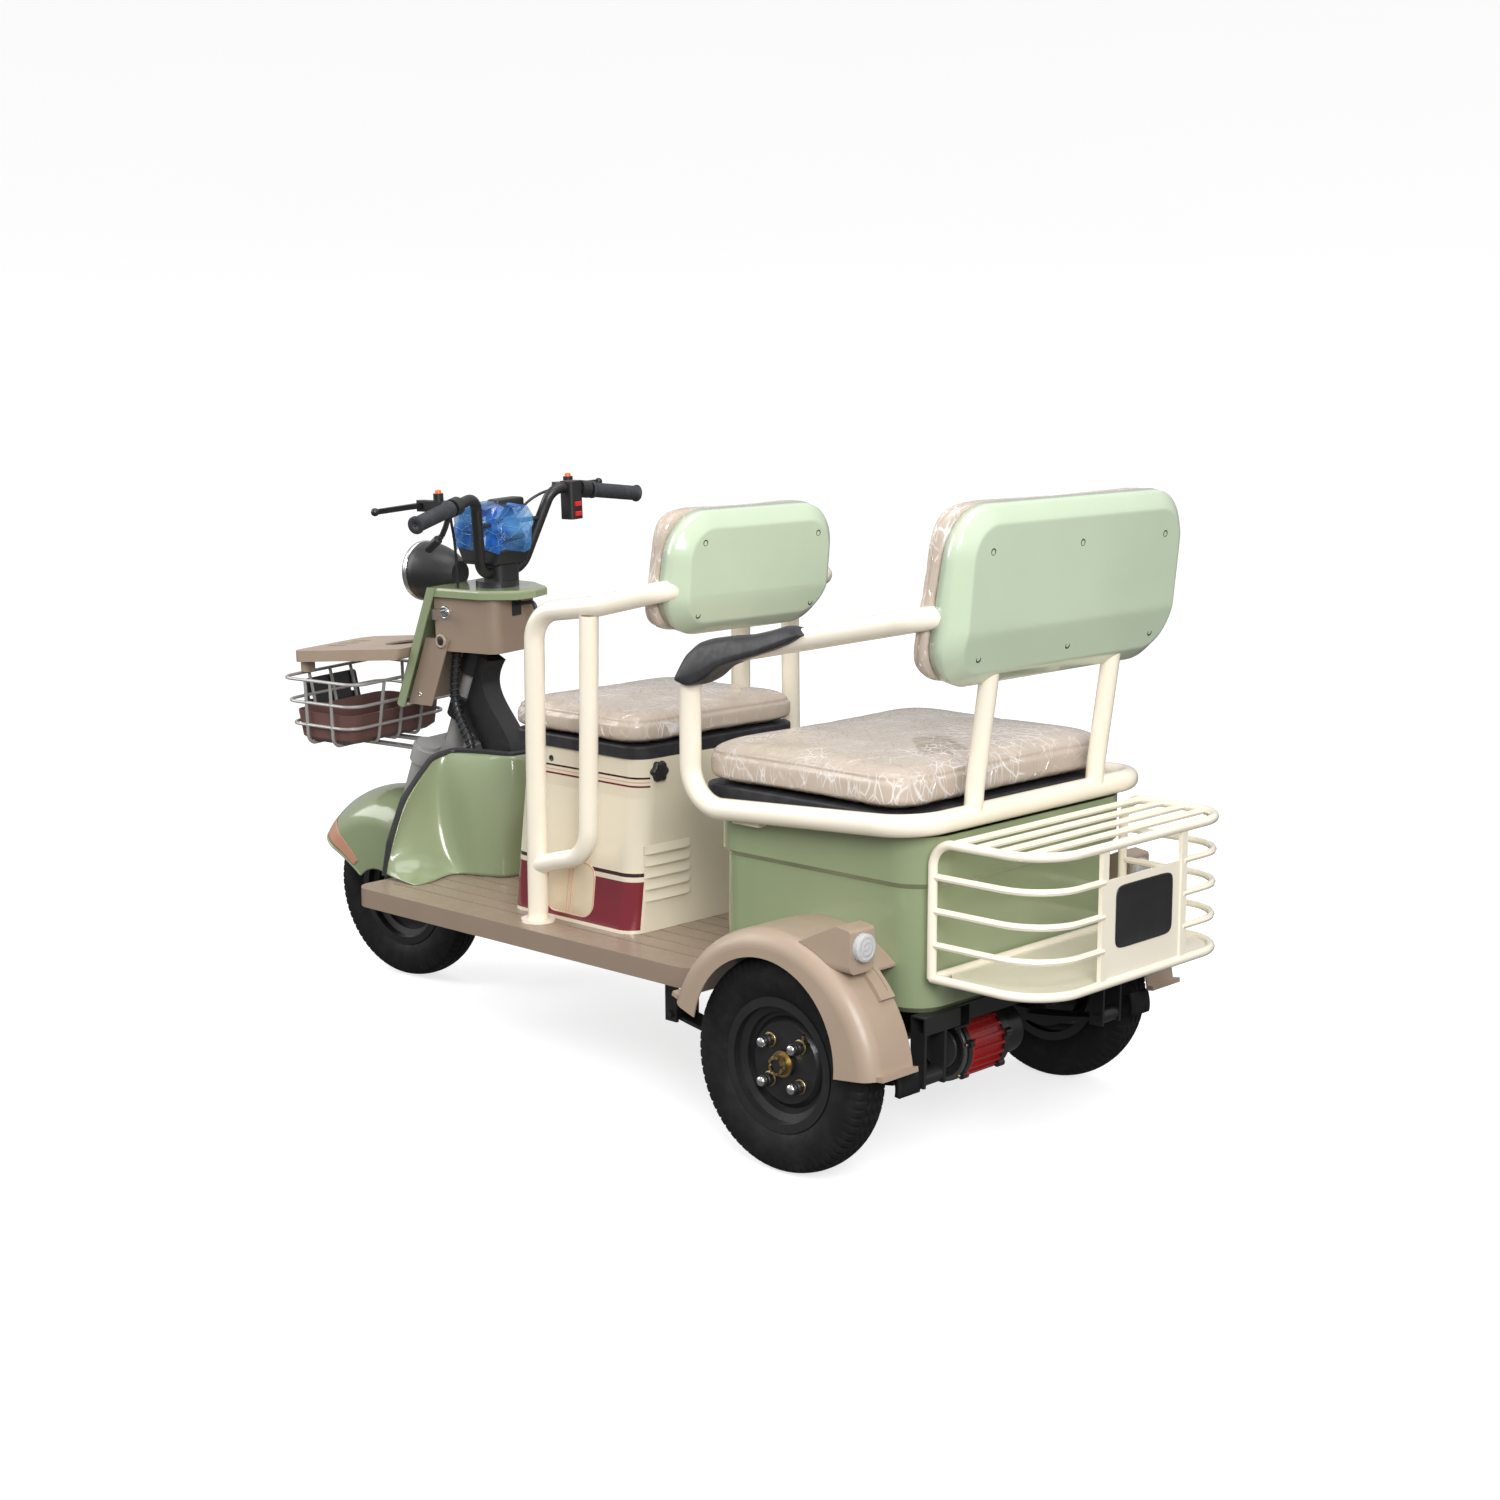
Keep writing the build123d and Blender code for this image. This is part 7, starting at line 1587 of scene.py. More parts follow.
@dataclass(frozen=True)
class LegShield:
    """Pressed leg shield: swept wings that flow into the tunnel round the neck."""

    wall: float = 0.004
    foot: float = 0.2880
    stations: tuple[tuple[tuple[float, ...], ...], ...] = (
        ((0.000, -0.449, 0.528), (0.000, -0.425, 0.528), (0.000, -0.424, 0.420), (0.000, -0.4235)),
        ((0.047, -0.451, 0.528), (0.046, -0.428, 0.527), (0.046, -0.426, 0.420), (0.046, -0.4245)),
        ((0.066, -0.520, 0.527), (0.078, -0.472, 0.525), (0.078, -0.440, 0.420), (0.080, -0.4370)),
        ((0.093, -0.572, 0.526), (0.098, -0.532, 0.515), (0.099, -0.488, 0.420), (0.101, -0.4740)),
        ((0.118, -0.586, 0.520), (0.118, -0.580, 0.470), (0.117, -0.552, 0.350), (0.119, -0.5180)),
        ((0.140, -0.589, 0.508), (0.142, -0.592, 0.445), (0.142, -0.582, 0.330), (0.147, -0.5280)),
        ((0.200, -0.5935, 0.437), (0.200, -0.597, 0.380), (0.200, -0.580, 0.305), (0.200, -0.5100)),
        ((0.238, -0.5935, 0.350), (0.238, -0.594, 0.325), (0.238, -0.572, 0.292), (0.237, -0.5050)),
        ((0.252, -0.5935, 0.297), (0.252, -0.575, 0.293), (0.252, -0.540, 0.290), (0.251, -0.5120)),
    )

    def build(self) -> None:
        """Make the shield as one sheet with a wall."""
        piece = build_piece("leg_shield_skin", [self.surface()], Dress.SAGE)
        thicken(piece, self.wall)
        settle(piece, "chassis", "green_panel", ["leg_shield"])

    def surface(self) -> Patch:
        """Cubic Bezier columns from the upper edge to the foot, on keys that flow from wing to wing.

        Returns:
            The sheet, before it has its wall.
        """
        half = np.array([(*upper, (*last, self.foot)) for *upper, last in self.stations])
        keys = np.concatenate((half[:0:-1] * np.array((-1.0, 1.0, 1.0)), half))
        place = np.linspace(0, len(keys) - 1, 241)
        top, high, low, foot = np.moveaxis(flowing(keys, place), 1, 0)[:, :, None]
        drop = np.linspace(0, 1, 64)[None, :, None]
        left = 1 - drop
        return Patch(top * left**3 + 3 * high * drop * left**2 + 3 * low * drop**2 * left + foot * drop**3)


@dataclass(frozen=True)
class FrontGuard:
    """Deep front mudguard with round shoulders, a rolled front edge and a peach stripe along it."""

    half: float = 0.098
    flat: float = 0.158
    rise: float = 0.072
    low: float = 0.066
    nose: float = math.radians(32.0)
    slant: float = math.radians(70.0)
    tail: float = math.radians(121.0)
    wall: float = 0.003
    bead: float = 0.0030
    stripe_lift: float = 0.0022
    stripe_wall: float = 0.0008
    stripe_inner: float = 0.045
    stripe_radius: tuple[float, float] = (0.092, 0.214)
    stripe_span: tuple[float, float] = (0.030, 0.170)

    def build(self) -> None:
        """Make the guard, its rolled edge and both stripes."""
        across, radius = self.section(0.0)
        skin = self.patch(across, radius, np.linspace(0, 1, 90))
        piece = build_piece("front_guard_skin", [skin], Dress.SAGE)
        thicken(piece, self.wall)
        settle(piece, "steering", "green_panel", ["front_fender"])
        size = np.full(len(across), self.bead)
        size[[0, -1]] = 0.0
        bead = build_piece("front_guard_bead", [swept(skin.points[0], size, 10, (0.1, 0.4, 0.9))], Dress.SAGE)
        settle(bead, "steering", "green_panel")
        self.stripes()

    def stripes(self) -> None:
        """A thin stripe on each side, along the front edge."""
        across, radius = self.section(self.stripe_lift)
        low, high = self.stripe_radius
        sides = []
        for side in (1, -1):
            band = (across * side > self.stripe_inner) & (radius > low) & (radius < high)
            sides.append(self.patch(across[band], radius[band], np.linspace(*self.stripe_span, 12)))
        stripe = build_piece("front_guard_stripe", sides, Dress.STRIPE)
        thicken(stripe, self.stripe_wall)
        settle(stripe, "steering", "green_panel")

    def section(self, lift: float) -> tuple[np.ndarray, np.ndarray]:
        """Distance across and radius of the section: straight sides under half an ellipse, lifted off.

        Args:
            lift: how far it stands off the guard.

        Returns:
            Both, in order from left to right.
        """
        side = np.linspace(self.low, self.flat, 30)[:-1]
        turn = np.linspace(0, np.pi, 73)
        even = np.ones_like(side)
        across = np.concatenate((even, np.cos(turn), -even)) * (self.half + lift)
        radius = np.concatenate((side, self.flat + (self.rise + lift) * np.sin(turn), side[::-1]))
        return across, radius

    def patch(self, across: np.ndarray, radius: np.ndarray, share: np.ndarray) -> Patch:
        """Carry the section round the wheel, from a front edge that slants back towards the hub to the tail.

        Args:
            across: distances across the wheel.
            radius: radii of the section.
            share: shares of the way round.

        Returns:
            The surface, parked with the front end.
        """
        start = self.nose + self.slant * (self.flat + self.rise - radius)
        angle = start[None] + (self.tail - start)[None] * share[:, None]
        y = PLAN.front_axle - radius[None] * np.cos(angle)
        z = PLAN.axle_height + radius[None] * np.sin(angle)
        x = np.broadcast_to(across[None], y.shape)
        return Patch(PLAN.turned(np.stack((x, y, z), axis=-1)))


@dataclass(frozen=True)
class Tyres:
    """Three tyres with zigzag tread grooves, shoulder blocks and moulded sidewall rings."""

    radius: float = 0.1862
    half_width: float = 0.0400
    bead: float = 0.0277
    seat: float = 0.1023
    lip: float = 0.1150
    shoulder: float = 0.1752
    shoulder_in: float = 0.0075
    bulge: float = 0.0105
    lining: Pairs = ((-0.030, 0.150), (0.0, 0.174), (0.030, 0.150))
    lining_half: float = 0.0207
    steps: int = 432
    groove: float = 0.0042
    groove_places: Point = (-0.0135, 0.0, 0.0135)
    groove_edge: tuple[float, float] = (0.0008, 0.0021)
    tread_edge: tuple[float, float] = (0.1745, 0.1800)
    zigzags: int = 54
    zigzag: float = 0.0016
    slits: int = 72
    slit_depth: float = 0.0032
    slit_edge: tuple[float, float] = (0.05, 0.12)
    block_edge: tuple[float, float] = (0.0205, 0.0225)
    block_foot: tuple[float, float] = (0.1600, 0.1640)
    ring_pitch: float = 0.0042
    ring_depth: float = 0.0006
    ring_span: tuple[float, float] = (0.120, 0.158)
    wall_from: float = 0.026

    def section(self) -> np.ndarray:
        """Half width against radius, from one bead over the tread to the other, then back inside.

        Returns:
            One row a point.
        """
        wall = np.linspace(0.0, 1.0, 26)
        bulge = np.sin(np.pi * np.clip(wall * 0.92 + 0.04, 0, 1)) ** 0.8
        side_x = self.bead + (self.half_width - self.shoulder_in - self.bead) * wall
        side_x = side_x + self.bulge * bulge * (1 - 0.25 * wall)
        side_r = self.lip + (self.shoulder - self.lip) * wall
        edge = side_x[-1]
        x = np.linspace(edge, -edge, 62)
        crown = self.shoulder + (self.radius - self.shoulder) * np.cos(x / edge * np.pi / 2) ** 0.55
        return np.vstack(
            (
                ((self.bead, self.seat),),
                np.stack((np.minimum(side_x, self.half_width), side_r), axis=1),
                np.stack((x, crown), axis=1)[1:-1],
                np.stack((np.maximum(-side_x, -self.half_width), side_r), axis=1)[::-1],
                ((-self.bead, self.seat), (-self.lining_half, self.seat)),
                self.lining,
                ((self.lining_half, self.seat),),
            )
        )

    def relief(self, section: np.ndarray, angle: np.ndarray) -> np.ndarray:
        """How far each point sinks below the plain tyre.

        Grooves run at x0 + a * tri(n t) round the tread, slits cross the shoulders, rings mark the sidewall.

        Args:
            section: half width and radius of each section point.
            angle: steps round the tyre.

        Returns:
            Depths on the grid of angle by section.
        """
        across, radius = section[:, 0], section[:, 1]
        wave = np.abs((angle * self.zigzags / (2 * np.pi)) % 1.0 - 0.5) * 4 - 1
        middle = across[None] - self.zigzag * wave[:, None]
        lines = np.min(np.abs(middle[..., None] - np.array(self.groove_places)), axis=-1)
        tread = smooth_step(radius, *self.tread_edge)[None]
        sunk = (1 - smooth_step(lines, *self.groove_edge)) * self.groove * tread
        phase = (angle[:, None] * self.slits / (2 * np.pi) + np.where(across > 0, 0.0, 0.5)[None]) % 1.0
        slit = 1 - smooth_step(np.abs(phase - 0.5), *self.slit_edge)
        outer = smooth_step(np.abs(across), *self.block_edge) * smooth_step(radius, *self.block_foot)
        sunk = np.maximum(sunk, slit * self.slit_depth * outer[None])
        rings = self.ring_depth * (np.sin(radius * 2 * np.pi / self.ring_pitch) > 0.5)
        rings = rings * (radius > self.ring_span[0]) * (radius < self.ring_span[1])
        outside = np.arange(len(across)) < len(across) - len(self.lining) - 2
        walls = (np.abs(across) > self.wall_from) * outside
        return sunk + (rings * walls)[None]

    def build(self) -> None:
        """Make the three tyres on their axles."""
        straight = np.array((1.0, 0.0, 0.0))
        left = np.array((PLAN.half_track, PLAN.rear_axle, PLAN.axle_height))
        front = PLAN.turned(np.array((0.0, PLAN.front_axle, PLAN.axle_height)))
        for node, body, centre, way in (
            ("rear_tyre_left", "left_rear_wheel", left, straight),
            ("rear_tyre_right", "right_rear_wheel", left * np.array((-1, 1, 1)), straight),
            ("front_tyre", "front_roller", front, PLAN.turned_way(straight)),
        ):
            piece = self.make(node + "_tread", centre, way)
            settle(piece, body, "tyre_rubber", [node])

    def make(self, name: str, centre: np.ndarray, way: np.ndarray) -> Piece:
        """Turn the section about the axle and sink the tread.

        Args:
            name: the piece's name.
            centre: the wheel's middle.
            way: direction of its axle.

        Returns:
            The tyre.
        """
        section = self.section()
        angle = np.linspace(0, 2 * np.pi, self.steps, endpoint=False)
        radius = section[None, :, 1] - self.relief(section, angle)
        points = centre + section[None, :, :1] * way + radius[..., None] * spokes(way, angle)[:, None]
        return build_piece(name, [Patch(points, wrap_u=True, wrap_v=True)], Dress.TYRE)


@dataclass(frozen=True)
class WheelTrim:
    """Wheel nuts, hub nuts and valves."""

    stud_circle: float = 0.0475
    face: float = 0.0135
    barrel: Pairs = (
        (0.0, 0.0016), (0.0106, 0.0016), (0.0106, 0.0110), (0.0092, 0.0118), (0.0092, 0.0150),
        (0.0100, 0.0158), (0.0100, 0.0190), (0.0, 0.0190),
    )
    collar: Pairs = ((0.0, 0.0), (0.0134, 0.0), (0.0134, 0.0012), (0.0122, 0.0020), (0.0, 0.0020))
    cap_foot: Pairs = ((0.0, 0.0188), (0.0096, 0.0188), (0.0096, 0.0220))
    cap_radius: float = 0.0092
    cap_height: float = 0.0225
    cap_rise: float = 0.0058
    washer: Pairs = ((0.0, 0.006), (0.0225, 0.006), (0.0225, 0.0085), (0.0, 0.0085))
    castle_slots: int = 6
    slot_depth: float = 0.0045
    valve_foot: Point = (0.0, 0.052, 0.041)
    valve_sunk: float = 0.008

    def build(self) -> None:
        """Fit both rear wheels."""
        for side, body in ((1, "left_rear_wheel"), (-1, "right_rear_wheel")):
            way = np.array((float(side), 0.0, 0.0))
            hub = np.array((side * (PLAN.half_track + self.face), PLAN.rear_axle, PLAN.axle_height))
            angle = np.pi / 4 + np.arange(4) * np.pi / 2
            studs = hub + self.stud_circle * np.stack((0 * angle, np.cos(angle), np.sin(angle)), axis=1)
            domes = [lathe(self.dome(), stud, way, 20) for stud in studs]
            barrels = [lathe(self.barrel, stud, way, 24) for stud in studs]
            collars = [lathe(self.collar, stud, way, 24) for stud in studs]
            name = body.split("_")[0]
            settle(build_piece(f"nut_barrels_{name}", barrels, Dress.BLACK_PLASTIC), body, "black_plastic")
            for piece in (
                build_piece(f"wheel_nuts_{name}", domes, Dress.CHROME),
                build_piece(f"nut_collars_{name}", collars, Dress.ZINC),
                build_piece(f"hub_nut_{name}", self.castle(hub, way), Dress.ZINC, smooth=False),
                build_piece(f"valve_{name}", [self.valve(hub, way)], Dress.ZINC),
            ):
                settle(piece, body, "bright_steel")

    def dome(self) -> list[tuple[float, float]]:
        """Domed cap: radius against height, a short barrel with a round top.

        Returns:
            Pairs of radius and height.
        """
        turn = np.linspace(0, np.pi / 2, 7)
        top = zip(self.cap_radius * np.cos(turn), self.cap_height + self.cap_rise * np.sin(turn))
        return [*self.cap_foot, *top]

    def castle(self, hub: np.ndarray, way: np.ndarray) -> list[Patch]:
        """Castle nut: a washer, and a crown whose radius steps in at six slots.

        Args:
            hub: middle of the wheel's face.
            way: where it faces.

        Returns:
            The washer and the crown.
        """
        washer = lathe(self.washer, hub, way, 32)
        angle = np.linspace(0, 2 * np.pi, 72, endpoint=False)
        slot = self.slot_depth * (np.abs((angle * self.castle_slots / (2 * np.pi)) % 1.0 - 0.5) > 0.34)
        plain = np.zeros_like(slot)
        top = 0.0240 - slot
        radius = np.stack((0.0175 + plain, 0.0175 + plain, 0.0165 - slot, 0.0112 + plain))
        height = np.stack((0.0085 + plain, 0.0195 + plain, top, top))
        crown = hub + height[..., None] * way + radius[..., None] * spokes(way, angle)[None]
        return [washer, Patch(crown, wrap_v=True)]

    def valve(self, hub: np.ndarray, way: np.ndarray) -> Patch:
        """Bent valve stem through the disc.

        Args:
            hub: middle of the wheel's face.
            way: where it faces.

        Returns:
            The stem.
        """
        turn = np.linspace(0, 1, 14)
        foot = hub + np.array(self.valve_foot) - self.valve_sunk * way
        out = way * (0.026 * np.sin(turn * 1.4))[:, None]
        path = foot + out + np.array((0.0, 0.2, 1.0)) * (0.022 * turn**2)[:, None]
        return swept(path, np.where(turn > 0.75, 0.0036, 0.0028), 12, (0.0, 1.0, -0.2))


@dataclass(frozen=True)
class Grips:
    """Ribbed handlebar grips with flanged ends."""

    end: Point = (0.324, -0.4269, 1.027)
    shoulder: Point = (0.112, -0.4722, 1.0592)
    length: float = 0.122
    radius: float = 0.0148
    rib: float = 0.00055
    rib_pitch: float = 0.0042
    bore: float = 0.0113

    def build(self) -> None:
        """Left grip on the bar, right one on the throttle."""
        for side, node, body in ((1, "grip_left", "steering"), (-1, "throttle_grip", "throttle")):
            mirror = np.array((side, 1, 1))
            start, bend = PLAN.turned(np.array((self.end, self.shoulder)) * mirror)
            sleeve = lathe(self.profile(), start, bend - start, 40)
            piece = build_piece(node + "_sleeve", [sleeve], Dress.GRIP)
            settle(piece, body, "grip_rubber", [node])

    def profile(self) -> np.ndarray:
        """Radius against distance from the bar's end: r0 + ribs, a flange at each end and a closed cap.

        Returns:
            One row a point.
        """
        run = np.linspace(0.006, self.length - 0.010, 150)
        ribs = self.rib * np.clip(np.sin(run * 2 * np.pi / self.rib_pitch), -0.2, 1.0)
        body = np.stack((self.radius + ribs, run), axis=1)
        cap = ((0.0, -0.0004), (0.0022, -0.0004), (0.0026, 0.003), (0.0030, -0.0004), (0.0165, -0.0004),
               (0.0176, 0.0010), (0.0176, 0.0042), (0.0162, 0.0058))
        flange = ((0.0162, -0.009), (0.0178, -0.006), (0.0178, -0.001), (0.0160, 0.0), (self.bore, 0.0))
        bore = ((self.bore, 0.002), (0.0, 0.002))
        return np.vstack((cap, body, np.array(flange) + np.array((0.0, self.length)), bore))


@dataclass(frozen=True)
class Lamps:
    """Cut tail-lamp lenses and the headlight's bezel."""

    tail: Point = (0.385, 0.7811, 0.413)
    head: Point = (0.0, -0.7329, 0.885)
    facets: int = 22
    cut: Pairs = (
        (0.0, 0.0), (0.0236, 0.0), (0.0238, 0.0030), (0.0236, 0.0080), (0.0226, 0.0098), (0.0190, 0.0112),
        (0.0150, 0.0106), (0.0108, 0.0118), (0.0064, 0.0110), (0.0, 0.0120),
    )
    bezel: Pairs = (
        (0.0585, -0.001), (0.0618, -0.001), (0.0628, 0.004), (0.0612, 0.010), (0.0575, 0.011),
        (0.0568, 0.006), (0.0585, -0.001),
    )

    def build(self) -> None:
        """Two tail lamps and the headlight."""
        back = np.array((0.0, 1.0, 0.0))
        tails = [self.faceted(np.array(self.tail) * np.array((side, 1, 1)), back) for side in (1, -1)]
        lenses = build_piece("tail_lens_facets", tails, Dress.CRYSTAL, smooth=False)
        settle(lenses, "chassis", "clear_lens", ["tail_lamp_lenses"])
        bezel = lathe(self.bezel, PLAN.turned(np.array(self.head)), PLAN.turned_way(-back), 72)
        settle(build_piece("headlight_bezel", [bezel], Dress.CHROME), "steering", "bright_steel")

    def faceted(self, centre: np.ndarray, way: np.ndarray) -> Patch:
        """Cut lens: a domed disc whose rings are turned half a step from each other, to break into facets.

        Args:
            centre: middle of its seat.
            way: where it faces.

        Returns:
            The lens.
        """
        radius, depth = np.array(self.cut).T[..., None, None]
        shift = (np.arange(len(self.cut)) % 2)[:, None] * np.pi / self.facets
        angle = np.linspace(0, 2 * np.pi, self.facets, endpoint=False)[None] + shift
        return Patch(centre + depth * way + radius * spokes(way, angle), wrap_v=True)


def stepped(ring: np.ndarray, steps: Pairs, centre: np.ndarray) -> Patch:
    """A flat ring scaled by each step's share and moved back by its depth: centre + depth * y + share * ring.

    Args:
        ring: the outline about its middle.
        steps: pairs of share and depth.
        centre: where the middle lies.

    Returns:
        The raised plate, from its rim to its middle.
    """
    pairs = np.array(steps)
    points = centre + pairs[:, None, 1:2] * np.array((0.0, 1.0, 0.0)) + pairs[:, None, :1] * ring[None]
    return Patch(points, wrap_v=True)


@dataclass(frozen=True)
class BoxTrim:
    """Louvre hoods, socket cap, keyhole and printed pocket on the seat box."""

    back: float = 0.1011
    foot: float = 0.2865
    half_low: float = 0.241
    half_high: float = 0.212
    waist: float = 0.535
    louvre: tuple[float, float] = (0.144, 0.396)
    louvre_half: float = 0.060
    louvre_steps: int = 49
    pitch: float = 0.022
    wedge: Pairs = (
        (0.0006, 0.0085), (0.0012, 0.0070), (0.0058, -0.0050), (0.0062, -0.0068), (0.0052, -0.0078),
        (0.0, -0.0074), (-0.0030, -0.0074), (-0.0030, 0.0085),
    )
    lock: tuple[float, float] = (-0.1399, 0.585)
    keyhole: Pairs = ((0.0, 0.0004), (0.0034, 0.0004), (0.0042, 0.0012), (0.0056, 0.0012), (0.0062, -0.002))
    socket: tuple[float, float] = (0.167, 0.584)
    cap_rim: Pairs = ((0.0185, -0.004), (0.0190, 0.004), (0.0175, 0.008), (0.0150, 0.0092), (0.0, 0.0092))
    lobes: int = 6
    lobe: float = 0.09
    pocket_middle: tuple[float, float] = (-0.067, 0.352)
    pocket_half: tuple[float, float] = (0.064, 0.050)
    pocket_corner: float = 0.027
    pocket_rings: Pairs = ((1.0, -0.001), (1.0, 0.0010), (0.985, 0.0016), (0.6, 0.0016), (0.0, 0.0016))
    strap_span: tuple[float, float] = (0.304, 0.400)
    strap_half: float = 0.0050

    def half(self, height: np.ndarray) -> np.ndarray:
        """Half width of the box at a height: a straight taper up to the waist."""
        share = np.clip((height - self.foot) / (self.waist - self.foot), 0, 1)
        return self.half_low + (self.half_high - self.half_low) * share

    def build(self) -> None:
        """Fit the pieces."""
        self.hoods()
        self.cap()
        self.pocket()
        keyhole = lathe(self.keyhole, (self.half_high, *self.lock), (1.0, 0.0, 0.0), 18)
        settle(build_piece("seat_lock", [keyhole], Dress.BLACK_PLASTIC), "chassis", "black_plastic")

    def hoods(self) -> None:
        """Five louvre hoods: a wedge that stands out more towards its lower lip and fades at both ends."""
        across = np.linspace(-self.louvre_half, self.louvre_half, self.louvre_steps)
        fade = np.clip(1 - np.abs(across / self.louvre_half) ** 6, 0, 1)
        out, rise = np.array(self.wedge).T[:, None]
        patches = []
        for step in range(-2, 3):
            x = np.broadcast_to((self.louvre[0] + across)[:, None], (self.louvre_steps, len(self.wedge)))
            y = self.back + np.where(out > 0, out * fade[:, None], out)
            z = self.louvre[1] + step * self.pitch + np.broadcast_to(rise, x.shape)
            ends = np.stack((x, y, z), axis=-1)
            first = np.broadcast_to(ends[0].mean(axis=0), ends[0].shape)
            last = np.broadcast_to(ends[-1].mean(axis=0), ends[0].shape)
            patches.append(Patch(np.vstack((first[None], ends, last[None])), wrap_v=True))
        piece = build_piece("louvre_hoods", patches, Dress.LOUVRE, smooth=False)
        settle(piece, "chassis", "cream_plastic")

    def cap(self) -> None:
        """Star-shaped socket cap: radius r (1 + a cos 6t) against depth."""
        angle = np.linspace(0, 2 * np.pi, 84, endpoint=False)
        lobe = 1 + self.lobe * np.cos(self.lobes * angle)
        ring = np.stack((np.cos(angle) * lobe, 0 * angle, np.sin(angle) * lobe), axis=1)
        centre = np.array((self.socket[0], self.back, self.socket[1]))
        patch = stepped(ring, self.cap_rim, centre)
        settle(build_piece("socket_cap", [patch], Dress.BLACK_PLASTIC), "chassis", "black_plastic")

    def on_side(self, loop: np.ndarray, lift: float, side: int) -> np.ndarray:
        """Places on the box's side wall from pairs along and up it, lifted off it a little."""
        x = side * (self.half(loop[..., 1]) + lift)
        return np.stack((x, loop[..., 0], loop[..., 1]), axis=-1)

    def pocket(self) -> None:
        """Quilted pocket on each side with piping round it and a strap down its middle."""
        middle = np.array(self.pocket_middle)
        outline = rounded(self.pocket_half, self.pocket_corner, 120)
        panels, piping = [], []
        for side in (1, -1):
            rings = [self.on_side(middle + outline * scale, lift, side) for scale, lift in self.pocket_rings]
            panels.append(Patch(np.stack(rings), wrap_v=True))
            edge = self.on_side(middle + outline, 0.0012, side)
            piping.append(swept(edge, 0.0017, 8, (1.0, 0.1, 0.05), closed=True))
            for shift in (-self.strap_half, self.strap_half):
                strap = np.stack((np.full(24, middle[0] + shift), np.linspace(*self.strap_span, 24)), axis=1)
                piping.append(swept(self.on_side(strap, 0.0020, side), 0.0015, 8, (0.0, 1.0, 0.0)))
        settle(build_piece("pocket_panels", panels, Dress.PRINT), "chassis", "cream_plastic")
        settle(build_piece("pocket_piping", piping, Dress.PIPING), "chassis", "cream_plastic")


@dataclass(frozen=True)
class DashTrim:
    """Lock bezel, socket, screw and handlebar fittings, drawn straight ahead and then parked."""

    lock: Point = (0.0771, -0.6069, 0.816)
    socket: Point = (0.0800, -0.6209, 0.756)
    screw: Point = (0.0800, -0.690, 0.640)
    bezel: Pairs = (
        (0.0096, -0.002), (0.0135, -0.002), (0.0142, 0.001), (0.0128, 0.0048), (0.0104, 0.0056),
        (0.0096, 0.0040), (0.0096, -0.002),
    )
    rim: Pairs = (
        (0.0092, -0.002), (0.0150, -0.002), (0.0148, 0.0022), (0.0126, 0.0036), (0.0100, 0.0036),
        (0.0092, 0.0020), (0.0092, -0.002),
    )
    plug: Pairs = ((0.0, 0.0026), (0.0060, 0.0026), (0.0086, 0.0020), (0.0094, 0.0008), (0.0094, -0.003))
    screw_head: Pairs = (
        (0.0, 0.0002), (0.0024, 0.0002), (0.0030, 0.0012), (0.0046, 0.0010), (0.0052, -0.001),
    )
    block: Point = (-0.033, -0.530, 1.031)
    block_half: Point = (0.043, 0.017, 0.0105)
    switch: tuple[Point, Point] = ((0.196, -0.4870, 0.9900), (0.196, -0.5330, 0.9560))
    switch_barrel: Pairs = (
        (0.0, 0.0), (0.0050, 0.0), (0.0058, 0.001), (0.0058, 0.010), (0.0088, 0.011), (0.0092, 0.013),
        (0.0092, 0.046), (0.0070, 0.050), (0.0040, 0.054), (0.0, 0.055),
    )
    stem: tuple[Point, ...] = (
        (0.192, -0.462, 1.046), (0.193, -0.468, 1.030), (0.194, -0.477, 1.008), (0.195, -0.486, 0.992),
        (0.196, -0.494, 0.985),
    )
    stem_radius: float = 0.0056

    def build(self) -> None:
        """Fit the pieces to the steering."""
        out = np.array((1.0, 0.0, 0.0))
        for name, profile, place, dress, slot in (
            ("lock_bezel", self.bezel, self.lock, Dress.CHROME, "bright_steel"),
            ("socket_rim", self.rim, self.socket, Dress.BEIGE, "tan_plastic"),
            ("socket_plug", self.plug, self.socket, Dress.BLACK_PLASTIC, "black_plastic"),
            ("apron_screw", self.screw_head, self.screw, Dress.CHROME, "bright_steel"),
        ):
            patch = lathe(profile, place, out, 32)
            patch.points = PLAN.turned(patch.points)
            settle(build_piece(name, [patch], dress), "steering", slot)
        self.bar_block()
        self.brake_switch()

    def bar_block(self) -> None:
        """Flat black block on the handlebar's brace, right of the pod: a rounded bar along x."""
        run = np.linspace(-1.0, 1.0, 40)[:, None]
        close = np.sqrt(np.clip(1 - np.abs(run) ** 12, 0, 1))
        deep, tall = squircle(self.block_half[1:], 0.35, 32).T
        along = np.broadcast_to(self.block_half[0] * run, (len(run), len(deep)))
        points = np.stack((along, close * deep, close * tall), axis=-1)
        patch = Patch(PLAN.turned(np.array(self.block) + points), wrap_v=True)
        settle(build_piece("bar_block", [patch], Dress.BLACK_PLASTIC), "steering", "black_plastic")

    def brake_switch(self) -> None:
        """Brake switch under the left lever's perch, a stepped barrel on a stem."""
        start, stop = PLAN.turned(np.array(self.switch))
        size = np.full(len(self.stem), self.stem_radius)
        size[[0, -1]] = 0.0
        barrel = lathe(self.switch_barrel, start, stop - start, 24)
        stem = swept(PLAN.turned(np.array(self.stem)), size, 16, (1.0, 0.0, 0.0))
        piece = build_piece("brake_switch", [barrel, stem], Dress.BLACK_PLASTIC)
        settle(piece, "steering", "black_plastic")


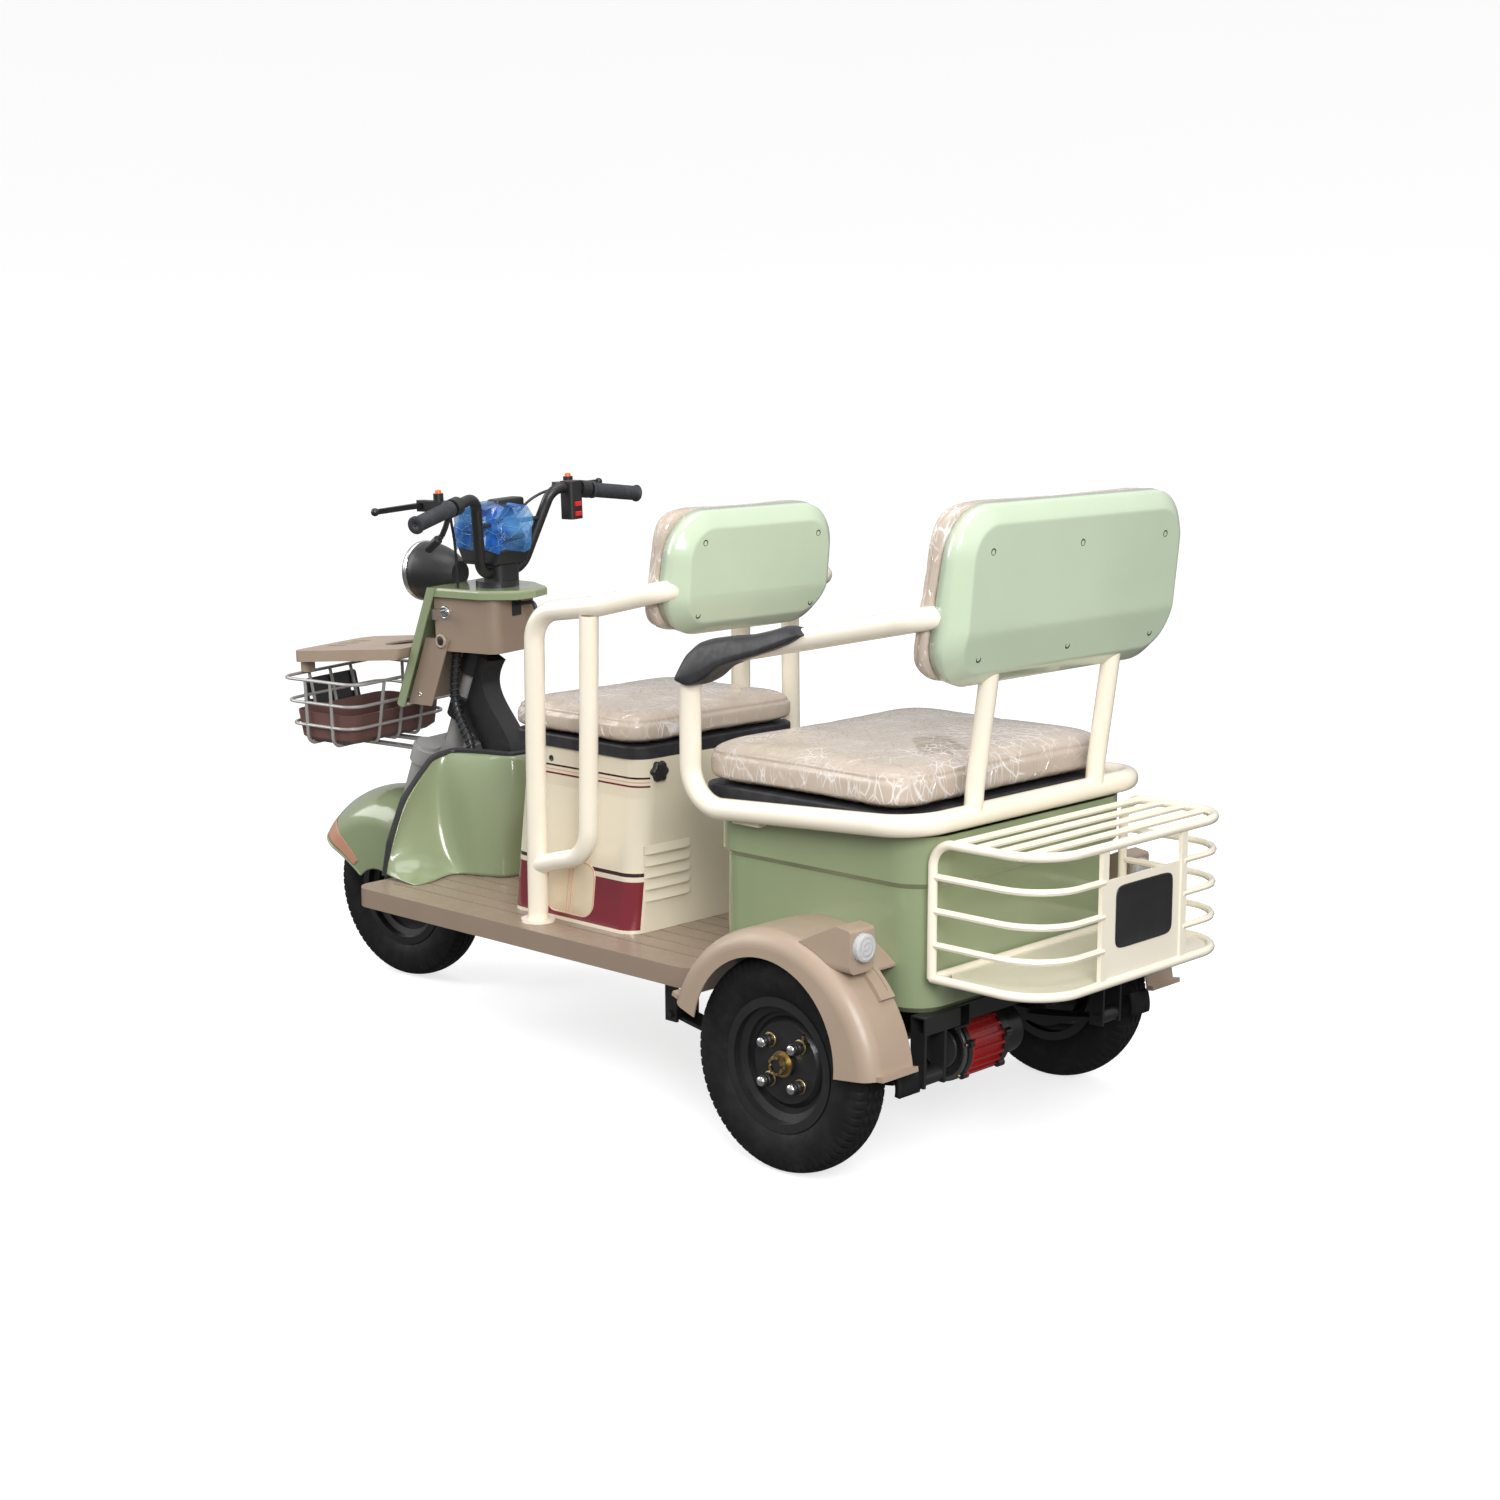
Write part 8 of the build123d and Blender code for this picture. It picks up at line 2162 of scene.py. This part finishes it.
@dataclass(frozen=True)
class MotorTrim:
    """End plate, rim and bolts on the motor's left cover; the rim is painted a lighter grey as a highlight
    ring.
    """

    centre: Point = (0.1000, 0.7131, 0.1722)
    bolt_circle: float = 0.0595
    plate: Pairs = (
        (0.0, 0.0012), (0.030, 0.0012), (0.0335, 0.0020), (0.0365, 0.0012), (0.0375, -0.002), (0.0, -0.002),
    )
    rim: Pairs = (
        (0.0500, -0.001), (0.0520, 0.0022), (0.0550, 0.0030), (0.0580, 0.0022), (0.0596, -0.001),
        (0.0500, -0.001),
    )
    bolt: Pairs = ((0.0, 0.0030), (0.0022, 0.0030), (0.0036, 0.0026), (0.0036, -0.001))

    def build(self) -> None:
        """Fit them to the axle."""
        way = np.array((1.0, 0.0, 0.0))
        middle = np.array(self.centre)
        bolts = []
        for angle in np.radians(15 + 60 * np.arange(6)):
            spot = middle + self.bolt_circle * np.array((0.0, math.cos(angle), math.sin(angle)))
            bolts.append(lathe(self.bolt, spot, way, 6))
        for name, patches, dress, slot in (
            ("motor_end_plate", [lathe(self.plate, middle, way, 64)], Dress.END_PLATE, "motor_paint"),
            ("motor_rim", [lathe(self.rim, middle, way, 72)], Dress.END_RIM_HIGHLIGHT, "motor_paint"),
            ("motor_bolts", bolts, Dress.ZINC, "zinc_steel"),
        ):
            settle(build_piece(name, patches, dress), "rear_axle", slot)


@dataclass(frozen=True)
class SmallTrim:
    """Blank plate, film on the pod, mirror-hole plugs and mud flaps."""

    plate_past_axle: float = 0.4395
    plate_height: float = 0.452
    plate_half: tuple[float, float] = (0.080, 0.052)
    plate_steps: Pairs = (
        (1.0, 0.0003), (1.0, 0.0016), (0.975, 0.0022), (0.955, 0.0018), (0.5, 0.0018), (0.0, 0.0018),
    )
    film_gap: float = 0.006
    film_folds: tuple[int, int] = (18, 8)
    film_crumple: float = 0.11
    perch_run: float = 0.140
    plug_shift: Point = (0.0, -0.042, 0.0251)
    plug: Pairs = ((0.0062, -0.002), (0.0062, 0.004), (0.0050, 0.0062), (0.0, 0.0066))
    flap_span: tuple[float, float] = (0.300, 0.352)
    flap_drop: float = 0.042
    flap_wall: float = 0.010

    def build(self) -> None:
        """Fit every small piece."""
        self.plate()
        self.film()
        self.plugs()
        self.flaps()

    def plate(self) -> None:
        """Blank dark number plate bolted to the panel of the goods basket."""
        across, up = squircle(self.plate_half, 0.22, 64).T
        ring = np.stack((across, 0 * across, up), axis=1)
        centre = np.array((0.0, PLAN.rear_axle + self.plate_past_axle, self.plate_height))
        patch = stepped(ring, self.plate_steps, centre)
        settle(build_piece("blank_plate", [patch], Dress.BLACK_PAINT), "chassis", "black_steel")

    def film(self) -> None:
        """Crumpled film on the pod: its outline in flat folds, each corner shifted by a hash."""
        low, high = (np.array(corner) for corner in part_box("instrument_cluster"))
        middle = (low + high) / 2
        half = (high - low)[:2] / 2 + self.film_gap
        cols, rows = self.film_folds
        level = np.linspace(0.0, 1.0, rows)[:, None]
        col, row = np.meshgrid(np.arange(cols), np.arange(rows))
        crumple = np.sin(col * 12.9898 + row * 78.233) * 43758.5453
        crumple = crumple - np.floor(crumple) - 0.5
        loop = squircle((half[0], half[1]), 0.42, cols)
        close = np.sqrt(np.clip(1 - np.clip((level - 0.80) / 0.20, 0, 1) ** 2, 0, 1))
        size = (0.94 + 0.06 * np.sin(np.pi * level)) * close + self.film_crumple * crumple * close
        rise = low[2] + 0.030 + (high[2] - low[2] - 0.022) * level
        rise = rise + 0.010 * np.roll(crumple, 3, axis=1) * close
        plan = middle[:2] + loop[None] * size[..., None]
        points = np.concatenate((plan, rise[..., None]), axis=-1)
        piece = build_piece("pod_film", [Patch(points, wrap_v=True)], Dress.FILM, smooth=False)
        settle(piece, "steering", "black_plastic")

    def plugs(self) -> None:
        """Orange plugs in the mirror holes of both lever perches."""
        end = np.array(Grips.end)
        perch = end + unit(np.array(Grips.shoulder) - end) * self.perch_run
        top = perch + np.array(self.plug_shift)
        up = PLAN.turned_way(np.array((0.0, 0.0, 1.0)))
        heads = [lathe(self.plug, PLAN.turned(top * np.array((side, 1, 1))), up, 16) for side in (1, -1)]
        settle(build_piece("mirror_plugs", heads, Dress.ORANGE), "steering", "red_plastic")

    def flaps(self) -> None:
        """Short mud flaps under the backs of the rear mudguards."""
        low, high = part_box("rear_fenders")
        patches = []
        for side in (1, -1):
            across = np.linspace(*self.flap_span, 8) * side
            drop = np.linspace(0.0, 1.0, 9)
            x, t = np.meshgrid(across, drop, indexing="ij")
            y = high[1] - 0.026 + 0.006 * np.sin(t * 2.2)
            z = low[2] + 0.006 - self.flap_drop * t
            patches.append(Patch(np.stack((x, y, z), axis=-1)))
        piece = build_piece("mud_flaps", patches, Dress.TYRE)
        thicken(piece, self.flap_wall, -1.0)
        settle(piece, "chassis", "tyre_rubber")


def main() -> None:
    """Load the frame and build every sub-assembly in order."""
    logging.basicConfig(level=logging.INFO, format="%(name)s: %(message)s")
    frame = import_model()
    for part in (Studio(), Harness()):
        part.build()
    dress_nodes(frame["nodes"])
    for part in (
        Cushions(), Shells(), Armrests(), LegShield(), FrontGuard(), Tyres(), WheelTrim(), Grips(), Lamps(),
        BoxTrim(), DashTrim(), MotorTrim(), SmallTrim(),
    ):
        part.build()
        LOG.info("finished %s", type(part).__name__)


if __name__ == "__main__":
    main()
